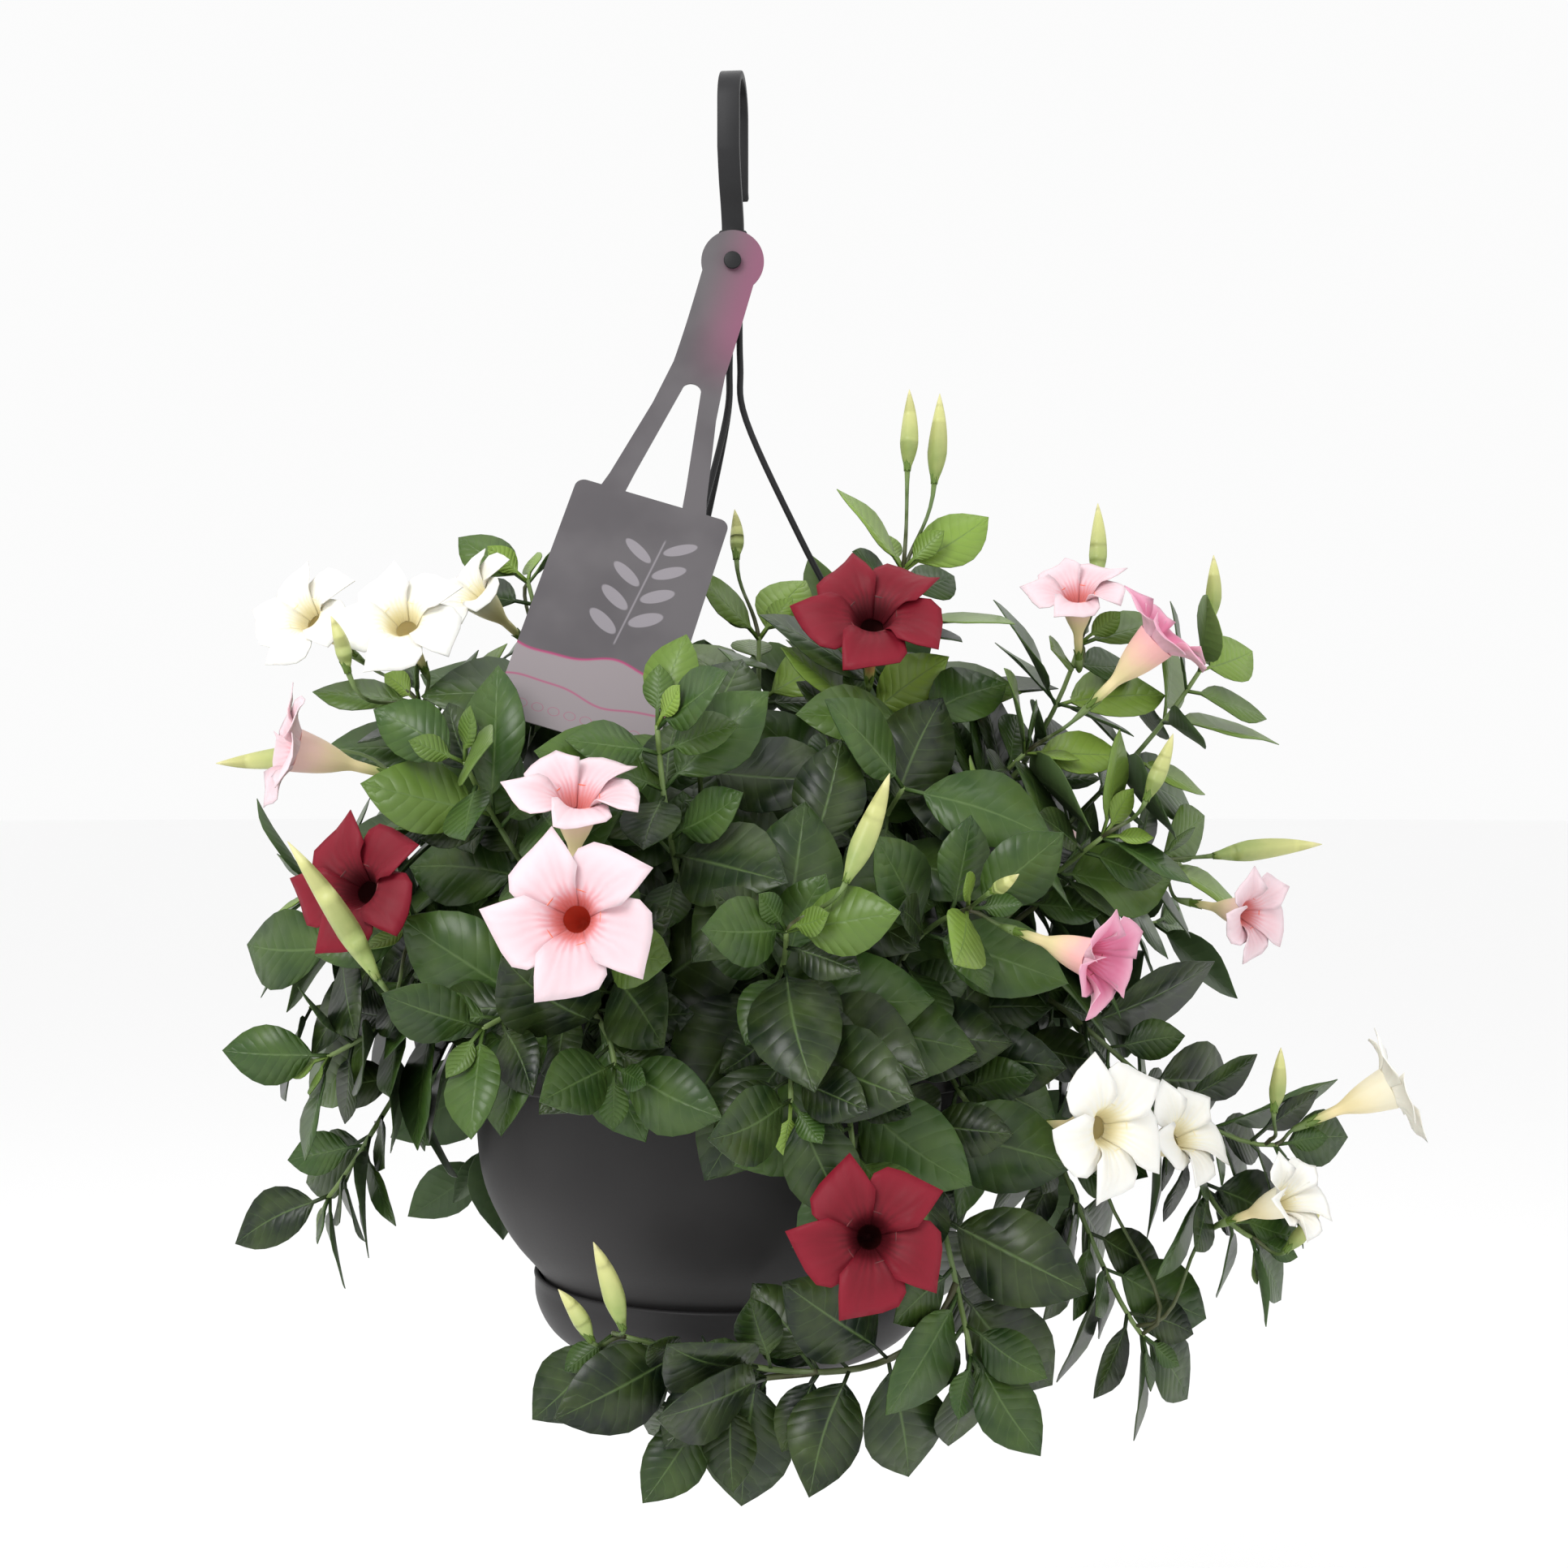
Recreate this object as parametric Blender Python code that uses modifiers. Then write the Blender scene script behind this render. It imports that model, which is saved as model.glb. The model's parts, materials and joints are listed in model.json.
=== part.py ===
"""Mandevilla hanging basket: a hanging pot with its saucer, soil, hanger, tag and plants.

Metres, +Z up. The origin is the inside top of the hook, where the basket hangs, +X is to the
right and -Y is the front. The stems stand in holes in the soil, and each leafy stem and each
bloom is one solid of its own.
"""
import itertools
import math
import random
from dataclasses import dataclass

import bmesh
import bpy
from mathutils import Matrix, Vector
from mathutils.bvhtree import BVHTree
from mathutils.geometry import interpolate_bezier

MM = 0.001

# Pot, saucer and soil, as radius and height in millimetres, from the foot up
POT_SEGMENTS = 24
POT_WALL = 2.3
POT_OUTSIDE = [
    (62.0, -665.7), (83.0, -657.0), (96.5, -640.0), (101.4, -626.0),
    (117.5, -606.0), (130.5, -579.0), (134.6, -549.0), (135.5, -519.0),
]
RIM_TOP = -510.0
RIM_FLANGE = 2.5
RIM_OUTER = 143.0
RIM_SKIRT = 12.0
SAUCER_WALL = 2.0
SAUCER_OUTSIDE = [(70.0, -668.0), (83.5, -664.2), (96.5, -654.5), (103.4, -641.0), (104.2, -627.5)]
SOIL_EDGE = -527.0
SOIL_CENTRE = -521.0
DRAIN_RADIUS = 4.0
DRAIN_CIRCLE = 42.0
DRAIN_COUNT = 4

# Hook, and the hanger that it is seated in: a boss with a peg for the tag, and three arms with
# T-shaped clips
HOOK_INNER = 16.0
HOOK_THICK = 4.4
HOOK_WIDTH = 11.6
HOOK_TURN = -6.0
HOOK_STEPS = 12
HOOK_NECK = [(0.0, -104.0), (0.0, -80.0), (-4.5, -68.0), (-12.5, -55.0)]
HOOK_NECK_TOP = -40.0
HOOK_LEG = [(0.0, -54.0), (2.5, -58.0)]
SOCKET_PLAY = 0.15
BOSS_WIDTH = 15.0
BOSS_DEPTH = 9.0
BOSS_BACK = 0.4
BOSS_TOP = -80.0
BOSS_BOTTOM = -116.0
PEG_HEIGHT = -98.0
PEG_RADIUS = 2.3
PEG_SPAN = (-3.0, -12.4)
PEG_HEAD_RADIUS = 4.6
PEG_HEAD_SPAN = (-11.6, -13.6)
PEG_SIDES = 10
ARM_RADIUS = 1.7
ARM_TURNS = (0.0, 120.0, 240.0)
ARM_ROUTE = [
    (3.4, -108.0), (3.8, -150.0), (7.0, -180.0), (35.0, -241.0), (64.0, -297.0),
    (92.0, -357.0), (116.0, -421.0), (133.0, -478.0), (138.2, -504.0),
]
SLOT_RADIUS = 138.2
SLOT_DEPTH = 3.2
SLOT_WIDTH = 11.0
CLIP_SHOULDER = (2.4, 15.0, 6.4)
CLIP_SHOULDER_RISE = 3.6
CLIP_NECK = (2.2, 9.0, 8.0)
CLIP_NECK_DROP = 3.0
CLIP_FOOT = (2.4, 14.0, 3.0)
CLIP_FOOT_GAP = 0.4

# Hang tag: sizes in its own flat outline, from the centre of its round head
TAG_THICK = 0.8
TAG_HEAD = 16.5
TAG_HOLE = 2.7
TAG_PANEL_TOP = -146.0
TAG_PANEL_BOTTOM = -284.0
TAG_PANEL_HALF = 40.0
TAG_CORNER = 5.0
TAG_LEFT_EDGE = [(-14.0, -30.0), (-14.0, -62.0), (-17.0, -90.0), (-25.5, -138.0), (-27.5, -146.0)]
TAG_WINDOW_LEFT = [(-6.0, -84.0), (-13.5, -134.0), (-15.0, -146.0)]
TAG_NOTCH = 5.0
TAG_NOTCH_TOP = -72.0
TAG_ROLL = 16.4
TAG_PLANE = -9.4
TAG_BEND_START = -22.0
TAG_BEND_END = -62.0
TAG_LEAN = 25.0

# Plant
STEM_RADIUS = 1.7
STEM_TAPER = 0.5
STEM_POINTS = 6
SIDE_POINTS = 4
STALK_POINTS = 3
ROOT_GAP = 9.0
ROOT_RISE = 8.0
ROOT_TRIES = 24
ROOT_TURN = 4.0
ROOT_LEAN = 0.25
STEM_GAP = 0.9
STEM_PULL = 0.38
SIDE_PULL = 0.4
SIDE_LEAN = 0.6
BLOOM_GAP = 0.8
SOIL_HOLE_RADIUS = 2.6
SOIL_HOLE_DEPTH = 28.0
ROOT_DEPTH = 24.0
LEAF_LENGTH = 62.0
LEAF_HALF_WIDTH = 21.5
LEAF_THICK = 1.2
PETIOLE_RADIUS = 0.8
MOUND_CENTRE = Vector((0.0, 0.0, -455.0))
FRONT_EYE = Vector((27.0, -1100.0, -372.5))
LEAF_STATIONS = [(0.2, 0.74), (0.5, 1.0), (0.8, 0.6)]
LEAF_GAP = 0.6
BLADE_GAP = 1.1
LEAF_CLOSE = 0.4
LEAF_FACING = (0.2, 0.6, 0.7, 0.2)
LEAF_FRONT_BIAS = 40.0
# How far a leaf faces whoever looks at it, tried in turn, and what that adds to the front
LEAF_SEEN = (0.5, 0.2)
SEEN_FORWARD = 0.9
SEEN_DEPTH = 60.0
LEAF_FORWARD = 0.4
LEAF_DROOP = 0.2
LEAF_OUTWARD = 0.1
LEAF_JITTER = 0.2
FIRST_PAIR = 2.0
PAIR_SPACING = (26.0, 36.0)
PAIR_SPACING_RISE = 6.0
YOUNG_SIZE = 0.7
SIZE_RISE = 0.2
FULL_SIZE = 1.04
TIP_PITCH = 0.75
PITCH_FALL = 0.3

# Stalks with their calyx or bud: radii from the stem on, and a bud's widths along its length
STALK_START = 1.5
STALK_STEP = 5.0
STALK_PULL = 0.42
STALK_RADII = [1.1, 1.0, 1.5]
CALYX_RADIUS = 2.5
CALYX_LENGTH = 7.0
CALYX_GAP = 0.3
BUD_GIRTH = 5.6
BUD_GIRTH_LEAST = 2.0
BUD_GIRTH_RISE = 0.066
BUD_PROFILE = [(0.34, 1.0), (0.72, 0.66), (1.0, 0.0)]
BUD_TIP = 0.3

# Bloom of size 1: rings as a radius and a height, petal points as a turn, radius and height
BLOOM_FOOT = (2.0, 0.0)
BLOOM_WAIST = (2.7, 19.0)
BLOOM_FLARE = (12.0, 44.6)
BLOOM_MOUTH = (11.4, 46.0)
BLOOM_PIT = 17.0
BLOOM_REACH = 38.0
PETAL_COUNT = 5
PETAL_START = 90.0
PETAL_LEFT = (8.0, 28.0, 48.5)
PETAL_TIP = (48.0, BLOOM_REACH, 45.5)
PETAL_RIGHT = (67.0, 26.5, 50.5)
PETAL_MIDDLE = (38.0, 23.0, 48.9)
PETAL_THICK = 1.4
FOLDED_REACH = 0.35
FOLDED_RISE = 16.0
FOLDED_TUBE = 0.3


@dataclass
class Shoot:
    """One leafy stem. Its tip and heading are in millimetres and as a direction."""

    name: str
    tip: tuple
    heading: tuple
    ring: float
    pairs: int
    size: float = 1.0
    rise: float = 0.4
    parent: str = ""
    at: float = 0.6
    turn: float = 0.0


@dataclass
class Bloom:
    """One trumpet bloom, placed by the centre of its mouth."""

    name: str
    shoot: str
    mouth: tuple
    facing: tuple
    colour: str
    size: float = 1.0
    opening: float = 1.0


@dataclass
class Bud:
    """One spindle-shaped bud on its stalk, from its base to its tip."""

    shoot: str
    base: tuple
    tip: tuple


@dataclass
class Leaf:
    """One blade on its stalk: where it starts, which way it runs and which way it faces."""

    start: Vector
    along: Vector
    normal: Vector
    length: float
    half_width: float
    petiole: float
    arch: float


SHOOTS = [
    Shoot("stem_bud_spire", (88, -40, -262), (0.1, 0.0, 1.0), 35, 3),
    Shoot("stem_red_top", (68, -42, -338), (0.0, -0.5, 0.8), 0, 1, parent="stem_bud_spire", at=0.62),
    Shoot("stem_right_top", (182, -15, -298), (0.3, 0.0, 1.0), 70, 3),
    Shoot("stem_pink_right", (150, -48, -356), (0.6, -0.3, 0.6), 70, 3, turn=-14.0),
    Shoot("stem_right_high", (246, -10, -312), (0.5, 0.0, 0.8), 100, 3),
    Shoot("stem_white_left", (-160, -38, -330), (-0.4, -0.3, 0.8), 70, 3),
    Shoot("stem_left_top", (-112, 25, -262), (-0.3, 0.1, 1.0), 0, 3, parent="stem_white_left", at=0.5),
    Shoot("stem_tag_front", (-30, -168, -346), (-0.05, -0.35, 1.0), 70, 3, 0.95),
    Shoot("stem_centre_top", (14, -22, -296), (0.0, 0.0, 1.0), 12, 3),
    Shoot("stem_left_rosette", (-120, -146, -362), (-0.3, -0.5, 0.8), 100, 3, turn=8.0),
    Shoot("stem_pink_left", (-148, -62, -388), (-0.8, -0.2, 0.4), 100, 2, turn=4.0),
    Shoot("stem_red_left", (-150, -100, -440), (-0.6, -0.7, 0.2), 100, 2, turn=8.0),
    Shoot("stem_pink_front", (-55, -168, -446), (-0.1, -0.9, 0.3), 100, 3, 1.05, turn=-6.0),
    Shoot("stem_centre_front", (28, -192, -436), (0.0, -0.7, 0.7), 70, 4, 1.08),
    Shoot("stem_pink_middle", (112, -146, -430), (0.5, -0.7, 0.2), 100, 3),
    Shoot("stem_right_rosette", (186, -70, -398), (0.7, -0.4, 0.6), 100, 3),
    Shoot("stem_right_far", (222, -18, -412), (1.0, 0.0, 0.2),
          0, 3, parent="stem_right_rosette", at=0.45),
    Shoot("stem_white_low", (118, -112, -528), (0.7, -0.5, -0.5), 108, 3, rise=0.9),
    Shoot("stem_white_far", (278, -45, -556), (0.9, -0.1, 0.1), 108, 4, rise=0.7),
    Shoot("stem_right_low", (262, -62, -600), (0.6, 0.0, -0.3),
          0, 2, 0.9, parent="stem_white_far", at=0.72),
    Shoot("stem_right_trail", (206, -66, -648), (0.5, -0.2, -0.6), 108, 3, rise=0.75, turn=9.0),
    Shoot("stem_front_right_trail", (112, -158, -632), (0.2, -0.3, -1.0), 108, 4, 1.05, rise=0.75),
    Shoot("stem_red_low", (58, -168, -540), (0.0, -0.6, -0.8), 108, 2, rise=1.1),
    Shoot("stem_front_trail", (-50, -172, -618), (-0.9, -0.2, 0.3),
          0, 3, parent="stem_front_right_trail", at=0.86),
    Shoot("stem_front_trail_low", (-8, -160, -655), (-0.6, -0.1, -0.6),
          0, 2, parent="stem_front_trail", at=0.45),
    Shoot("stem_front_middle", (30, -194, -512), (0.0, -0.6, -0.6), 108, 3, 1.05, rise=0.8, turn=4.0),
    Shoot("stem_front_left", (-108, -172, -482), (-0.4, -0.8, -0.2), 108, 3, 1.08, rise=0.6),
    Shoot("stem_front_rim", (-48, -180, -498), (0.1, -0.7, -0.6),
          0, 2, 1.05, parent="stem_front_left", at=0.5),
    Shoot("stem_left_low", (-196, -86, -506), (-0.8, -0.4, -0.4), 108, 3, rise=0.6),
    Shoot("stem_left_trail", (-206, -40, -584), (-0.6, -0.2, -0.7), 108, 4, rise=0.75),
    Shoot("stem_left_side", (-226, 20, -430), (-0.9, 0.1, 0.2), 100, 3, 1.12),
    Shoot("stem_back_left_trail", (-150, 150, -600), (-0.3, 0.4, -0.9), 108, 3, 1.12, rise=0.75),
    Shoot("stem_back_left", (-150, 170, -440), (-0.5, 0.7, 0.3), 100, 4, 1.12),
    Shoot("stem_back_left_top", (-70, 110, -300), (-0.3, 0.5, 0.8), 70, 3, 1.12),
    Shoot("stem_back_top", (60, 105, -290), (0.2, 0.5, 0.8), 70, 3, 1.12),
    Shoot("stem_back_middle", (0, 210, -430), (0.0, 0.9, 0.3), 100, 4, 1.12),
    Shoot("stem_back_trail", (10, 190, -600), (0.0, 0.3, -0.9), 108, 3, 1.12, rise=0.75),
    Shoot("stem_back_right", (150, 165, -420), (0.6, 0.7, 0.3), 100, 4, 1.12),
    Shoot("stem_back_right_trail", (165, 130, -590), (0.4, 0.3, -0.8), 108, 4, 1.12, rise=0.75),
    Shoot("stem_right_side", (235, 60, -450), (0.9, 0.2, 0.1), 108, 3, 1.12),
]

BLOOMS = [
    Bloom("bloom_white_left_outer", "stem_white_left", (-216, -46, -287),
          (-0.42, -0.8, 0.42), "white", 0.92, 0.9),
    Bloom("bloom_white_left_inner", "stem_white_left", (-160, -84, -292),
          (-0.1, -0.85, 0.5), "white", 0.95),
    Bloom("bloom_white_left_back", "stem_left_top", (-136, -8, -272), (-0.5, -0.5, 0.5),
          "white", 0.85, 0.8),
    Bloom("bloom_blush_left", "stem_pink_left", (-212, -84, -356), (-0.9, -0.35, 0.25),
          "blush", 1.0, 0.7),
    Bloom("bloom_red_left", "stem_red_left", (-170, -142, -420), (-0.35, -0.85, 0.3), "red", 1.0),
    Bloom("bloom_blush_front", "stem_pink_front", (-61, -236, -428), (-0.08, -1.0, 0.15), "blush", 1.08),
    Bloom("bloom_blush_front_back", "stem_pink_front", (-62, -206, -378),
          (0.1, -0.55, 0.85), "blush", 0.95, 0.8),
    Bloom("bloom_red_top", "stem_red_top", (70, -92, -290), (0.0, -0.8, 0.6), "red", 1.08),
    Bloom("bloom_pink_right_top", "stem_pink_right", (211, -76, -302),
          (0.68, -0.28, 0.68), "pink", 1.0, 0.6),
    Bloom("bloom_blush_right_back", "stem_right_top", (176, -46, -276),
          (-0.1, -0.6, 0.8), "blush", 0.85, 0.8),
    Bloom("bloom_pink_middle", "stem_pink_middle", (164, -178, -450),
          (0.75, -0.6, -0.25), "pink", 0.9, 0.45),
    Bloom("bloom_white_low_front", "stem_white_low", (176, -150, -530), (0.55, -0.8, 0.1), "white", 1.0),
    Bloom("bloom_white_low_middle", "stem_right_trail", (222, -88, -544),
          (0.6, -0.65, 0.4), "white", 0.85, 0.8),
    Bloom("bloom_white_low_far", "stem_right_trail", (270, -96, -574), (0.6, -0.65, 0.4),
          "white", 0.8, 0.45),
    Bloom("bloom_white_far", "stem_white_far", (332, -52, -526), (0.9, -0.1, 0.42), "white", 0.95, 0.8),
    Bloom("bloom_red_low", "stem_red_low", (64, -214, -566), (0.02, -0.97, 0.2), "red", 1.0),
    Bloom("bloom_blush_right", "stem_right_far", (262, -52, -438), (0.6, -0.7, -0.1), "blush", 0.8, 0.7),
    Bloom("bloom_red_back", "stem_back_top", (60, 168, -300), (0.1, 0.85, 0.5), "red", 1.0),
    Bloom("bloom_white_back", "stem_back_left", (-176, 222, -420), (-0.4, 0.85, 0.3), "white", 1.0),
    Bloom("bloom_blush_back", "stem_back_right", (186, 214, -400), (0.5, 0.8, 0.3), "blush", 1.0),
]

BUDS = [
    Bud("stem_bud_spire", (90, -40, -212), (91, -40, -171)),
    Bud("stem_bud_spire", (104, -36, -218), (107, -34, -172)),
    Bud("stem_right_top", (192, -4, -266), (193, -2, -224)),
    Bud("stem_right_high", (252, -8, -286), (253, -8, -252)),
    Bud("stem_centre_top", (2, -10, -254), (1, -8, -228)),
    Bud("stem_white_left", (-184, -96, -318), (-190, -106, -292)),
    Bud("stem_pink_left", (-206, -42, -356), (-262, -44, -362)),
    Bud("stem_red_left", (-156, -166, -460), (-194, -176, -398)),
    Bud("stem_centre_front", (54, -206, -414), (72, -216, -368)),
    Bud("stem_right_rosette", (204, -86, -380), (216, -92, -348)),
    Bud("stem_right_far", (252, -14, -410), (308, -16, -404)),
    Bud("stem_white_far", (272, -62, -536), (275, -64, -504)),
    Bud("stem_right_low", (276, -70, -604), (292, -76, -582)),
    Bud("stem_front_trail", (-44, -186, -612), (-56, -196, -572)),
    Bud("stem_front_trail", (-58, -184, -618), (-72, -190, -594)),
    Bud("stem_pink_middle", (120, -176, -420), (130, -190, -412)),
]

PETAL_COLOURS = {
    "white": (0.86, 0.85, 0.80),
    "blush": (0.90, 0.66, 0.70),
    "pink": (0.85, 0.30, 0.48),
    "red": (0.32, 0.01, 0.03),
}

# Changes that are tried in turn, where a stem or a leaf would cross something
STEM_TRIES = [
    (lift, sway) for sway in (0.0, 0.06, -0.06, 0.12, -0.12, 0.2, -0.2) for lift in (1.0, 1.2, 0.8, 1.4)
]
LEAF_TRIES = [
    (turn, pitch, size)
    for size in (1.0, 0.85, 0.7)
    for turn in (0.0, 0.4, -0.4, 0.8, -0.8, 1.2, -1.2)
    for pitch in (0.0, 0.4, -0.4)
]

# What is kept in sight from the front, as a centre and a radius
OPEN_FRONTS = [
    ((-48, -62, -255), 46), ((-74, -90, -312), 30), ((-70, -118, -585), 50), ((-26, -130, -592), 36),
    ((-104, -90, -580), 28),
]


# Scene, collections, materials and objects
def clear_scene():
    """Removes every object that the file starts with."""
    for old in list(bpy.data.objects):
        bpy.data.objects.remove(old, do_unlink=True)


def new_collection(name):
    """Adds a collection to the scene."""
    group = bpy.data.collections.new(name)
    bpy.context.scene.collection.children.link(group)
    return group


def new_material(name, colour, roughness, metallic=0.0):
    """Makes a Principled material of one colour."""
    material = bpy.data.materials.new(name)
    material.use_nodes = True
    shader = material.node_tree.nodes["Principled BSDF"]
    shader.inputs["Base Color"].default_value = (*colour, 1.0)
    shader.inputs["Roughness"].default_value = roughness
    shader.inputs["Metallic"].default_value = metallic
    return material


def place(name, data, group, material=None):
    """Adds an object for the mesh or curve, with its material."""
    thing = bpy.data.objects.new(name, data)
    group.objects.link(thing)
    if material is not None:
        data.materials.append(material)
    return thing


def mesh_from(shape, name):
    """Turns a bmesh into a mesh and frees it."""
    bmesh.ops.recalc_face_normals(shape, faces=shape.faces)
    mesh = bpy.data.meshes.new(name)
    shape.to_mesh(mesh)
    shape.free()
    return mesh


def evaluated_mesh(thing):
    """Gives the mesh of an object with its modifiers, or of a curve with its caps welded."""
    graph = bpy.context.evaluated_depsgraph_get()
    mesh = bpy.data.meshes.new_from_object(thing.evaluated_get(graph))
    shape = bmesh.new()
    shape.from_mesh(mesh)
    bmesh.ops.transform(shape, matrix=thing.matrix_world, verts=shape.verts)
    bmesh.ops.remove_doubles(shape, verts=shape.verts, dist=1e-6)
    shape.to_mesh(mesh)
    shape.free()
    return mesh


def fuse(name, pieces, group, material):
    """Joins the pieces into one solid by a Boolean union of the first with all the others."""
    others = bpy.data.collections.new(name + "_pieces")
    bpy.context.scene.collection.children.link(others)
    first = pieces[0]
    for piece in pieces[1:]:
        for owner in list(piece.users_collection):
            owner.objects.unlink(piece)
        others.objects.link(piece)
    union = first.modifiers.new("union", "BOOLEAN")
    union.operation = "UNION"
    union.operand_type = "COLLECTION"
    union.collection = others
    union.solver = "EXACT"
    mesh = evaluated_mesh(first)
    for piece in pieces:
        bpy.data.objects.remove(piece, do_unlink=True)
    bpy.data.collections.remove(others)
    mesh.materials.clear()
    mesh.name = name
    return place(name, mesh, group, material)


# Turned pieces
def offset_profile(points, distance):
    """Moves a profile to its inner side by a distance, along its normals."""
    moved = []
    last = len(points) - 1
    for index, (radius, height) in enumerate(points):
        before = points[max(index - 1, 0)]
        after = points[min(index + 1, last)]
        run = Vector((after[0] - before[0], after[1] - before[1])).normalized()
        moved.append((radius - run.y * distance, height + run.x * distance))
    return moved


def turned(name, profile, group, material):
    """Turns a profile about Z. It runs up its inner side and down its outer side."""
    shape = bmesh.new()
    corners = [shape.verts.new((radius * MM, 0.0, height * MM)) for radius, height in profile]
    for start, end in zip(corners, corners[1:]):
        shape.edges.new((start, end))
    mesh = bpy.data.meshes.new(name)
    shape.to_mesh(mesh)
    shape.free()
    thing = place(name, mesh, group, material)
    screw = thing.modifiers.new("turn", "SCREW")
    screw.steps = POT_SEGMENTS
    screw.render_steps = POT_SEGMENTS
    screw.use_merge_vertices = True
    screw.merge_threshold = 0.00001
    screw.use_smooth_shade = True
    return thing


def cutter_box(name, size, centre, turn, group):
    """Adds a box that cuts, turned about Z."""
    shape = bmesh.new()
    bmesh.ops.create_cube(shape, size=1.0)
    bmesh.ops.scale(shape, vec=size, verts=shape.verts)
    bmesh.ops.translate(shape, vec=centre, verts=shape.verts)
    bmesh.ops.rotate(shape, matrix=Matrix.Rotation(turn, 3, "Z"), verts=shape.verts)
    return place(name, mesh_from(shape, name), group)


def cutter_rod(name, radius, sides, bottom, top, spot, group):
    """Adds an upright rod that cuts."""
    shape = bmesh.new()
    bmesh.ops.create_cone(
        shape, cap_ends=True, segments=sides, radius1=radius, radius2=radius, depth=top - bottom
    )
    bmesh.ops.translate(shape, vec=(spot[0], spot[1], (top + bottom) / 2), verts=shape.verts)
    return place(name, mesh_from(shape, name), group)


def cut(thing, cutter_group):
    """Takes a collection of cutters out of an object."""
    for cutter in cutter_group.objects:
        cutter.hide_render = True
        cutter.display_type = "WIRE"
    bore = thing.modifiers.new("cut", "BOOLEAN")
    bore.operation = "DIFFERENCE"
    bore.operand_type = "COLLECTION"
    bore.collection = cutter_group
    bore.solver = "EXACT"


def pot_inside():
    """Gives the pot's inner wall, from the floor up."""
    wall = offset_profile(POT_OUTSIDE, POT_WALL)
    floor = POT_OUTSIDE[0][1] + POT_WALL
    return [(radius, max(height, floor)) for radius, height in wall]


def make_pot(group, cutters):
    """Makes the pot with its flanged rim, the clips' slots and the drain holes."""
    inner = pot_inside()
    outer = list(reversed(POT_OUTSIDE))
    under_rim = RIM_TOP - RIM_FLANGE
    wall_radius = POT_OUTSIDE[-1][0]
    skirt_inner = RIM_OUTER - 2.0
    profile = [(0.0, inner[0][1])] + inner
    profile += [(inner[-1][0], RIM_TOP), (RIM_OUTER - 1.0, RIM_TOP), (RIM_OUTER, RIM_TOP - 1.0)]
    profile += [(RIM_OUTER, RIM_TOP - RIM_SKIRT), (skirt_inner, RIM_TOP - RIM_SKIRT)]
    profile += [(skirt_inner, under_rim), (wall_radius, under_rim)]
    profile += outer + [(0.0, outer[-1][1])]
    pot = turned("pot", profile, group, new_material("dark_pot_plastic", (0.055, 0.05, 0.058), 0.5))
    for index, turn in enumerate(ARM_TURNS):
        size = (SLOT_DEPTH * MM, SLOT_WIDTH * MM, 4 * RIM_FLANGE * MM)
        centre = (SLOT_RADIUS * MM, 0.0, (RIM_TOP - RIM_FLANGE / 2) * MM)
        cutter_box(f"cut_clip_slot_{index}", size, centre, math.radians(turn), cutters)
    floor = POT_OUTSIDE[0][1]
    for index in range(DRAIN_COUNT):
        turn = math.tau * (index + 0.5) / DRAIN_COUNT
        spot = (DRAIN_CIRCLE * MM * math.cos(turn), DRAIN_CIRCLE * MM * math.sin(turn))
        bottom, top = (floor - 2.0) * MM, (floor + POT_WALL + 2.0) * MM
        cutter_rod(f"cut_drain_{index}", DRAIN_RADIUS * MM, 6, bottom, top, spot, cutters)
    cut(pot, cutters)
    return pot


def make_saucer(group):
    """Makes the dish that is clipped under the pot."""
    inner = offset_profile(SAUCER_OUTSIDE, SAUCER_WALL)
    floor = SAUCER_OUTSIDE[0][1] + SAUCER_WALL
    inner = [(radius, max(height, floor)) for radius, height in inner]
    profile = [(0.0, floor)] + inner + list(reversed(SAUCER_OUTSIDE)) + [(0.0, SAUCER_OUTSIDE[0][1])]
    plastic = new_material("dark_saucer_plastic", (0.05, 0.046, 0.052), 0.48)
    return turned("saucer", profile, group, plastic)


def make_soil(group, cutters, roots):
    """Makes the potting soil, with a plain hole for each stem."""
    floor = POT_OUTSIDE[0][1] + POT_WALL + 0.3
    wall = [spot for spot in offset_profile(POT_OUTSIDE, POT_WALL + 0.4) if spot[1] < SOIL_EDGE - 4.0]
    wall = [(radius, max(height, floor)) for radius, height in wall]
    edge_radius = wall[-1][0]
    outside = [(0.0, floor)] + wall + [(edge_radius, SOIL_EDGE)]
    profile = [(0.0, SOIL_CENTRE), (60.0, SOIL_CENTRE - 1.5)] + list(reversed(outside))
    soil = turned("potting_soil", profile, group, new_material("peat_soil", (0.06, 0.04, 0.028), 0.95))
    for index, root in enumerate(roots):
        bottom, top = (SOIL_EDGE - SOIL_HOLE_DEPTH) * MM, (SOIL_CENTRE + 5.0) * MM
        spot = (root.x * MM, root.y * MM)
        cutter_rod(f"cut_stem_hole_{index}", SOIL_HOLE_RADIUS * MM, 5, bottom, top, spot, cutters)
    cut(soil, cutters)
    return soil


# Hanger
def arc(centre, radius, start, end, steps):
    """Gives points on an arc, by angles in degrees."""
    points = []
    for step in range(steps + 1):
        turn = math.radians(start + (end - start) * step / steps)
        points.append((centre[0] + radius * math.cos(turn), centre[1] + radius * math.sin(turn)))
    return points


def hook_route():
    """Gives the hook's middle line in its own plane, from the boss over the top to the leg's end."""
    middle = HOOK_INNER + HOOK_THICK / 2
    bow = arc((0.0, -HOOK_INNER), middle, 180.0, 0.0, HOOK_STEPS)
    leg = [(middle + depth, height) for depth, height in HOOK_LEG]
    return HOOK_NECK + [(-middle, HOOK_NECK_TOP)] + bow + leg


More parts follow.
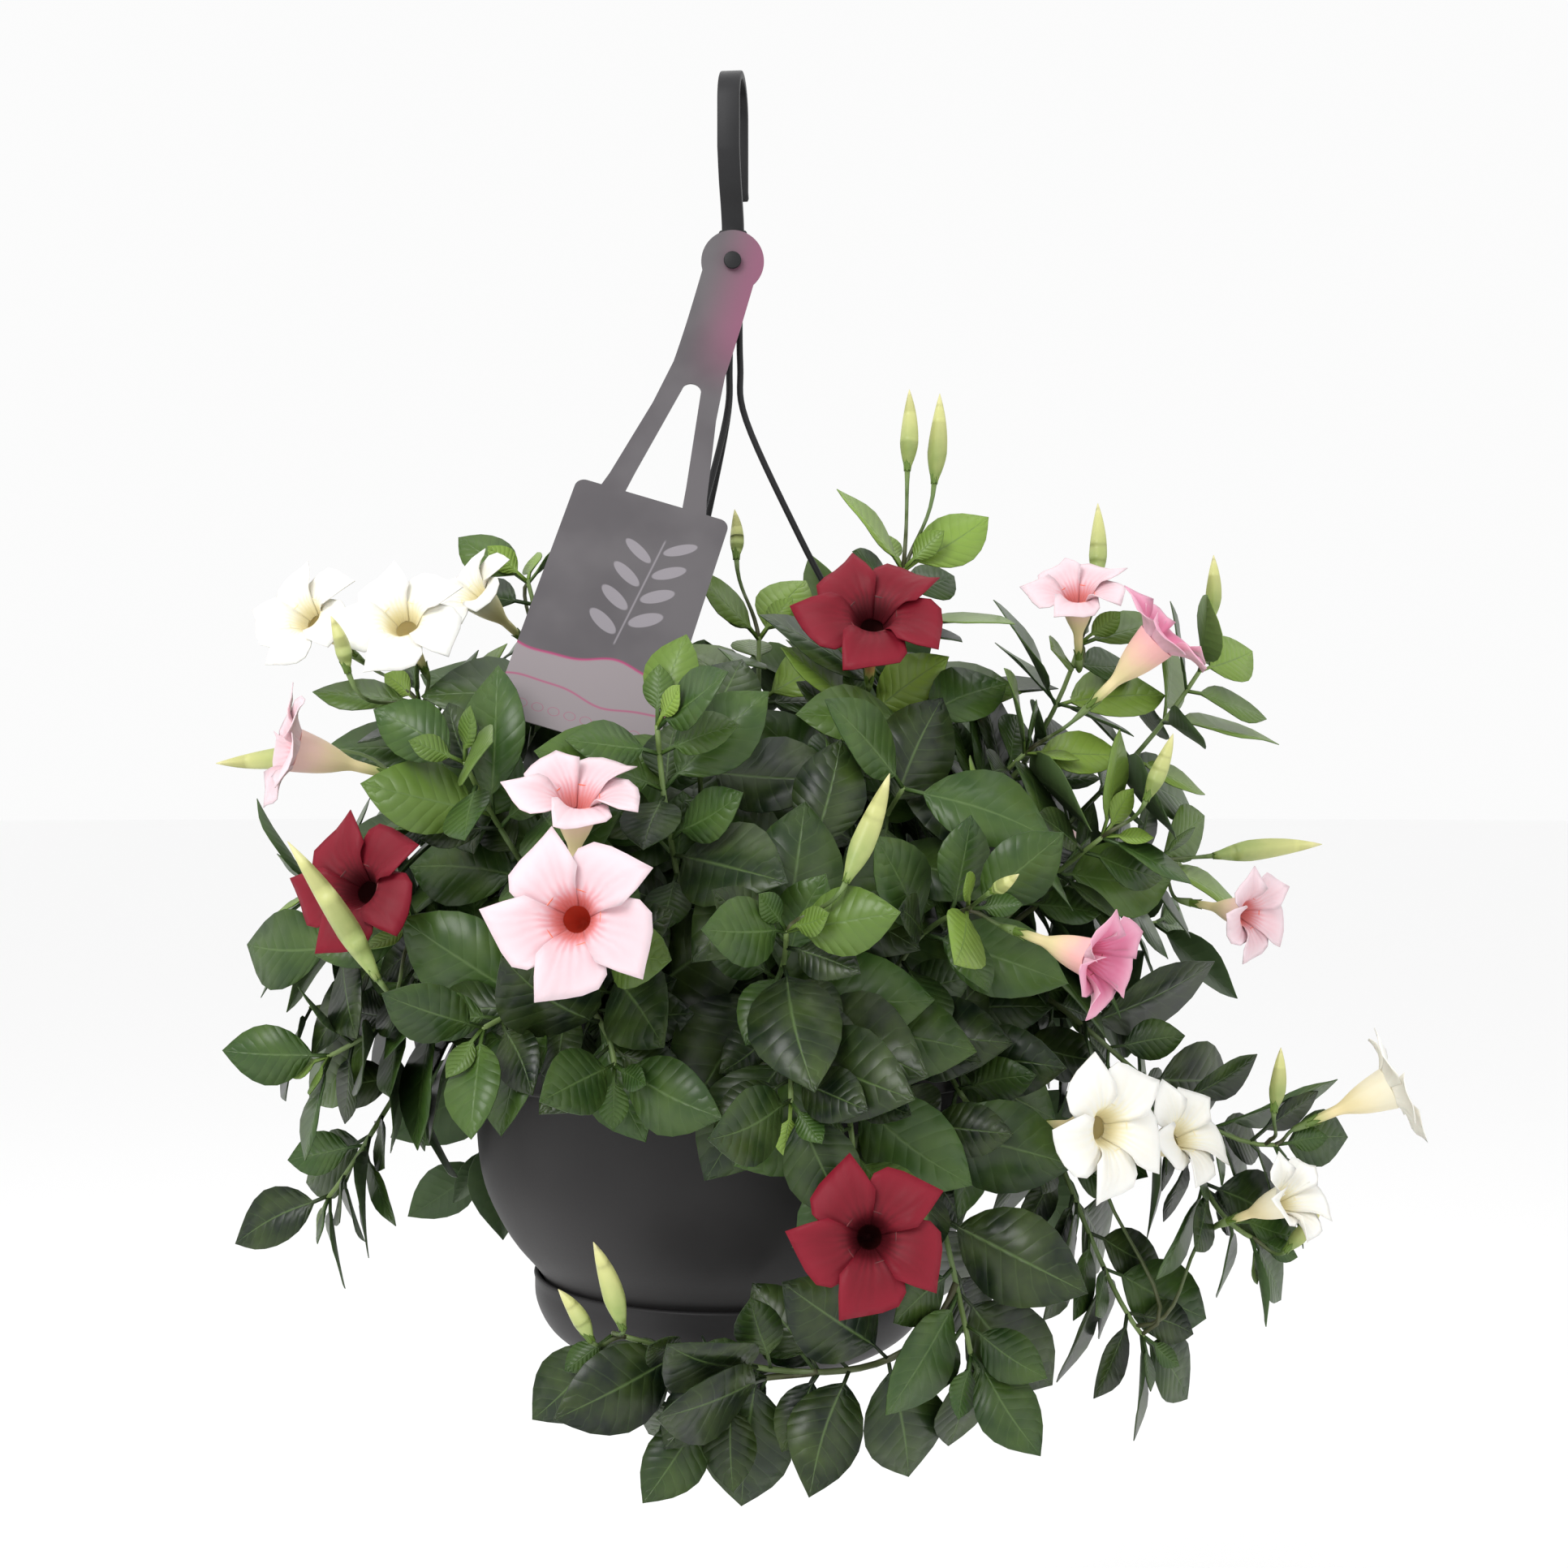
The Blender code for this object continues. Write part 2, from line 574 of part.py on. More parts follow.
def make_hook(group):
    """Makes the flat hook: a strip along its route, with live thickness."""
    shape = bmesh.new()
    half = HOOK_WIDTH / 2 * MM
    corners = [shape.verts.new((-half, depth * MM, height * MM)) for depth, height in hook_route()]
    edges = [shape.edges.new(pair) for pair in zip(corners, corners[1:])]
    grown = bmesh.ops.extrude_edge_only(shape, edges=edges)["geom"]
    moved = [item for item in grown if isinstance(item, bmesh.types.BMVert)]
    bmesh.ops.translate(shape, vec=(2 * half, 0.0, 0.0), verts=moved)
    bmesh.ops.rotate(shape, matrix=Matrix.Rotation(math.radians(HOOK_TURN), 3, "Z"), verts=shape.verts)
    plastic = new_material("black_hook_plastic", (0.02, 0.019, 0.021), 0.4)
    hook = place("hook", mesh_from(shape, "hook"), group, plastic)
    wall = hook.modifiers.new("thickness", "SOLIDIFY")
    wall.thickness = HOOK_THICK * MM
    wall.offset = 0.0
    wall.use_even_offset = True
    return hook


def make_rod(name, start, end, radius, sides, group):
    """Makes a round rod between two points given in millimetres."""
    start, end = Vector(start) * MM, Vector(end) * MM
    run = end - start
    shape = bmesh.new()
    bmesh.ops.create_cone(
        shape, cap_ends=True, segments=sides, radius1=radius * MM, radius2=radius * MM, depth=run.length
    )
    turn = run.to_track_quat("Z", "Y").to_matrix()
    bmesh.ops.rotate(shape, matrix=turn, verts=shape.verts)
    bmesh.ops.translate(shape, vec=(start + end) / 2, verts=shape.verts)
    return place(name, mesh_from(shape, name), group)


def make_block(name, size, centre, turn, group):
    """Makes a block by its size and centre in millimetres, turned about Z."""
    shape = bmesh.new()
    bmesh.ops.create_cube(shape, size=1.0)
    bmesh.ops.scale(shape, vec=Vector(size) * MM, verts=shape.verts)
    bmesh.ops.translate(shape, vec=Vector(centre) * MM, verts=shape.verts)
    bmesh.ops.rotate(shape, matrix=Matrix.Rotation(math.radians(turn), 3, "Z"), verts=shape.verts)
    return place(name, mesh_from(shape, name), group)


def tube_mesh(name, points, radii, resolution):
    """Makes the mesh of a tube along points, with a radius at each, all in millimetres."""
    curve = bpy.data.curves.new(name, "CURVE")
    curve.dimensions = "3D"
    curve.bevel_depth = MM
    curve.bevel_resolution = resolution
    curve.use_fill_caps = True
    spline = curve.splines.new("POLY")
    spline.points.add(len(points) - 1)
    for knot, point, radius in zip(spline.points, points, radii):
        knot.co = (*(Vector(point) * MM), 1.0)
        knot.radius = radius
    thing = bpy.data.objects.new(name, curve)
    bpy.context.scene.collection.objects.link(thing)
    mesh = evaluated_mesh(thing)
    bpy.data.objects.remove(thing, do_unlink=True)
    bpy.data.curves.remove(curve)
    return mesh


def arm_points(turn):
    """Gives one arm's route in millimetres, for its turn about the pot's axis."""
    across = Matrix.Rotation(math.radians(turn), 3, "Z")
    return [across @ Vector((radius, 0.0, height)) for radius, height in ARM_ROUTE]


def make_hanger(group, cutters):
    """Makes the hanger: boss, peg, and the three arms with their clips, as one piece.

    The boss has a plain socket that the foot of the hook stands in.
    """
    boss = (BOSS_WIDTH, BOSS_DEPTH, BOSS_TOP - BOSS_BOTTOM)
    boss_centre = (0.0, -BOSS_BACK, (BOSS_TOP + BOSS_BOTTOM) / 2)
    pieces = [make_block("boss", boss, boss_centre, 0.0, group)]
    for name, (back, front), radius in (
        ("peg", PEG_SPAN, PEG_RADIUS), ("peg_head", PEG_HEAD_SPAN, PEG_HEAD_RADIUS)
    ):
        ends = (0.0, back, PEG_HEIGHT), (0.0, front, PEG_HEIGHT)
        pieces.append(make_rod(name, *ends, radius, PEG_SIDES, group))
    clip = (
        ("clip_shoulder", CLIP_SHOULDER, RIM_TOP + CLIP_SHOULDER_RISE),
        ("clip_neck", CLIP_NECK, RIM_TOP - CLIP_NECK_DROP),
        ("clip_foot", CLIP_FOOT, RIM_TOP - RIM_FLANGE - CLIP_FOOT_GAP - CLIP_FOOT[2] / 2),
    )
    for index, turn in enumerate(ARM_TURNS):
        arm = tube_mesh("arm", arm_points(turn), [ARM_RADIUS] * len(ARM_ROUTE), 1)
        pieces.append(place(f"arm_{index}", arm, group))
        for name, size, height in clip:
            centre = (SLOT_RADIUS, 0.0, height)
            pieces.append(make_block(f"{name}_{index}", size, centre, turn, group))
    plastic = new_material("black_hanger_plastic", (0.02, 0.019, 0.021), 0.4)
    hanger = fuse("hanger", pieces, group, plastic)
    floor = HOOK_NECK[0][1] - SOCKET_PLAY
    socket = (HOOK_WIDTH + 2 * SOCKET_PLAY, HOOK_THICK + 2 * SOCKET_PLAY, 2 * (BOSS_TOP - floor))
    make_block("cut_hook_socket", socket, (0.0, 0.0, floor + socket[2] / 2), HOOK_TURN, cutters)
    cut(hanger, cutters)
    return hanger


# Hang tag
def tag_outline():
    """Gives the tag's outer outline, anticlockwise from the left of its head."""
    half, corner = TAG_PANEL_HALF, TAG_CORNER
    top, bottom = TAG_PANEL_TOP, TAG_PANEL_BOTTOM
    left = TAG_LEFT_EDGE + arc((-half + corner, top - corner), corner, 90.0, 180.0, 3)
    left += arc((-half + corner, bottom + corner), corner, 180.0, 270.0, 3)
    right = [(-u, v) for u, v in reversed(left)]
    return left + right + arc((0.0, 0.0), TAG_HEAD, -32.0, 212.0, 14)


def tag_window():
    """Gives the outline of the gap between the tag's two straps."""
    right = [(-across, up) for across, up in reversed(TAG_WINDOW_LEFT)]
    notch = arc((0.0, TAG_NOTCH_TOP - TAG_NOTCH), TAG_NOTCH, 20.0, 160.0, 4)
    return right + notch + TAG_WINDOW_LEFT


def tag_spot(across, up):
    """Bends and hangs a point of the flat tag. All in millimetres."""
    start, end, lean = TAG_BEND_START, TAG_BEND_END, math.radians(TAG_LEAN)
    radius = (start - end) / lean
    if up > start:
        depth, height = 0.0, up
    elif up > end:
        turn = (start - up) / radius
        depth, height = -radius * (1.0 - math.cos(turn)), start - radius * math.sin(turn)
    else:
        depth = -radius * (1.0 - math.cos(lean)) + (up - end) * math.sin(lean)
        height = start - radius * math.sin(lean) + (up - end) * math.cos(lean)
    roll = math.radians(TAG_ROLL)
    x = across * math.cos(roll) + height * math.sin(roll)
    z = -across * math.sin(roll) + height * math.cos(roll)
    return Vector((x, TAG_PLANE + depth, PEG_HEIGHT + z))


def make_tag(group):
    """Makes the tag: a flat filled outline, bent forward and given its thickness."""
    curve = bpy.data.curves.new("tag_outline", "CURVE")
    curve.dimensions = "2D"
    curve.fill_mode = "BOTH"
    for outline in (tag_outline(), tag_window(), arc((0.0, 0.0), TAG_HOLE, 0.0, 330.0, 11)):
        spline = curve.splines.new("POLY")
        spline.points.add(len(outline) - 1)
        spline.use_cyclic_u = True
        for knot, (across, up) in zip(spline.points, outline):
            knot.co = (across, up, 0.0, 1.0)
    flat = place("tag_flat", curve, group)
    mesh = evaluated_mesh(flat)
    bpy.data.objects.remove(flat, do_unlink=True)
    shape = bmesh.new()
    shape.from_mesh(mesh)
    levels = [TAG_BEND_START - 10.0 * step for step in range(5)]
    for level in levels:
        parts = list(shape.verts) + list(shape.edges) + list(shape.faces)
        bmesh.ops.bisect_plane(shape, geom=parts, plane_co=(0, level, 0), plane_no=(0, 1, 0), dist=1e-4)
    for corner in shape.verts:
        corner.co = tag_spot(corner.co.x, corner.co.y) * MM
    bmesh.ops.triangulate(shape, faces=shape.faces)
    bmesh.ops.recalc_face_normals(shape, faces=shape.faces)
    shape.to_mesh(mesh)
    shape.free()
    tag = place("hang_tag", mesh, group, new_material("printed_card", (0.22, 0.19, 0.23), 0.3))
    wall = tag.modifiers.new("thickness", "SOLIDIFY")
    wall.thickness = TAG_THICK * MM
    wall.offset = 0.0
    return tag


# Plan of the plants, all in millimetres
def smooth_route(start, start_pull, end, end_pull, count):
    """Gives points on a smooth curve between two ends with their pulls."""
    knots = interpolate_bezier(start, start + start_pull, end - end_pull, end, count)
    return [Vector(knot) for knot in knots]


def route_spot(route, back):
    """Gives the point and direction at a length back from a route's end."""
    left = back
    for index in range(len(route) - 1, 0, -1):
        step = route[index - 1] - route[index]
        if step.length >= left:
            return route[index] + step.normalized() * left, -step.normalized()
        left -= step.length
    return route[0].copy(), (route[1] - route[0]).normalized()


def route_length(route):
    """Gives the length of a route."""
    return sum((after - before).length for before, after in zip(route, route[1:]))


def tube_shell(route, radii):
    """Gives a four-sided tube along a route, as points and triangles."""
    points, faces = [], []
    for index, spot in enumerate(route):
        run = (route[min(index + 1, len(route) - 1)] - route[max(index - 1, 0)]).normalized()
        side = run.cross(Vector((0.36, 0.48, 0.8))).normalized()
        lift = side.cross(run)
        for across, up in ((1, 0), (0, 1), (-1, 0), (0, -1)):
            points.append(spot + (side * across + lift * up) * radii[index])
    for ring in range(len(route) - 1):
        for corner in range(4):
            a, b = ring * 4 + corner, ring * 4 + (corner + 1) % 4
            faces += [(a, b, b + 4), (a, b + 4, a + 4)]
    return points, faces


def leaf_sections(leaf, grow=0.0):
    """Gives a leaf's cross-sections as a middle point and a half width, and the tip."""
    base = leaf.start + leaf.along * leaf.petiole
    sections = [(leaf.start - leaf.along * 0.3, PETIOLE_RADIUS + grow), (base, PETIOLE_RADIUS + grow)]
    for along, width in LEAF_STATIONS:
        drop = leaf.arch * leaf.length * along * along
        spot = base + leaf.along * (leaf.length * along) - leaf.normal * drop
        sections.append((spot, leaf.half_width * width + grow))
    tip = base + leaf.along * (leaf.length + grow) - leaf.normal * (leaf.arch * leaf.length)
    return sections, tip


def leaf_shell(leaf):
    """Gives a leaf as points and triangles: flat above, with the midrib as a keel below."""
    side = leaf.along.cross(leaf.normal).normalized()
    sections, tip = leaf_sections(leaf)
    points, faces = [], []
    for spot, reach in sections:
        keel = spot - leaf.normal * LEAF_THICK
        points += [spot - side * reach, spot + side * reach, keel]
    points.append(tip)
    for ring in range(len(sections) - 1):
        a = ring * 3
        faces += [(a, a + 1, a + 4), (a, a + 4, a + 3)]
        faces += [(a + 1, a + 2, a + 4), (a + 2, a + 5, a + 4)]
        faces += [(a + 2, a, a + 3), (a + 2, a + 3, a + 5)]
    last = (len(sections) - 1) * 3
    faces += [(last, last + 1, last + 3), (last + 1, last + 2, last + 3), (last + 2, last, last + 3)]
    faces.append((0, 2, 1))
    return points, faces


def leaf_guard(leaf, grow, stalk):
    """Gives a fatter leaf, with or without its stalk, that shows what the leaf needs clear."""
    side = leaf.along.cross(leaf.normal).normalized()
    sections, tip = leaf_sections(leaf, grow)
    points, faces = [], []
    if not stalk:
        sections = sections[1:]
    for spot, reach in sections:
        points += [spot - side * reach, spot + leaf.normal * (grow + LEAF_CLOSE)]
        points += [spot + side * reach, spot - leaf.normal * (LEAF_THICK + grow)]
    points.append(tip)
    for ring in range(len(sections) - 1):
        for corner in range(4):
            a, b = ring * 4 + corner, ring * 4 + (corner + 1) % 4
            faces += [(a, b, b + 4), (a, b + 4, a + 4)]
    last = (len(sections) - 1) * 4
    faces += [(last + corner, last + (corner + 1) % 4, len(points) - 1) for corner in range(4)]
    return points, faces


def bloom_axes(bloom):
    """Gives a bloom's facing direction and two directions across it."""
    facing = Vector(bloom.facing).normalized()
    across = facing.cross(Vector((0.0, 0.0, 1.0))).normalized()
    return facing, across, across.cross(facing)


def bloom_base(bloom):
    """Gives the point where a bloom's tube starts."""
    facing = bloom_axes(bloom)[0]
    return Vector(bloom.mouth) - facing * (BLOOM_MOUTH[1] * bloom.size)


def bloom_shell(bloom, grow=0.0):
    """Gives a bloom as points and triangles: a tube that widens into five pinwheel petals."""
    facing, across, up = bloom_axes(bloom)
    base = bloom_base(bloom)
    fold = 1.0 - bloom.opening
    tube = 1.0 - FOLDED_TUBE * fold
    reach = 1.0 - FOLDED_REACH * fold
    points, faces = [], []

    def add(turn, radius, height):
        angle = math.radians(turn)
        spot = (across * math.cos(angle) + up * math.sin(angle)) * radius + facing * height
        points.append(base + spot * bloom.size)
        return len(points) - 1

    starts = [PETAL_START + 360.0 / PETAL_COUNT * petal for petal in range(PETAL_COUNT)]
    foot = [add(start, BLOOM_FOOT[0] + grow, BLOOM_FOOT[1]) for start in starts]
    waist = [add(start, BLOOM_WAIST[0] + grow, BLOOM_WAIST[1]) for start in starts]
    flare = [add(start, BLOOM_FLARE[0] * tube + grow, BLOOM_FLARE[1] - grow) for start in starts]
    mouth = [add(start, BLOOM_MOUTH[0] * tube, BLOOM_MOUTH[1] + grow) for start in starts]
    pit = add(0.0, 0.0, BLOOM_PIT)
    for k, start in enumerate(starts):
        n = (k + 1) % PETAL_COUNT
        left, tip, right = [
            add(start + turn, (radius + grow) * reach, height + FOLDED_RISE * fold)
            for turn, radius, height in (PETAL_LEFT, PETAL_TIP, PETAL_RIGHT)
        ]
        turn, radius, height = PETAL_MIDDLE
        middle = height + FOLDED_RISE * fold
        top = add(start + turn, radius * reach, middle + PETAL_THICK / 2 + grow)
        under = add(start + turn, radius * reach, middle - PETAL_THICK / 2 - grow)
        faces += [(foot[k], foot[n], waist[n]), (foot[k], waist[n], waist[k])]
        faces += [(waist[k], waist[n], flare[n]), (waist[k], flare[n], flare[k])]
        faces += [(mouth[k], pit, mouth[n]), (mouth[n], mouth[k], top), (flare[n], under, flare[k])]
        faces += [(mouth[k], left, top), (left, tip, top), (tip, right, top), (right, mouth[n], top)]
        faces += [(flare[k], under, left), (left, under, tip), (tip, under, right)]
        faces += [(right, under, flare[n]), (mouth[k], flare[k], left), (flare[n], mouth[n], right)]
    faces += [(foot[0], foot[k + 1], foot[k]) for k in range(1, PETAL_COUNT - 1)]
    return points, faces


def stalk_to(target, axis, shoot_route, order):
    """Gives a stalk from a stem to a point that it reaches along an axis.

    Each further stalk of a stem starts lower down, and each leaves towards its own target.
    """
    start, run = route_spot(shoot_route, STALK_START + STALK_STEP * order)
    away = target - start
    pull = away.length * STALK_PULL
    push = (run + away.normalized()).normalized() * pull
    return smooth_route(start, push, target, axis * pull, STALK_POINTS)


def bud_route(bud, shoot_route, order):
    """Gives a bud's stalk and spindle as a route with its radii."""
    base, tip = Vector(bud.base), Vector(bud.tip)
    axis = tip - base
    stalk = stalk_to(base, axis.normalized(), shoot_route, order)
    girth = min(BUD_GIRTH, BUD_GIRTH_LEAST + axis.length * BUD_GIRTH_RISE)
    route = stalk + [base + axis * part for part, _ in BUD_PROFILE]
    radii = STALK_RADII + [max(girth * width, BUD_TIP) for _, width in BUD_PROFILE]
    return route, radii


def stalk_route(bloom, shoot_route, order):
    """Gives the stalk and calyx that carry a bloom, up to the seat of its tube."""
    facing = bloom_axes(bloom)[0]
    seat = bloom_base(bloom) - facing * CALYX_GAP
    calyx = seat - facing * CALYX_LENGTH
    return stalk_to(calyx, facing, shoot_route, order) + [seat], STALK_RADII + [CALYX_RADIUS]


def profile_shell(profile, segments):
    """Gives a turned surface as points and triangles."""
    points, faces = [], []
    for radius, height in profile:
        for step in range(segments):
            turn = math.tau * step / segments
            points.append(Vector((radius * math.cos(turn), radius * math.sin(turn), height)))
    for ring in range(len(profile) - 1):
        for step in range(segments):
            a, b = ring * segments + step, ring * segments + (step + 1) % segments
            faces += [(a, b, b + segments), (a, b + segments, a + segments)]
    return points, faces


class Clearance:
    """What is already placed, as trees of triangles with their boxes."""

    def __init__(self):
        self.trees = []

    @staticmethod
    def box(points):
        """Gives the lowest and highest corner of some points."""
        low = Vector([min(p[axis] for p in points) for axis in range(3)])
        high = Vector([max(p[axis] for p in points) for axis in range(3)])
        return low, high

    def add(self, owner, shell):
        """Adds a shell that belongs to an owner."""
        points, faces = shell
        low, high = self.box(points)
        self.trees.append((owner, low, high, BVHTree.FromPolygons(points, faces)))

    def is_clear(self, shell, skip=()):
        """Tells whether a shell crosses nothing but what belongs to the owners to skip."""
        points, faces = shell
        low, high = self.box(points)
        tree = None
        for owner, other_low, other_high, other in self.trees:
            if owner in skip:
                continue
            if any(low[a] > other_high[a] or high[a] < other_low[a] for a in range(3)):
                continue
            tree = tree or BVHTree.FromPolygons(points, faces)
            if tree.overlap(other):
                return False
        return True


class Plan:
    """Where every stem, bud, bloom and leaf goes, so that none crosses another."""

    def __init__(self):
        self.random = random.Random(7)
        self.clearance = Clearance()
        self.roots = []
        self.routes = {}
        self.owner = {}
        self.stalks = {}
        self.leaves = {}
        self.fronts = [(Vector(spot), radius) for spot, radius in OPEN_FRONTS]
        self.lost = []
        self.add_hardware()
        self.grow_stems()
        self.grow_leaves()

    def add_hardware(self):
        """Adds the pot, the soil, the hanger and the tag to what is kept clear."""
        skin = [(1.0, SOIL_CENTRE + 2.0), (128.0, SOIL_EDGE + 2.0), (132.0, RIM_TOP + 1.0)]
        skin += [(RIM_OUTER + 1.0, RIM_TOP + 1.0), (RIM_OUTER + 1.0, RIM_TOP - RIM_SKIRT)]
        skin += [(radius + 1.0, height) for radius, height in reversed(POT_OUTSIDE[4:])]
        skin += [(radius + 1.5, height - 1.0) for radius, height in reversed(SAUCER_OUTSIDE)]
        skin += [(1.0, SAUCER_OUTSIDE[0][1] - 6.0)]
        self.clearance.add("pot", profile_shell(skin, 24))
        for turn in ARM_TURNS:
            route = arm_points(turn)
            self.clearance.add("hanger", tube_shell(route, [ARM_RADIUS + 1.2] * len(route)))
            route = [route[-1] + Vector((0, 0, 2)), route[-1] - Vector((0, 0, 6))]
            self.clearance.add("hanger", tube_shell(route, [10.0, 10.0]))
        boss = [Vector((0.0, 0.0, BOSS_TOP)), Vector((0.0, 0.0, BOSS_BOTTOM))]
        self.clearance.add("hanger", tube_shell(boss, [16.0, 16.0]))
        levels = [(12.0, 16.0), (-22.0, 16.0), (-62.0, 15.0), (-90.0, 18.0), (TAG_PANEL_TOP, 29.0)]
        levels += [(TAG_PANEL_TOP, 41.0), (TAG_PANEL_BOTTOM, 41.0)]
        for slab in (-1.4, 0.0, 1.4):
            points, faces = [], []
            for level, half in levels:
                points += [tag_spot(side * half, level) + Vector((0, slab, 0)) for side in (-1, 1)]
            for ring in range(len(levels) - 1):
                a = ring * 2
                faces += [(a, a + 1, a + 3), (a, a + 3, a + 2)]
            self.clearance.add("tag", (points, faces))

    def find_root(self, shoot):
        """Gives a stem's spot in the soil, clear of the other stems' spots."""
        tip = Vector(shoot.tip)
        turn = math.atan2(tip.y, tip.x) + math.radians(shoot.turn)
        for attempt in range(ROOT_TRIES):
            step = (attempt + 1) // 2 * (1 if attempt % 2 else -1)
            angle = turn + math.radians(ROOT_TURN) * step
            spot = Vector((shoot.ring * math.cos(angle), shoot.ring * math.sin(angle), SOIL_EDGE))
            if all((spot - other).length > ROOT_GAP for other in self.roots):
                self.roots.append(spot)
                return spot
        raise ValueError(f"no room in the soil for {shoot.name}")

    def shoot_route(self, shoot, lift, sway):
        """Gives a stem's route for a change of its lift and sway."""
        tip = Vector(shoot.tip)
        heading = Vector(shoot.heading).normalized()
        if shoot.parent:
            parent = self.routes[shoot.parent]
            start, run = route_spot(parent, route_length(parent) * (1.0 - shoot.at))
            pull = (tip - start).length * SIDE_PULL
            push = (run + (tip - start).normalized() * SIDE_LEAN).normalized() * pull
            return smooth_route(start, push, tip, heading * pull, SIDE_POINTS)
        root = self.roots[-1]
        reach = (tip - root).length
        push = Vector((root.x * ROOT_LEAN, root.y * ROOT_LEAN, reach * shoot.rise * lift))
        push += Vector((-root.y, root.x, 0.0)).normalized() * (sway * reach)
        foot = root - Vector((0.0, 0.0, ROOT_DEPTH))
        ground = root + Vector((0.0, 0.0, ROOT_RISE))
        return [foot] + smooth_route(ground, push, tip, heading * (reach * STEM_PULL), STEM_POINTS)

    def grow_stems(self):
        """Routes each stem with its blooms and buds."""
        for shoot in SHOOTS:
            if not shoot.parent:
                self.find_root(shoot)
            owner = self.owner[shoot.parent] if shoot.parent else shoot.name
            self.owner[shoot.name] = owner
            for lift, sway in STEM_TRIES:
                route = self.shoot_route(shoot, lift, sway)
                radii = self.stem_radii(route)
                tested = route[1:] if not shoot.parent else route
                shell = tube_shell(tested, [radius + STEM_GAP for radius in radii[-len(tested):]])
                if self.clearance.is_clear(shell, (owner,)):
                    break
            else:
                self.lost.append(shoot.name)
            self.routes[shoot.name] = route
            self.clearance.add(owner, tube_shell(route, radii))
            self.grow_heads(shoot, owner, route)

    @staticmethod
    def stem_radii(route):
        """Gives a stem's radii, slimmer towards the tip."""
        last = len(route) - 1
        return [STEM_RADIUS - STEM_TAPER * index / last for index in range(last + 1)]

    def grow_heads(self, shoot, owner, route):
        """Places the blooms and buds at the end of a stem."""
        self.stalks[shoot.name] = []
        for bloom in [bloom for bloom in BLOOMS if bloom.shoot == shoot.name]:
            stalk = stalk_route(bloom, route, len(self.stalks[shoot.name]))
            if not self.clearance.is_clear(bloom_shell(bloom, BLOOM_GAP)):
                self.lost.append(bloom.name)
            self.keep_stalk(shoot.name, owner, stalk)
            self.clearance.add(bloom.name, bloom_shell(bloom))
            if bloom.mouth[1] < 0:
                self.fronts.append((Vector(bloom.mouth), BLOOM_REACH * bloom.size * 0.9))
        for bud in [bud for bud in BUDS if bud.shoot == shoot.name]:
            self.keep_stalk(shoot.name, owner, bud_route(bud, route, len(self.stalks[shoot.name])))

    def keep_stalk(self, name, owner, stalk):
        """Keeps the stalk of a bloom or bud, and notes it if it crosses anything."""
        route, radii = stalk
        guard = tube_shell(route, [radius + BLOOM_GAP for radius in radii])
        if not self.clearance.is_clear(guard, (owner,)):
            self.lost.append(f"{name}_stalk_{len(self.stalks[name])}")
        self.stalks[name].append(stalk)
        self.clearance.add(owner, tube_shell(route, radii))

    def hides_front(self, points):
        """Tells whether a leaf stands before a bloom or another thing kept in sight."""
        for spot, radius in self.fronts:
            depth = spot.y - FRONT_EYE.y
            for point in points:
                near = point.y - FRONT_EYE.y
                if near > depth - 2.0:
                    continue
                scale = depth / near
                across = FRONT_EYE.x + (point.x - FRONT_EYE.x) * scale - spot.x
                up = FRONT_EYE.z + (point.z - FRONT_EYE.z) * scale - spot.z
                if math.hypot(across, up) < radius:
                    return True
        return False

    def leaf_at(self, spot, run, turn, pitch, size):
        """Gives a leaf on a stem: its turn round the stem, its pitch and its size."""
        outward = (spot - MOUND_CENTRE).normalized()
        side = run.cross(outward)
        if side.length < 0.2:
            side = run.cross(Vector((0.0, 0.0, 1.0)))
        side.normalize()
        lift = side.cross(run)
        across = side * math.cos(turn) + lift * math.sin(turn)
        upright = Vector((0.0, 0.0, 1.0))
        along = across + run * (LEAF_FORWARD + pitch) - upright * LEAF_DROOP + outward * LEAF_OUTWARD
        along.normalize()
        level = Vector((spot.x, spot.y - LEAF_FRONT_BIAS, 0.0)).normalized()
        facings = (run, outward, level, upright)
        face = sum((way * share for way, share in zip(facings, LEAF_FACING)), Vector())
        normal = face - along * face.dot(along)
        if normal.length < 0.1:
            normal = lift - along * lift.dot(along)
        normal.normalize()
        return Leaf(spot, along, normal, LEAF_LENGTH * size, LEAF_HALF_WIDTH * size,
                    7.0 + 3.0 * size, 0.08 + 0.12 * size)

    def try_leaf(self, spot, run, turn, pitch, size, owner):
        """Tries a leaf in a few turns and sizes, and keeps the first that crosses nothing."""
        forward = SEEN_FORWARD if spot.y < SEEN_DEPTH else 0.0
        looked_at = ((spot - MOUND_CENTRE).normalized() - Vector((0.0, forward, 0.0))).normalized()
        for seen, (turn_change, pitch_change, size_change) in itertools.product(LEAF_SEEN, LEAF_TRIES):
            leaf = self.leaf_at(spot, run, turn + turn_change, pitch + pitch_change, size * size_change)
            if leaf.normal.dot(looked_at) < seen:
                continue
            blade = leaf_guard(leaf, BLADE_GAP, stalk=False)
            if self.hides_front(blade[0]):
                continue
            if not self.clearance.is_clear(blade):
                continue
            whole = leaf_guard(leaf, LEAF_GAP, stalk=True)
            if self.clearance.is_clear(whole, (owner, owner + "_leaves")):
                return leaf
        return None

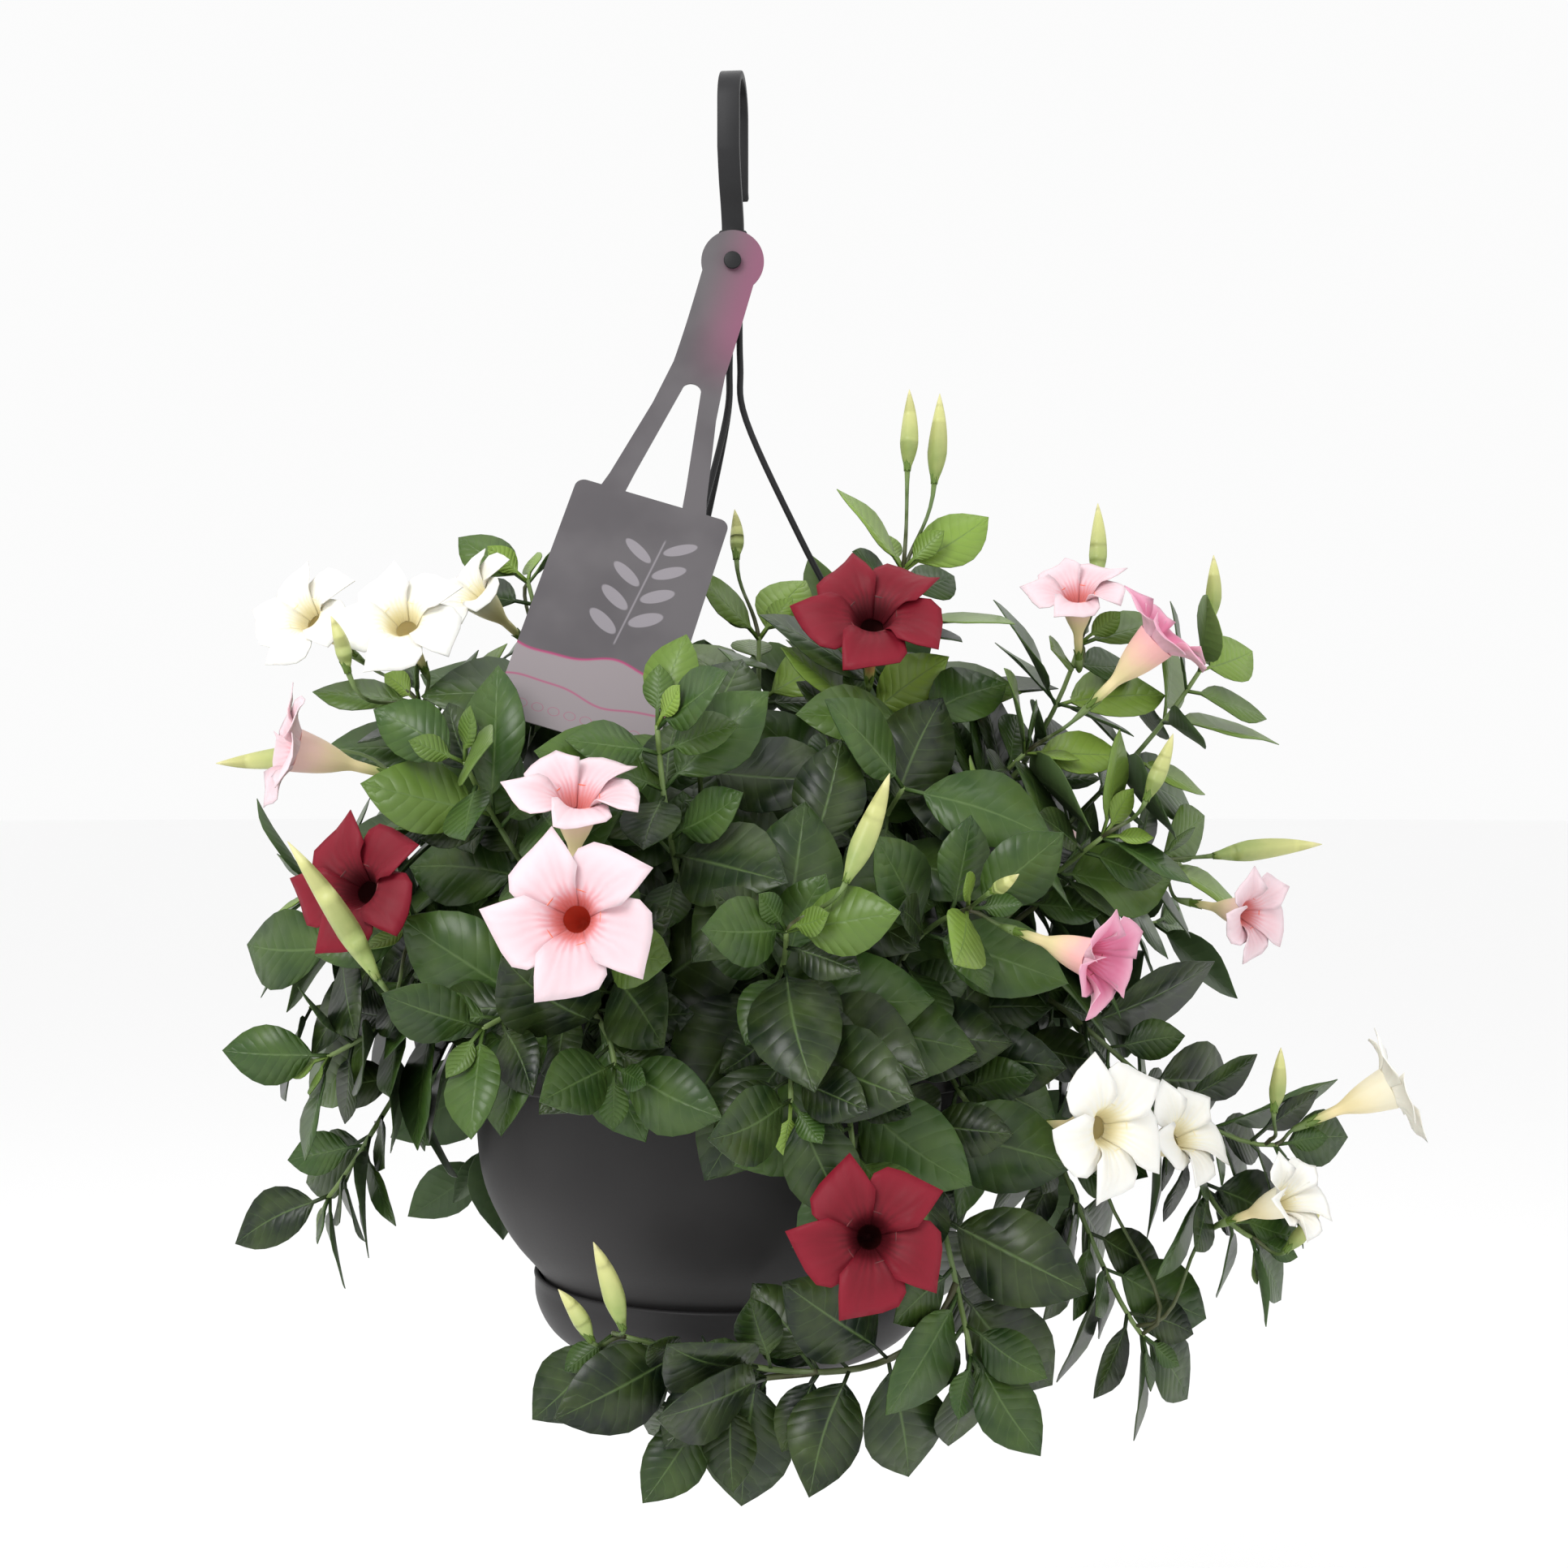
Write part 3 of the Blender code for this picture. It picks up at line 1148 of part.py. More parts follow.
    def grow_leaves(self):
        """Places opposite pairs of leaves down each stem, each pair at right angles to the last."""
        for shoot in SHOOTS:
            owner = self.owner[shoot.name]
            route = self.routes[shoot.name]
            self.leaves[shoot.name] = []
            back = FIRST_PAIR
            turn = self.random.uniform(0.0, math.pi)
            for pair in range(shoot.pairs):
                age = min(FULL_SIZE, YOUNG_SIZE + SIZE_RISE * pair)
                pitch = max(TIP_PITCH - PITCH_FALL * pair, 0.0)
                spot, run = route_spot(route, back)
                for half_turn in (0.0, math.pi):
                    jitter = self.random.uniform(-LEAF_JITTER, LEAF_JITTER)
                    size = shoot.size * age * self.random.uniform(0.92, 1.1)
                    leaf = self.try_leaf(spot, run, turn + half_turn + jitter, pitch, size, owner)
                    if leaf:
                        self.leaves[shoot.name].append(leaf)
                        self.clearance.add(owner + "_leaves", leaf_shell(leaf))
                turn += math.pi / 2
                back += self.random.uniform(*PAIR_SPACING) + PAIR_SPACING_RISE * pair


# Plant solids
def shell_mesh(shell, name):
    """Turns points and triangles in millimetres into a mesh."""
    points, faces = shell
    mesh = bpy.data.meshes.new(name)
    mesh.from_pydata([point * MM for point in points], [], faces)
    shape = bmesh.new()
    shape.from_mesh(mesh)
    bmesh.ops.recalc_face_normals(shape, faces=shape.faces)
    shape.to_mesh(mesh)
    shape.free()
    return mesh


def make_stems(plan, group):
    """Makes a solid for each rooted stem with its side shoots, leaves, buds and flower stalks."""
    foliage = new_material("leaf_green", (0.055, 0.13, 0.04), 0.35)
    for root in [shoot for shoot in SHOOTS if not shoot.parent]:
        family = [shoot for shoot in SHOOTS if plan.owner[shoot.name] == root.name]
        pieces = []
        for shoot in family:
            route = plan.routes[shoot.name]
            stem = tube_mesh(shoot.name + "_stem", route, plan.stem_radii(route), 0)
            pieces.append(place(shoot.name + "_stem", stem, group))
            for stalk, radii in plan.stalks[shoot.name]:
                mesh = tube_mesh(shoot.name + "_stalk", stalk, radii, 0)
                pieces.append(place(shoot.name + "_stalk", mesh, group))
            for leaf in plan.leaves[shoot.name]:
                mesh = shell_mesh(leaf_shell(leaf), shoot.name + "_leaf")
                pieces.append(place(shoot.name + "_leaf", mesh, group))
        fuse(root.name, pieces, group, foliage)


def make_blooms(group):
    """Makes a solid for each bloom in its colour."""
    finishes = {
        name: new_material(f"petal_{name}", colour, 0.6) for name, colour in PETAL_COLOURS.items()
    }
    for bloom in BLOOMS:
        mesh = shell_mesh(bloom_shell(bloom), bloom.name)
        place(bloom.name, mesh, group, finishes[bloom.colour])


def main():
    """Builds the basket."""
    clear_scene()
    basket = new_collection("mandevilla_hanging_basket")
    pot_cutters = new_collection("pot_cutters")
    soil_cutters = new_collection("soil_cutters")
    hanger_cutters = new_collection("hanger_cutters")
    plan = Plan()
    if plan.lost:
        raise ValueError(f"these cross something: {plan.lost}")
    make_pot(basket, pot_cutters)
    make_saucer(basket)
    make_soil(basket, soil_cutters, plan.roots)
    make_hook(basket)
    make_hanger(basket, hanger_cutters)
    make_tag(basket)
    make_stems(plan, basket)
    make_blooms(basket)


main()
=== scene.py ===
"""Looks of the mandevilla hanging basket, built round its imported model.

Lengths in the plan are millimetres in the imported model's frame: the origin is the inside top of
the hook, +Z is up, +X is to the right and -Y is the front. Finished meshes are in metres.
"""

import itertools
import json
import logging
import math
import random
from dataclasses import dataclass, field
from enum import Enum
from typing import Any, Callable, Iterable, Optional, Sequence, Union

import bmesh
import bpy
from mathutils import Matrix, Vector, noise
from mathutils.bvhtree import BVHTree
from mathutils.geometry import interpolate_bezier

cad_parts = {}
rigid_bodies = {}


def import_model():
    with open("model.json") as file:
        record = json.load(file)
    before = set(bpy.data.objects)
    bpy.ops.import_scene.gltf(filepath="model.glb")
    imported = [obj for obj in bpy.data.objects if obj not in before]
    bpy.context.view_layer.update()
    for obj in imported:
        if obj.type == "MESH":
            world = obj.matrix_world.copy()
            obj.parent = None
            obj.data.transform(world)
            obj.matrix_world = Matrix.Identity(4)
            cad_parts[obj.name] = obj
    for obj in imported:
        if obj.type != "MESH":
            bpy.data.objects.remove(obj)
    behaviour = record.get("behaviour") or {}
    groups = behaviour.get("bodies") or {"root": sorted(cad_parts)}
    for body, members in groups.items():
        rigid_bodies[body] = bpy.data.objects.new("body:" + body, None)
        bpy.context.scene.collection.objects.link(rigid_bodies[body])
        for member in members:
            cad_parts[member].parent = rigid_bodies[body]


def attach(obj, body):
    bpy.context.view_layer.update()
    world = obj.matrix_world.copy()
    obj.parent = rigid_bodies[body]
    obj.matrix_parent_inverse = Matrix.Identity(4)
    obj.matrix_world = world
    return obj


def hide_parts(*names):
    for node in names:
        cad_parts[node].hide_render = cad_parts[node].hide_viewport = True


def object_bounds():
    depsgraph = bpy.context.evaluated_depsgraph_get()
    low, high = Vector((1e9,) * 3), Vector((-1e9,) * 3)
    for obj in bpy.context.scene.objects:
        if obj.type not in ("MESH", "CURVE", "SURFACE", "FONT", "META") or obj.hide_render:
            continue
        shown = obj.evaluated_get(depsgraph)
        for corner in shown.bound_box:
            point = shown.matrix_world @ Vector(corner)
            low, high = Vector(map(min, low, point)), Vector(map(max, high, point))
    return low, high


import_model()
cad_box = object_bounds()

log = logging.getLogger("basket")

MM = 0.001
CM = 10.0
MAP = "growth_map"
SHARP = math.radians(40.0)
Colour = tuple[float, float, float]
Point = tuple[float, float, float]
Profile = list[tuple[float, float]]
Shell = tuple[list[Vector], list[tuple[int, ...]]]


def listed(*items: Any) -> Any:
    """Gives a dataclass field whose default is a list of some items."""
    return field(default_factory=lambda: list(items))


# Shader maths
def operators(operation: str) -> tuple[Callable, Callable]:
    """Makes a Python operator and its reflected form.

    Args:
        operation: The operation of the Math node that they add.

    Returns:
        The method for this and a value, and the one for a value and this.
    """

    def plain(self: "Sock", other: Any) -> "Sock":
        """Works on this and a value."""
        return self.maths(operation, self, other)

    def reflected(self: "Sock", other: Any) -> "Sock":
        """Works on a value and this."""
        return self.maths(operation, other, self)

    return plain, reflected


class Sock:
    """A shader socket, or its link, that takes part in Python expressions."""

    def __init__(self, graph: "Graph", link: bpy.types.NodeSocket) -> None:
        """Keeps an output socket with the graph that it belongs to."""
        self.graph = graph
        self.link = link

    def maths(self, operation: str, *numbers: Any) -> "Sock":
        """Adds a Math node.

        Args:
            operation: The node's operation.
            *numbers: Its values or sockets, in order.

        Returns:
            The node's result.
        """
        return self.graph.node("ShaderNodeMath", {"operation": operation}, dict(enumerate(numbers)))

    __add__, __radd__ = operators("ADD")
    __sub__, __rsub__ = operators("SUBTRACT")
    __mul__, __rmul__ = operators("MULTIPLY")
    __truediv__, __rtruediv__ = operators("DIVIDE")

    def __abs__(self) -> "Sock":
        """Drops this value's sign."""
        return self.maths("ABSOLUTE", self)

    def least(self, other: Any) -> "Sock":
        """Gives the smaller of this and a value."""
        return self.maths("MINIMUM", self, other)

    def most(self, other: Any) -> "Sock":
        """Gives the larger of this and a value."""
        return self.maths("MAXIMUM", self, other)

    def part(self) -> "Sock":
        """Gives the part of this behind the decimal point."""
        return self.maths("FRACT", self)

    def sine(self) -> "Sock":
        """Gives the sine of this."""
        return self.maths("SINE", self)

    def clip(self) -> "Sock":
        """Keeps this between 0 and 1."""
        return self.most(0.0).least(1.0)

    def step(self, low: float, high: float) -> "Sock":
        """Rises smoothly from 0 to 1 between two values.

        Args:
            low: Where it starts to rise.
            high: Where it is 1, which may be below the start.

        Returns:
            The smooth step.
        """
        settings = {"interpolation_type": "SMOOTHSTEP"}
        return self.graph.node("ShaderNodeMapRange", settings, {0: self, 1: low, 2: high})


class Graph:
    """One material and the nodes that make it."""

    def __init__(self, name: str) -> None:
        """Starts a material with a Principled shader.

        Args:
            name: The material's name.
        """
        self.material = bpy.data.materials.new(name)
        self.material.use_nodes = True
        self.tree = self.material.node_tree
        self.shader = self.tree.nodes["Principled BSDF"]

    def node(self, kind: str, settings: Optional[dict] = None,
             values: Optional[dict] = None, result: Union[int, str] = 0) -> Sock:
        """Adds any node.

        Args:
            kind: The node's type.
            settings: Its settings by name.
            values: The values or links of its sockets, by name or number.
            result: Which of its outputs is used.

        Returns:
            The chosen output.
        """
        made = self.tree.nodes.new(kind)
        for name, setting in (settings or {}).items():
            setattr(made, name, setting)
        for name, value in (values or {}).items():
            self.feed(made.inputs[name], value)
        return Sock(self, made.outputs[result])

    def feed(self, socket: bpy.types.NodeSocket, value: Any) -> None:
        """Links a socket, or sets its value.

        Args:
            socket: The input socket.
            value: A Sock, a number, or a colour or vector.
        """
        if isinstance(value, Sock):
            self.tree.links.new(value.link, socket)
        elif isinstance(value, tuple) and socket.type == "RGBA":
            socket.default_value = (*value[:3], 1.0)
        else:
            socket.default_value = value

    def blend(self, share: Any, low: Any, high: Any) -> Sock:
        """Mixes two colours.

        Args:
            share: How much of the second one is taken.
            low: The first colour.
            high: The second colour.

        Returns:
            The mixed colour.
        """
        return self.node("ShaderNodeMix", {"data_type": "RGBA"}, {0: share, 6: low, 7: high}, 2)

    def place(self) -> Sock:
        """Gives the object's own coordinates, in metres."""
        return self.node("ShaderNodeTexCoord", result="Object")

    def grain(self, scale: float, detail: float = 2.0) -> Sock:
        """Gives noise from 0 to 1, of a scale per metre and a number of octaves."""
        values = {"Vector": self.place(), "Scale": scale, "Detail": detail}
        return self.node("ShaderNodeTexNoise", None, values)

    def growth(self) -> tuple[Sock, Sock, Sock, Sock]:
        """Gives the piece's own map.

        Returns:
            Across, along, tone, and how far it is on the underside.
        """
        colour = self.node("ShaderNodeAttribute", {"attribute_name": MAP}, None, "Color")
        under = Sock(self, colour.link.node.outputs["Alpha"])
        split = self.node("ShaderNodeSeparateColor", None, {"Color": colour})
        outputs = split.link.node.outputs
        return split, Sock(self, outputs[1]), Sock(self, outputs[2]), under

    def bump(self, height: Sock, distance: float, strength: float) -> Sock:
        """Turns a height into a normal.

        Args:
            height: The height, from 0 to 1.
            distance: How high 1 is, in metres.
            strength: How much of the bump is taken.

        Returns:
            The normal.
        """
        values = {"Height": height, "Distance": distance, "Strength": strength}
        return self.node("ShaderNodeBump", None, values, "Normal")

    def dress(self, glow: Sequence[Any] = (), **sockets: Any) -> bpy.types.Material:
        """Feeds the shader's sockets and gives the material.

        Args:
            glow: How much light sinks in, how deep in each colour, and the scale of that.
            **sockets: The sockets' values, with _ for a space in their names.

        Returns:
            The material.
        """
        sockets.update(zip(("Subsurface_Weight", "Subsurface_Radius", "Subsurface_Scale"), glow))
        for name, value in sockets.items():
            self.feed(self.shader.inputs[name.replace("_", " ")], value)
        return self.material


# Finishes
@dataclass(frozen=True)
class MouldedPlastic:
    """Moulded plastic with a fine grain and faint dust."""

    name: str
    colour: Colour
    worn: Colour
    roughness: float
    grain: float = 900.0

    def make(self) -> bpy.types.Material:
        """Makes the material.

        Returns:
            The material.
        """
        graph = Graph(self.name)
        dust = graph.grain(9.0, 4.0).step(0.42, 0.75)
        fine = graph.grain(self.grain, 3.0)
        flow = graph.grain(60.0, 3.0)
        colour = graph.blend(dust * 0.55, self.colour, self.worn)
        return graph.dress(
            Base_Color=colour,
            Roughness=self.roughness + dust * 0.14 + fine * 0.08,
            Normal=graph.bump(fine * 0.7 + flow * 0.3, 0.00012, 0.5),
            Specular_IOR_Level=0.22,
        )


@dataclass(frozen=True)
class LeafFinish:
    """A glossy leaf: a pale midrib, curved side veins between raised fields, a dull underside, and
    painted shade in its tone.
    """

    name: str = "mandevilla_leaf"
    # Darkest tone: old leaves, and painted shade on leaves low in the mound and deep inside it
    old: Colour = (0.005, 0.012, 0.005)
    middle: Colour = (0.032, 0.074, 0.014)
    # Lightest tone: young leaves, and painted light on leaves high in the mound
    young_and_lit: Colour = (0.205, 0.320, 0.050)
    rib: Colour = (0.110, 0.180, 0.055)
    under: Colour = (0.060, 0.100, 0.040)

    def make(self) -> bpy.types.Material:
        """Makes the material.

        Returns:
            The material.
        """
        graph = Graph(self.name)
        across, along, tone, under = graph.growth()
        side = abs(across - 0.5) * 2.0
        midrib = (1.0 - side * (11.0 + along * 22.0)).clip()
        waves = ((along * 8.5 - side * 1.7 + graph.grain(40.0) * 0.35).part() - 0.5) * 2.0
        gap = abs(waves)
        vein = gap.step(0.84, 1.0) * (1.0 - side * 0.6)
        netting = graph.grain(420.0, 3.0)
        blotch = graph.grain(55.0, 3.0)
        # The tone gives leaf age together with painted shade: low and inner leaves darker, high leaves
        # lighter
        green = graph.blend(tone.step(0.0, 0.5), self.old, self.middle)
        green = graph.blend(tone.step(0.5, 1.0), green, self.young_and_lit)
        green = graph.blend((blotch - 0.35).clip() * 0.9, green, graph.blend(0.5, green, self.young_and_lit))
        lines = (midrib * 0.65).most(vein * 0.16)
        green = graph.blend(lines, green, self.rib)
        green = graph.blend(under * 0.72, green, self.under)
        quilt = (1.0 - gap * gap) * (1.0 - midrib) + netting * 0.22
        height = quilt - under * quilt * 1.6
        return graph.dress(
            Base_Color=green,
            Roughness=0.31 + under * 0.25 + blotch * 0.12,
            Normal=graph.bump(height, 0.0005, 0.5),
            Coat_Weight=(1.0 - under) * 0.1,
            Coat_Roughness=0.2,
            Specular_IOR_Level=0.3,
            glow=(0.06, (0.3, 0.6, 0.15), 0.003),
        )


@dataclass(frozen=True)
class ShootFinish:
    """The skin of stems, stalks and buds, from green to the bud's cream yellow."""

    name: str
    low: Colour
    high: Colour
    tip: Colour
    roughness: float = 0.45

    def make(self) -> bpy.types.Material:
        """Makes the material.

        Returns:
            The material.
        """
        graph = Graph(self.name)
        across, along, tone, _ = graph.growth()
        streak = graph.grain(160.0, 3.0)
        skin = graph.blend(along.step(0.05, 0.9), self.low, self.high)
        skin = graph.blend(along.step(0.8, 1.0) * 0.6, skin, self.tip)
        skin = graph.blend((streak - 0.4).clip() * 0.8 + tone * 0.2, skin, self.high)
        return graph.dress(
            Base_Color=skin,
            Roughness=self.roughness + streak * 0.12,
            Normal=graph.bump(across * 0.6 + streak * 0.4, 0.0002, 0.6),
            glow=(0.05, (0.5, 0.5, 0.2), 0.002),
        )


@dataclass(frozen=True)
class PetalFinish:
    """One colour of bloom, from its petals' edges over the throat to the back."""

    name: str
    petal: Colour
    edge: Colour
    heart: Colour
    throat: Colour
    back: Colour
    roughness: float = 0.5

    def make(self) -> bpy.types.Material:
        """Makes the material.

        Returns:
            The material.
        """
        graph = Graph(self.name)
        across, along, tone, under = graph.growth()
        fibre = graph.grain(90.0, 4.0)
        rays = ((across * 35.0 + fibre * 1.2) * math.tau).sine() * 0.5 + 0.5
        folds = ((across * 15.0 + fibre * 0.8) * math.tau).sine() * 0.5 + 0.5
        face = graph.blend(along.step(0.5, 1.0), self.petal, self.edge)
        face = graph.blend((along - rays * 0.10).step(0.34, 0.14), face, self.heart)
        face = graph.blend((along - rays * 0.06).step(0.22, 0.06), face, self.throat)
        face = graph.blend(rays * along.step(0.95, 0.3) * 0.25, face, self.heart)
        face = graph.blend(fibre.step(0.45, 0.8) * 0.3, face, self.edge)
        face = graph.blend(under * 0.85, face, self.back)
        face = graph.blend(tone * 0.25, face, self.edge)
        height = rays * 0.35 + folds * 0.45 + fibre * 0.4
        return graph.dress(
            Base_Color=face,
            Roughness=self.roughness + fibre * 0.15,
            Normal=graph.bump(height, 0.0005, 0.55),
            Specular_IOR_Level=0.25,
            glow=(0.12, (0.7, 0.45, 0.4), 0.003),
        )


@dataclass(frozen=True)
class TubeFinish:
    """The outside of a bloom's tube, from its green foot over cream to the petals' colour."""

    name: str
    foot: Colour
    middle: Colour
    mouth: Colour
    throat: Colour

    def make(self) -> bpy.types.Material:
        """Makes the material.

        Returns:
            The material.
        """
        graph = Graph(self.name)
        across, along, _, inside = graph.growth()
        fibre = graph.grain(120.0, 3.0)
        skin = graph.blend(along.step(0.0, 0.35), self.foot, self.middle)
        skin = graph.blend((along + fibre * 0.25).step(0.55, 1.15), skin, self.mouth)
        skin = graph.blend(inside, skin, self.throat)
        return graph.dress(
            Base_Color=skin,
            Roughness=0.45 + fibre * 0.15,
            Normal=graph.bump(across * 0.7 + fibre * 0.3, 0.0005, 0.6),
            glow=(0.1, (0.7, 0.5, 0.3), 0.003),
        )


@dataclass(frozen=True)
class PeatFinish:
    """Moist peat: dark crumbs with lighter fibres."""

    name: str
    dark: Colour
    light: Colour
    scale: float = 260.0

    def make(self) -> bpy.types.Material:
        """Makes the material.

        Returns:
            The material.
        """
        graph = Graph(self.name)
        crumbs = graph.node(
            "ShaderNodeTexVoronoi", {"feature": "F1"}, {"Vector": graph.place(), "Scale": self.scale}
        )
        fibre = graph.grain(self.scale * 1.7, 4.0)
        colour = graph.blend((fibre.step(0.4, 0.8) * 0.7 + crumbs * 0.3), self.dark, self.light)
        return graph.dress(
            Base_Color=colour,
            Roughness=0.86 + fibre * 0.12,
            Normal=graph.bump(crumbs * 0.6 + fibre * 0.6, 0.0012, 0.9),
            Specular_IOR_Level=0.25,
        )


@dataclass(frozen=True)
class CardFinish:
    """A glossy printed card: a plain field with a leafy sprig, over a paler band with waved lines.

    Its places are centimetres across the card and up from the middle of its head.
    """

    name: str = "printed_tag_card"
    field: Colour = (0.098, 0.090, 0.096)
    deep: Colour = (0.070, 0.063, 0.069)
    band: Colour = (0.235, 0.205, 0.215)
    line: Colour = (0.330, 0.025, 0.120)
    neck: Colour = (0.240, 0.060, 0.130)
    sprig: Colour = (0.340, 0.315, 0.345)
    width: float = 10.0
    height: float = 30.0
    sprig_middle: tuple[float, float] = (0.9, -19.5)
    sprig_foot: float = -23.2
    sprig_top: float = -16.6
    sprig_lean: float = 0.12
    leaf_rows: int = 4
    leaf_start: float = -22.2
    leaf_step: float = 1.45
    leaf_out: float = 0.95
    leaf_lean: float = 32.0
    leaf_span: tuple[float, float] = (0.80, 0.13)
    band_top: float = -24.3
    band_line: float = -26.3
    bead_line: float = -27.5
    bead_size: float = 0.075
    neck_span: tuple[float, float] = (-8.0, -3.0)

    def sprig_mask(self, graph: Graph, across: Sock, up: Sock) -> Sock:
        """Draws a sprig of plain leaves on a stalk.

        Args:
            graph: The material's graph.
            across: The place across the card.
            up: The place up the card.

        Returns:
            1 on the sprig and 0 beside it.
        """
        middle, level = self.sprig_middle
        stalk = 1.0 - (abs(across - middle - (up - level) * self.sprig_lean) * 14.0).clip()
        mask = stalk * up.step(self.sprig_foot, self.sprig_foot + 0.2)
        mask = mask * up.step(self.sprig_top, self.sprig_top - 0.3)
        for row, way in itertools.product(range(self.leaf_rows), (-1.0, 1.0)):
            height = self.leaf_start + row * self.leaf_step + 0.35 * way
            side = across - (middle + (height - level) * self.sprig_lean + way * self.leaf_out)
            over = up - height - 0.5
            lean = math.radians(self.leaf_lean) * way
            right = side * math.cos(lean) + over * math.sin(lean)
            rise = over * math.cos(lean) - side * math.sin(lean)
            reach = right * right / self.leaf_span[0] + rise * rise / (self.leaf_span[1] - 0.015 * row)
            mask = mask.most(reach.step(1.1, 0.85))
        return mask

    def make(self) -> bpy.types.Material:
        """Makes the material.

        Returns:
            The material.
        """
        graph = Graph(self.name)
        across_map, up_map, _, _ = graph.growth()
        across, up = (across_map - 0.5) * self.width, up_map * -self.height
        speck = graph.grain(500.0, 2.0)
        cloud = graph.grain(22.0, 3.0)
        face = graph.blend(cloud.step(0.35, 0.7), self.field, self.deep)
        face = graph.blend(self.sprig_mask(graph, across, up) * 0.55, face, self.sprig)
        wave = (across * 0.9 + 0.6).sine() * 0.32 + (across * 2.1).sine() * 0.08
        level = up - wave - self.band_top
        face = graph.blend(level.step(0.03, -0.03), face, self.band)
        face = graph.blend((1.0 - abs(level) * 9.0).clip(), face, self.line)
        lower = up + wave * 0.8 - self.band_line
        face = graph.blend((1.0 - abs(lower) * 11.0).clip() * 0.8, face, self.line)
        beads, over = ((across * 1.25).part() - 0.5) * 0.8, up - self.bead_line
        rings = abs(beads * beads + over * over * 1.6 - self.bead_size)
        face = graph.blend((1.0 - rings * 60.0).clip() * 0.7, face, self.line)
        tint = up.step(*self.neck_span) * across.step(-1.4, 1.6)
        face = graph.blend(tint * 0.75, face, self.neck)
        return graph.dress(
            Base_Color=face,
            Roughness=0.26 + cloud * 0.1,
            Normal=graph.bump(speck * 0.5 + cloud * 0.5, 0.00006, 0.4),
            Coat_Weight=0.12,
            Coat_Roughness=0.15,
        )


@dataclass(frozen=True)
class StudioFinish:
    """The plain pale floor."""

    name: str = "studio_floor"
    colour: Colour = (0.97, 0.97, 0.97)

    def make(self) -> bpy.types.Material:
        """Makes the material."""
        graph = Graph(self.name)
        return graph.dress(Base_Color=self.colour, Roughness=0.9, Specular_IOR_Level=0.1)


# Plan of the plants
class PetalColour(Enum):
    """The colours that the blooms come in."""

    WHITE = "white"
    BLUSH = "blush"
    PINK = "pink"
    RED = "red"


@dataclass(frozen=True)
class Shoot:
    """One leafy stem, by its tip, its heading and the ring in the soil where it is rooted."""

    name: str
    tip: Point
    heading: Point
    ring: float
    pairs: int
    size: float = 1.0
    rise: float = 0.4
    parent: str = ""
    at: float = 0.6
    turn: float = 0.0


@dataclass(frozen=True)
class Bloom:
    """One trumpet bloom, placed by the centre of its mouth."""

    name: str
    shoot: str
    mouth: Point
    facing: Point
    size: float = 1.0
    opening: float = 1.0

    @property
    def colour(self) -> PetalColour:
        """Gives its colour, which is the second word of its name."""
        return PetalColour(self.name.split("_")[1])


@dataclass(frozen=True)
class Bud:
    """One spindle-shaped bud on its stalk, from its base to its tip."""

    shoot: str
    base: Point
    tip: Point


@dataclass
class Leaf:
    """One blade on its stalk: where it starts, which way it runs and which way it faces."""

    start: Vector
    along: Vector
    normal: Vector
    length: float
    half_width: float
    petiole: float
    arch: float
    tone: float = 0.4


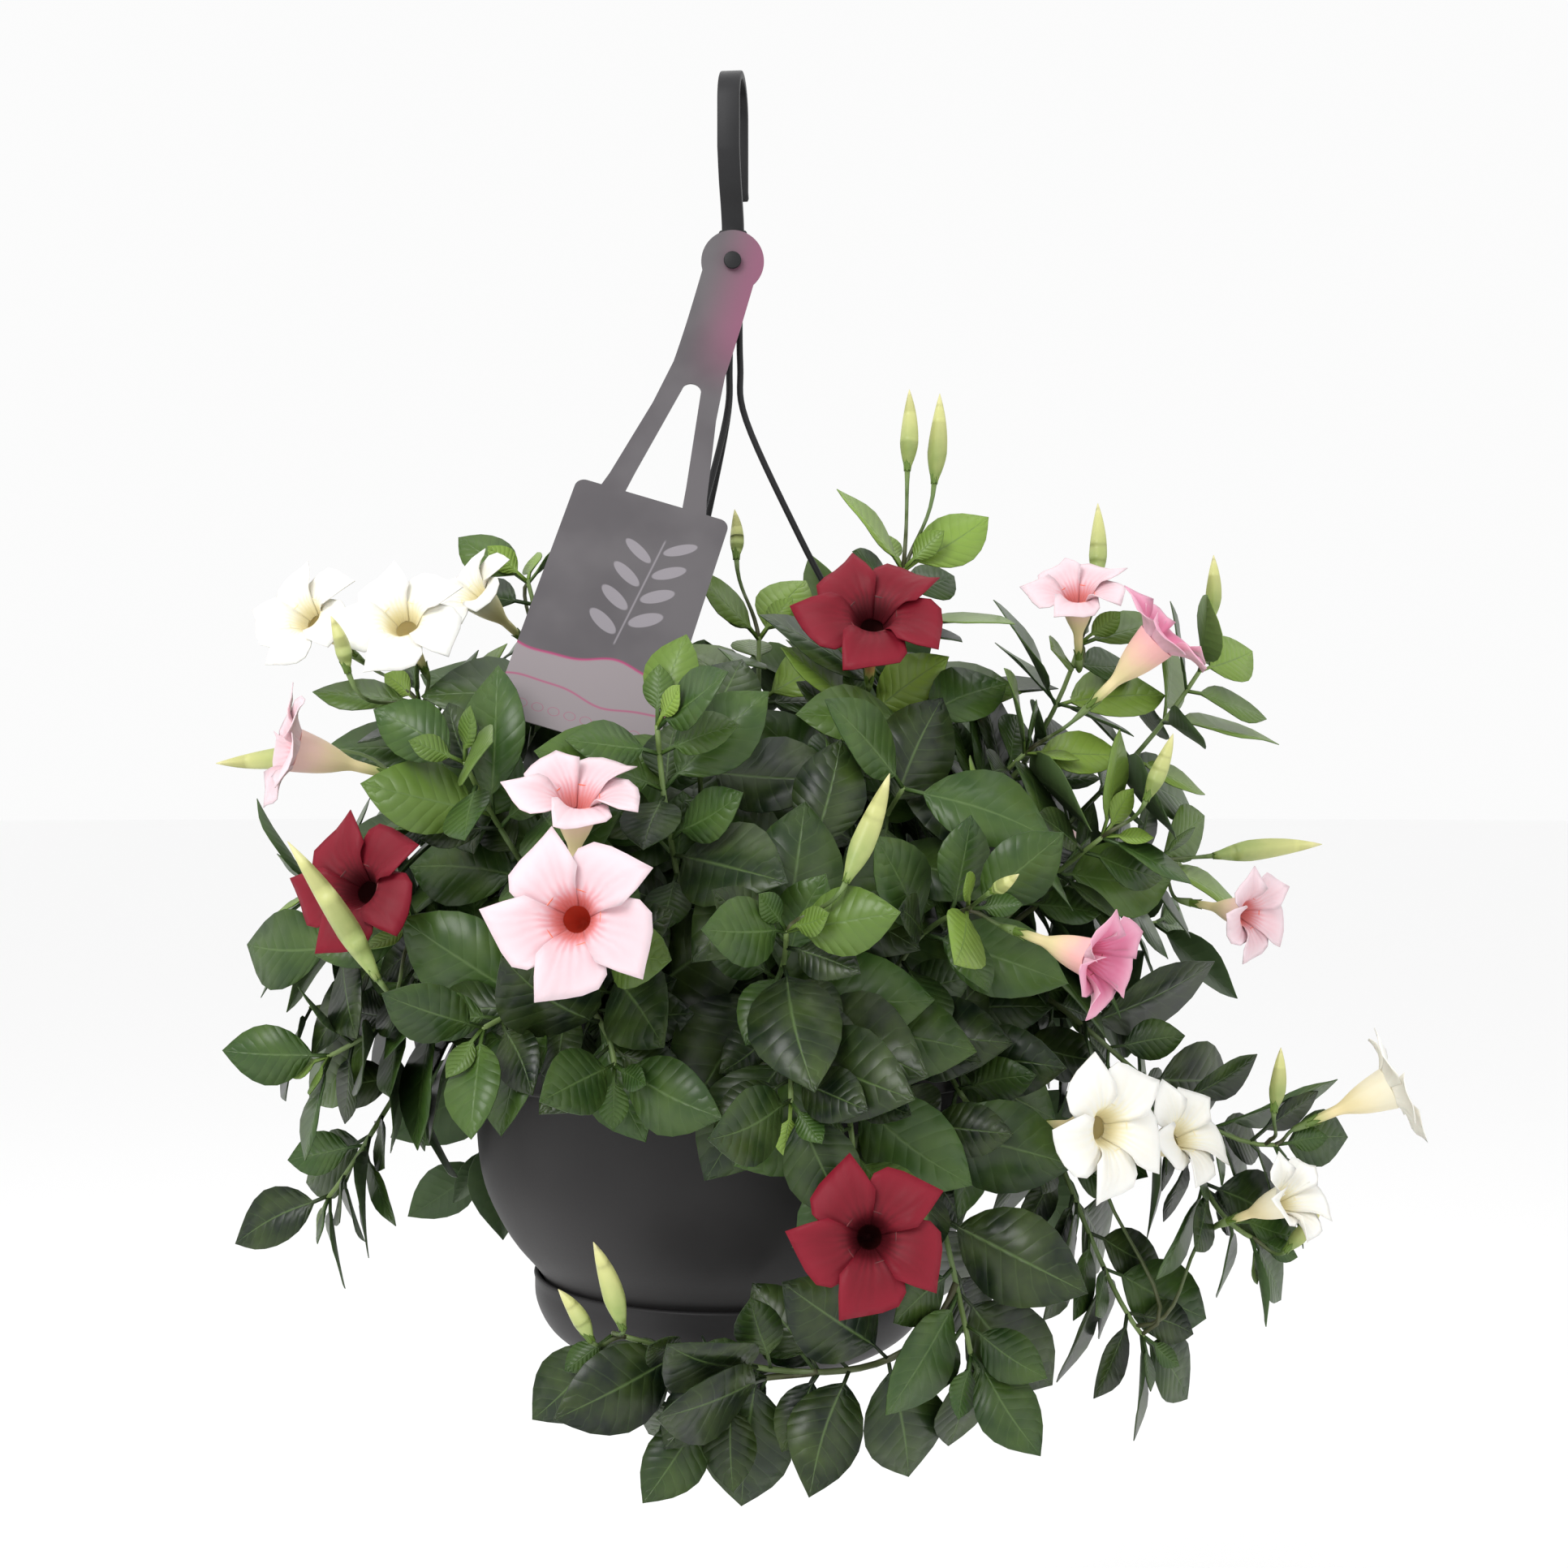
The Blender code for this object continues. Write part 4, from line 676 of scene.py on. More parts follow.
SHOOTS = [
    Shoot("stem_bud_spire", (88, -40, -262), (0.1, 0.0, 1.0), 35, 3),
    Shoot("stem_red_top", (68, -42, -338), (0.0, -0.5, 0.8), 0, 1, parent="stem_bud_spire", at=0.62),
    Shoot("stem_right_top", (182, -15, -298), (0.3, 0.0, 1.0), 70, 3),
    Shoot("stem_pink_right", (150, -48, -356), (0.6, -0.3, 0.6), 70, 3, turn=-14.0),
    Shoot("stem_right_high", (246, -10, -312), (0.5, 0.0, 0.8), 100, 3),
    Shoot("stem_white_left", (-160, -38, -330), (-0.4, -0.3, 0.8), 70, 3),
    Shoot("stem_left_top", (-112, 25, -262), (-0.3, 0.1, 1.0), 0, 3, parent="stem_white_left", at=0.5),
    Shoot("stem_tag_front", (-30, -168, -346), (-0.05, -0.35, 1.0), 70, 3, 0.95),
    Shoot("stem_centre_top", (14, -22, -296), (0.0, 0.0, 1.0), 12, 3),
    Shoot("stem_left_rosette", (-120, -146, -362), (-0.3, -0.5, 0.8), 100, 3, turn=8.0),
    Shoot("stem_pink_left", (-148, -62, -388), (-0.8, -0.2, 0.4), 100, 2, turn=4.0),
    Shoot("stem_red_left", (-150, -100, -440), (-0.6, -0.7, 0.2), 100, 2, turn=8.0),
    Shoot("stem_pink_front", (-55, -168, -446), (-0.1, -0.9, 0.3), 100, 3, 1.05, turn=-6.0),
    Shoot("stem_centre_front", (28, -192, -436), (0.0, -0.7, 0.7), 70, 4, 1.08),
    Shoot("stem_pink_middle", (112, -146, -430), (0.5, -0.7, 0.2), 100, 3),
    Shoot("stem_right_rosette", (186, -70, -398), (0.7, -0.4, 0.6), 100, 3),
    Shoot("stem_right_far", (222, -18, -412), (1.0, 0.0, 0.2), 0, 3,
          parent="stem_right_rosette", at=0.45),
    Shoot("stem_white_low", (118, -112, -528), (0.7, -0.5, -0.5), 108, 3, rise=0.9),
    Shoot("stem_white_far", (278, -45, -556), (0.9, -0.1, 0.1), 108, 4, rise=0.7),
    Shoot("stem_right_low", (262, -62, -600), (0.6, 0.0, -0.3), 0, 2, 0.9,
          parent="stem_white_far", at=0.72),
    Shoot("stem_right_trail", (206, -66, -648), (0.5, -0.2, -0.6), 108, 3, rise=0.75, turn=9.0),
    Shoot("stem_front_right_trail", (112, -158, -632), (0.2, -0.3, -1.0), 108, 4, 1.05, rise=0.75),
    Shoot("stem_red_low", (58, -168, -540), (0.0, -0.6, -0.8), 108, 2, rise=1.1),
    Shoot("stem_front_trail", (-50, -172, -618), (-0.9, -0.2, 0.3), 0, 3,
          parent="stem_front_right_trail", at=0.86),
    Shoot("stem_front_trail_low", (-8, -160, -655), (-0.6, -0.1, -0.6), 0, 2,
          parent="stem_front_trail", at=0.45),
    Shoot("stem_front_middle", (30, -194, -512), (0.0, -0.6, -0.6), 108, 3, 1.05, rise=0.8, turn=4.0),
    Shoot("stem_front_left", (-108, -172, -482), (-0.4, -0.8, -0.2), 108, 3, 1.08, rise=0.6),
    Shoot("stem_front_rim", (-48, -180, -498), (0.1, -0.7, -0.6), 0, 2, 1.05,
          parent="stem_front_left", at=0.5),
    Shoot("stem_left_low", (-196, -86, -506), (-0.8, -0.4, -0.4), 108, 3, rise=0.6),
    Shoot("stem_left_trail", (-206, -40, -584), (-0.6, -0.2, -0.7), 108, 4, rise=0.75),
    Shoot("stem_left_side", (-226, 20, -430), (-0.9, 0.1, 0.2), 100, 3, 1.12),
    Shoot("stem_back_left_trail", (-150, 150, -600), (-0.3, 0.4, -0.9), 108, 3, 1.12, rise=0.75),
    Shoot("stem_back_left", (-150, 170, -440), (-0.5, 0.7, 0.3), 100, 4, 1.12),
    Shoot("stem_back_left_top", (-70, 110, -300), (-0.3, 0.5, 0.8), 70, 3, 1.12),
    Shoot("stem_back_top", (60, 105, -290), (0.2, 0.5, 0.8), 70, 3, 1.12),
    Shoot("stem_back_middle", (0, 210, -430), (0.0, 0.9, 0.3), 100, 4, 1.12),
    Shoot("stem_back_trail", (10, 190, -600), (0.0, 0.3, -0.9), 108, 3, 1.12, rise=0.75),
    Shoot("stem_back_right", (150, 165, -420), (0.6, 0.7, 0.3), 100, 4, 1.12),
    Shoot("stem_back_right_trail", (165, 130, -590), (0.4, 0.3, -0.8), 108, 4, 1.12, rise=0.75),
    Shoot("stem_right_side", (235, 60, -450), (0.9, 0.2, 0.1), 108, 3, 1.12),
]

BLOOMS = [
    Bloom("bloom_white_left_outer", "stem_white_left", (-216, -46, -287), (-0.42, -0.8, 0.42), 0.92, 0.9),
    Bloom("bloom_white_left_inner", "stem_white_left", (-160, -84, -292), (-0.1, -0.85, 0.5), 0.95),
    Bloom("bloom_white_left_back", "stem_left_top", (-136, -8, -272), (-0.5, -0.5, 0.5), 0.85, 0.8),
    Bloom("bloom_blush_left", "stem_pink_left", (-212, -84, -356), (-0.9, -0.35, 0.25), 1.0, 0.7),
    Bloom("bloom_red_left", "stem_red_left", (-170, -142, -420), (-0.35, -0.85, 0.3)),
    Bloom("bloom_blush_front", "stem_pink_front", (-61, -236, -428), (-0.08, -1.0, 0.15), 1.08),
    Bloom("bloom_blush_front_back", "stem_pink_front", (-62, -206, -378), (0.1, -0.55, 0.85), 0.95, 0.8),
    Bloom("bloom_red_top", "stem_red_top", (70, -92, -290), (0.0, -0.8, 0.6), 1.08),
    Bloom("bloom_pink_right_top", "stem_pink_right", (211, -76, -302), (0.68, -0.28, 0.68), 1.0, 0.6),
    Bloom("bloom_blush_right_back", "stem_right_top", (176, -46, -276), (-0.1, -0.6, 0.8), 0.85, 0.8),
    Bloom("bloom_pink_middle", "stem_pink_middle", (164, -178, -450), (0.75, -0.6, -0.25), 0.9, 0.45),
    Bloom("bloom_white_low_front", "stem_white_low", (176, -150, -530), (0.55, -0.8, 0.1)),
    Bloom("bloom_white_low_middle", "stem_right_trail", (222, -88, -544), (0.6, -0.65, 0.4), 0.85, 0.8),
    Bloom("bloom_white_low_far", "stem_right_trail", (270, -96, -574), (0.6, -0.65, 0.4), 0.8, 0.45),
    Bloom("bloom_white_far", "stem_white_far", (332, -52, -526), (0.9, -0.1, 0.42), 0.95, 0.8),
    Bloom("bloom_red_low", "stem_red_low", (64, -214, -566), (0.02, -0.97, 0.2)),
    Bloom("bloom_blush_right", "stem_right_far", (262, -52, -438), (0.6, -0.7, -0.1), 0.8, 0.7),
    Bloom("bloom_red_back", "stem_back_top", (60, 168, -300), (0.1, 0.85, 0.5)),
    Bloom("bloom_white_back", "stem_back_left", (-176, 222, -420), (-0.4, 0.85, 0.3)),
    Bloom("bloom_blush_back", "stem_back_right", (186, 214, -400), (0.5, 0.8, 0.3)),
]

BUDS = [
    Bud("stem_bud_spire", (90, -40, -212), (91, -40, -171)),
    Bud("stem_bud_spire", (104, -36, -218), (107, -34, -172)),
    Bud("stem_right_top", (192, -4, -266), (193, -2, -224)),
    Bud("stem_right_high", (252, -8, -286), (253, -8, -252)),
    Bud("stem_centre_top", (2, -10, -254), (1, -8, -228)),
    Bud("stem_white_left", (-184, -96, -318), (-190, -106, -292)),
    Bud("stem_pink_left", (-206, -42, -356), (-262, -44, -362)),
    Bud("stem_red_left", (-156, -166, -460), (-194, -176, -398)),
    Bud("stem_centre_front", (54, -206, -414), (72, -216, -368)),
    Bud("stem_right_rosette", (204, -86, -380), (216, -92, -348)),
    Bud("stem_right_far", (252, -14, -410), (308, -16, -404)),
    Bud("stem_white_far", (272, -62, -536), (275, -64, -504)),
    Bud("stem_right_low", (276, -70, -604), (292, -76, -582)),
    Bud("stem_front_trail", (-44, -186, -612), (-56, -196, -572)),
    Bud("stem_front_trail", (-58, -184, -618), (-72, -190, -594)),
    Bud("stem_pink_middle", (120, -176, -420), (130, -190, -412)),
]

# Changes that are tried in turn, where a stem or a leaf would cross something
STEM_TRIES = [
    (lift, sway) for sway in (0.0, 0.06, -0.06, 0.12, -0.12, 0.2, -0.2) for lift in (1.0, 1.2, 0.8, 1.4)
]
LEAF_TRIES = [
    (turn, pitch, size)
    for size in (1.0, 0.85, 0.7)
    for turn in (0.0, 0.4, -0.4, 0.8, -0.8, 1.2, -1.2)
    for pitch in (0.0, 0.4, -0.4)
]

# What is kept in sight from the front, as a centre and a radius
OPEN_FRONTS = [
    ((-48, -62, -255), 46), ((-74, -90, -312), 30), ((-70, -118, -585), 50), ((-26, -130, -592), 36),
    ((-104, -90, -580), 28),
]
FRONT_EYE = Vector((27.0, -1100.0, -372.5))
UPRIGHT = Vector((0.0, 0.0, 1.0))
SLANT = Vector((0.36, 0.48, 0.8))
LIT_SPOT = Vector((0.0, 0.0, -0.42))


# Routes and profiles
def smooth_route(start: Vector, start_pull: Vector, end: Vector, end_pull: Vector,
                 count: int) -> list[Vector]:
    """Gives points on a smooth curve between two ends.

    Args:
        start: Where it starts.
        start_pull: Its direction and strength at the start.
        end: Where it ends.
        end_pull: Its direction and strength at the end.
        count: How many points it has.

    Returns:
        The points.
    """
    return interpolate_bezier(start, start + start_pull, end - end_pull, end, count)


def route_spot(route: list[Vector], back: float) -> tuple[Vector, Vector]:
    """Finds a place on a route.

    Args:
        route: The route's points.
        back: The length back from the route's end.

    Returns:
        The point and the route's direction there.
    """
    left = back
    for index in range(len(route) - 1, 0, -1):
        step = route[index - 1] - route[index]
        if step.length >= left:
            return route[index] + step.normalized() * left, -step.normalized()
        left -= step.length
    return route[0].copy(), (route[1] - route[0]).normalized()


def route_length(route: list[Vector]) -> float:
    """Gives the length of a route."""
    return sum((after - before).length for before, after in zip(route, route[1:]))


def nearest_spot(route: list[Vector], spot: Vector) -> Vector:
    """Finds the point of a route that is nearest to a spot.

    Args:
        route: The route's points.
        spot: The spot.

    Returns:
        The nearest point.
    """
    best = route[0]
    for before, after in zip(route, route[1:]):
        run = after - before
        share = max(0.0, min(1.0, (spot - before).dot(run) / max(run.length_squared, 1e-9)))
        point = before + run * share
        if (point - spot).length < (best - spot).length:
            best = point
    return best


def through(points: Sequence[Sequence[float]], steps: int) -> list[Vector]:
    """Gives a smooth route through some points.

    Args:
        points: The points, of two or three numbers.
        steps: How many steps are made between two points.

    Returns:
        The route.
    """
    knots = [Vector(point) for point in points]
    ends = [knots[0] * 2.0 - knots[1]] + knots + [knots[-1] * 2.0 - knots[-2]]
    route = []
    for a, b, c, d in zip(ends, ends[1:], ends[2:], ends[3:]):
        for step in range(steps):
            t = step / steps
            route.append(
                (b * 2.0 + (c - a) * t + (a * 2.0 - b * 5.0 + c * 4.0 - d) * t * t
                 + (b * 3.0 - c * 3.0 + d - a) * t ** 3) * 0.5
            )
    return route + [knots[-1]]


def smooth_profile(points: Profile, steps: int) -> Profile:
    """Gives a smooth profile through some points, with some steps between two of them."""
    return [(across, up) for across, up in through(points, steps)]


def offset_profile(points: Profile, distance: float) -> Profile:
    """Moves a profile to its inner side.

    Args:
        points: The profile.
        distance: How far it moves along its normals.

    Returns:
        The moved profile.
    """
    moved = []
    last = len(points) - 1
    for index, (radius, height) in enumerate(points):
        before = points[max(index - 1, 0)]
        after = points[min(index + 1, last)]
        run = Vector((after[0] - before[0], after[1] - before[1])).normalized()
        moved.append((radius - run.y * distance, height + run.x * distance))
    return moved


def inner_profile(outer: Profile, wall: float, floor: float) -> Profile:
    """Gives the inside of a bowl.

    Args:
        outer: Its outer profile.
        wall: How thick its wall is.
        floor: The height of its floor.

    Returns:
        The inner profile.
    """
    return [(radius, max(height, floor)) for radius, height in offset_profile(outer, wall)]


def arc(centre: tuple[float, float], radius: float, start: float, end: float, steps: int) -> Profile:
    """Gives points on an arc.

    Args:
        centre: Its centre.
        radius: Its radius.
        start: Its first angle, in degrees.
        end: Its last angle, in degrees.
        steps: How many steps it has.

    Returns:
        The points.
    """
    turns = [math.radians(start + (end - start) * step / steps) for step in range(steps + 1)]
    return [(centre[0] + radius * math.cos(turn), centre[1] + radius * math.sin(turn)) for turn in turns]


def between(stations: Sequence[tuple[float, float]], place: float) -> float:
    """Reads a value off a line through stations.

    Args:
        stations: Places and values, by rising place.
        place: Where it is read.

    Returns:
        The value.
    """
    for (low, first), (high, second) in zip(stations, stations[1:]):
        if place <= high:
            share = (place - low) / (high - low)
            return first + (second - first) * max(share, 0.0)
    return stations[-1][1]


def read_along(stations: Profile, count: int) -> list[float]:
    """Reads a number of values off a line through stations, evenly from its place 0 to 1."""
    return [between(stations, index / (count - 1)) for index in range(count)]


# Shapes
def new_shape() -> bmesh.types.BMesh:
    """Starts a shape that carries the growth map."""
    shape = bmesh.new()
    shape.verts.layers.float_color.new(MAP)
    return shape


def turned(profile: Iterable[Sequence[float]], steps: int) -> bmesh.types.BMesh:
    """Turns a profile about Z into a closed shape.

    Args:
        profile: Radius and height along the profile, which starts and ends on the axis.
        steps: How many steps a full turn has.

    Returns:
        The shape.
    """
    shape = new_shape()
    corners = [shape.verts.new((spot[0], 0.0, spot[1])) for spot in profile]
    edges = [shape.edges.new(pair) for pair in zip(corners, corners[1:])]
    bmesh.ops.spin(
        shape, geom=corners + edges, cent=(0, 0, 0), axis=(0, 0, 1), angle=math.tau, steps=steps,
        use_merge=True,
    )
    bmesh.ops.remove_doubles(shape, verts=shape.verts, dist=1e-3)
    bmesh.ops.recalc_face_normals(shape, faces=shape.faces)
    return shape


def block(size: Sequence[float], centre: Sequence[float], rounding: float) -> bmesh.types.BMesh:
    """Makes a block with rounded edges.

    Args:
        size: Its size.
        centre: Its centre.
        rounding: How far its edges are rounded.

    Returns:
        The shape.
    """
    shape = new_shape()
    bmesh.ops.create_cube(shape, size=1.0)
    bmesh.ops.scale(shape, vec=Vector(size), verts=shape.verts)
    bmesh.ops.bevel(
        shape, geom=shape.edges[:], offset=rounding, affect="EDGES", segments=3, profile=0.5, material=-1
    )
    bmesh.ops.translate(shape, vec=Vector(centre), verts=shape.verts)
    return shape


def rod(start: Sequence[float], end: Sequence[float], radius: float, sides: int,
        rounding: float = 0.0) -> bmesh.types.BMesh:
    """Makes a round rod.

    Args:
        start: The middle of its first end.
        end: The middle of its other end.
        radius: Its radius.
        sides: How many sides it has.
        rounding: How far its ends' edges are rounded.

    Returns:
        The shape.
    """
    run = Vector(end) - Vector(start)
    shape = new_shape()
    bmesh.ops.create_cone(
        shape, cap_ends=True, segments=sides, radius1=radius, radius2=radius, depth=run.length
    )
    if rounding:
        rims = [edge for edge in shape.edges if abs(edge.verts[0].co.z - edge.verts[1].co.z) < 1e-4]
        bmesh.ops.bevel(
            shape, geom=rims, offset=rounding, affect="EDGES", segments=3, profile=0.5, material=-1
        )
    bmesh.ops.rotate(shape, matrix=run.to_track_quat("Z", "Y").to_matrix(), verts=shape.verts)
    bmesh.ops.translate(shape, vec=(Vector(start) + Vector(end)) / 2, verts=shape.verts)
    return shape


def frames_along(route: list[Vector]) -> list[Matrix]:
    """Gives a frame at each point of a route, with Z along it and as little twist as possible.

    Args:
        route: The route.

    Returns:
        The frames.
    """
    frames = []
    last = len(route) - 1
    side = (route[1] - route[0]).orthogonal().normalized()
    for index, spot in enumerate(route):
        run = (route[min(index + 1, last)] - route[max(index - 1, 0)]).normalized()
        side = (side - run * side.dot(run)).normalized()
        lift = run.cross(side)
        frames.append(Matrix.Translation(spot) @ Matrix((side, lift, run)).transposed().to_4x4())
    return frames


def sweep(route: list[Vector], radii: Sequence[float], sides: int, tone: float = 0.0,
          ridge: float = 0.0, twist: float = 0.0) -> bmesh.types.BMesh:
    """Sweeps a circle along a route into a closed shape, painted with how far along it is.

    Args:
        route: The route.
        radii: The radius at each point.
        sides: How many sides it has.
        tone: The tone it is painted with.
        ridge: How high five ridges stand, as a share of the radius.
        twist: How far the ridges turn along the route, in radians.

    Returns:
        The shape.
    """
    shape = new_shape()
    layer = shape.verts.layers.float_color[MAP]
    frames = frames_along(route)
    before = frames[0] @ Matrix.Scale(radii[0], 4)
    bmesh.ops.create_circle(shape, cap_ends=True, radius=1.0, segments=sides, matrix=before)
    shape.faces.ensure_lookup_table()
    cap = shape.faces[0]
    rings = [list(cap.verts)]
    for frame_here, radius in zip(frames[1:], radii[1:]):
        grown = bmesh.ops.extrude_face_region(shape, geom=[cap])["geom"]
        cap = next(item for item in grown if isinstance(item, bmesh.types.BMFace))
        after = frame_here @ Matrix.Scale(radius, 4)
        bmesh.ops.transform(shape, matrix=after @ before.inverted(), verts=cap.verts)
        rings.append(list(cap.verts))
        before = after
    for index, ring in enumerate(rings):
        along = index / (len(rings) - 1)
        inverse = frames[index].inverted()
        for corner in ring:
            spot = inverse @ corner.co
            wave = math.cos(5.0 * math.atan2(spot.y, spot.x) + twist * along)
            corner.co = frames[index] @ (spot * (1.0 + ridge * wave))
            corner[layer] = (0.5 + 0.5 * wave, along, tone, 0.0)
    bmesh.ops.recalc_face_normals(shape, faces=shape.faces)
    return shape


class Blank:
    """A thin flat blade, made once, that is bent into many leaves or petals."""

    def __init__(self, columns: int, rows: int, material: int) -> None:
        """Makes the blank.

        Args:
            columns: How many faces it has across.
            rows: How many faces it has along.
            material: The material's number in its pieces.
        """
        shape = bmesh.new()
        bmesh.ops.create_grid(shape, x_segments=columns, y_segments=rows, size=1.0)
        bmesh.ops.solidify(shape, geom=shape.faces[:], thickness=0.1)
        bmesh.ops.recalc_face_normals(shape, faces=shape.faces)
        for face in shape.faces:
            face.smooth = True
            face.material_index = material
        lowest = min(corner.co.z for corner in shape.verts)
        self.spots = [
            (corner.co.x, corner.co.y * 0.5 + 0.5, float(corner.co.z - lowest < 0.05))
            for corner in shape.verts
        ]
        self.mesh = bpy.data.meshes.new("blank")
        shape.to_mesh(self.mesh)
        shape.free()

    def stamp(self, target: bmesh.types.BMesh,
              bend: Callable[[float, float, float], tuple[Vector, tuple]]) -> None:
        """Adds one bent blade to a shape.

        Args:
            target: The shape.
            bend: Gives the place and the growth map for a spot of the blank, which runs from -1
                to 1 across and from 0 to 1 along, with 1 on the underside.
        """
        first = len(target.verts)
        target.from_mesh(self.mesh)
        target.verts.ensure_lookup_table()
        layer = target.verts.layers.float_color[MAP]
        for corner, spot in zip(target.verts[first:], self.spots):
            corner.co, corner[layer] = bend(*spot)

    def drop(self) -> None:
        """Removes the blank."""
        bpy.data.meshes.remove(self.mesh)


class Piece:
    """One piece of the basket, gathered from shapes in millimetres."""

    def __init__(self, name: str, slot: str, materials: Sequence[bpy.types.Material]) -> None:
        """Starts a piece.

        Args:
            name: The piece's name.
            slot: A material slot's name, which is kept but not used.
            materials: Its materials, in order.
        """
        self.name = name
        self.slot = slot
        self.materials = materials
        self.shape = new_shape()

    def add(self, part: bmesh.types.BMesh, material: int = 0) -> None:
        """Adds a shape and frees it.

        Args:
            part: The shape.
            material: The material's number.
        """
        for face in part.faces:
            face.smooth = True
            face.material_index = material
        scratch = bpy.data.meshes.new("scratch")
        part.to_mesh(scratch)
        part.free()
        self.shape.from_mesh(scratch)
        bpy.data.meshes.remove(scratch)

    def hold_inside(self) -> None:
        """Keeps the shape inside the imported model's box."""
        low, high = cad_box[0] / MM, cad_box[1] / MM
        for corner in self.shape.verts:
            place = corner.co
            if any(not low[axis] < place[axis] < high[axis] for axis in range(3)):
                corner.co = [min(max(place[axis], low[axis]), high[axis]) for axis in range(3)]

    def make(self) -> bpy.types.Object:
        """Makes the object in metres, with its materials.

        Returns:
            The object.
        """
        bmesh.ops.scale(self.shape, vec=(MM, MM, MM), verts=self.shape.verts)
        mesh = bpy.data.meshes.new(self.name)
        self.shape.to_mesh(mesh)
        self.shape.free()
        for material in self.materials:
            mesh.materials.append(material)
        return add_object(self.name, mesh)

    def finish(self, thing: bpy.types.Object, *nodes: str) -> None:
        """Joins the object to the basket and reports it.

        Args:
            thing: The object.
            *nodes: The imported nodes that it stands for.
        """
        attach(thing, "root")
        if nodes:
            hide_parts(*nodes)
        log.info("%s: %d faces", thing.name, len(thing.data.polygons))


def add_object(name: str, data: bpy.types.ID) -> bpy.types.Object:
    """Adds an object to the scene, with its name and its data."""
    thing = bpy.data.objects.new(name, data)
    bpy.context.scene.collection.objects.link(thing)
    return thing


def final_mesh(thing: bpy.types.Object) -> bpy.types.Mesh:
    """Gives an object's mesh with its modifiers applied."""
    return bpy.data.meshes.new_from_object(thing.evaluated_get(bpy.context.evaluated_depsgraph_get()))


def thicken(thing: bpy.types.Object, thick: float, even: bool) -> None:
    """Gives a sheet its thickness, half to each side.

    Args:
        thing: The sheet's object.
        thick: The thickness.
        even: Whether it is kept even round bends.
    """
    wall = thing.modifiers.new("thickness", "SOLIDIFY")
    wall.thickness = thick * MM
    wall.offset = 0.0
    wall.use_even_offset = even


def settle(thing: bpy.types.Object) -> None:
    """Applies an object's modifiers and keeps its sharp edges.

    Args:
        thing: The object.
    """
    mesh = final_mesh(thing)
    thing.modifiers.clear()
    old, thing.data = thing.data, mesh
    mesh.name = thing.name
    bpy.data.meshes.remove(old)
    mesh.set_sharp_from_angle(angle=SHARP)


def combine(thing: bpy.types.Object, others: Sequence[bpy.types.Object], operation: str) -> None:
    """Adds or cuts other objects, and removes them.

    Args:
        thing: The object that is changed.
        others: The objects that are added or cut out.
        operation: UNION or DIFFERENCE.
    """
    group = bpy.data.collections.new(thing.name + "_tools")
    for other in others:
        group.objects.link(other)
    change = thing.modifiers.new("combine", "BOOLEAN")
    change.operation = operation
    change.operand_type = "COLLECTION"
    change.collection = group
    change.solver = "EXACT"
    bpy.context.view_layer.update()
    settle(thing)
    for other in others:
        mesh = other.data
        bpy.data.objects.remove(other, do_unlink=True)
        bpy.data.meshes.remove(mesh)
    bpy.data.collections.remove(group)


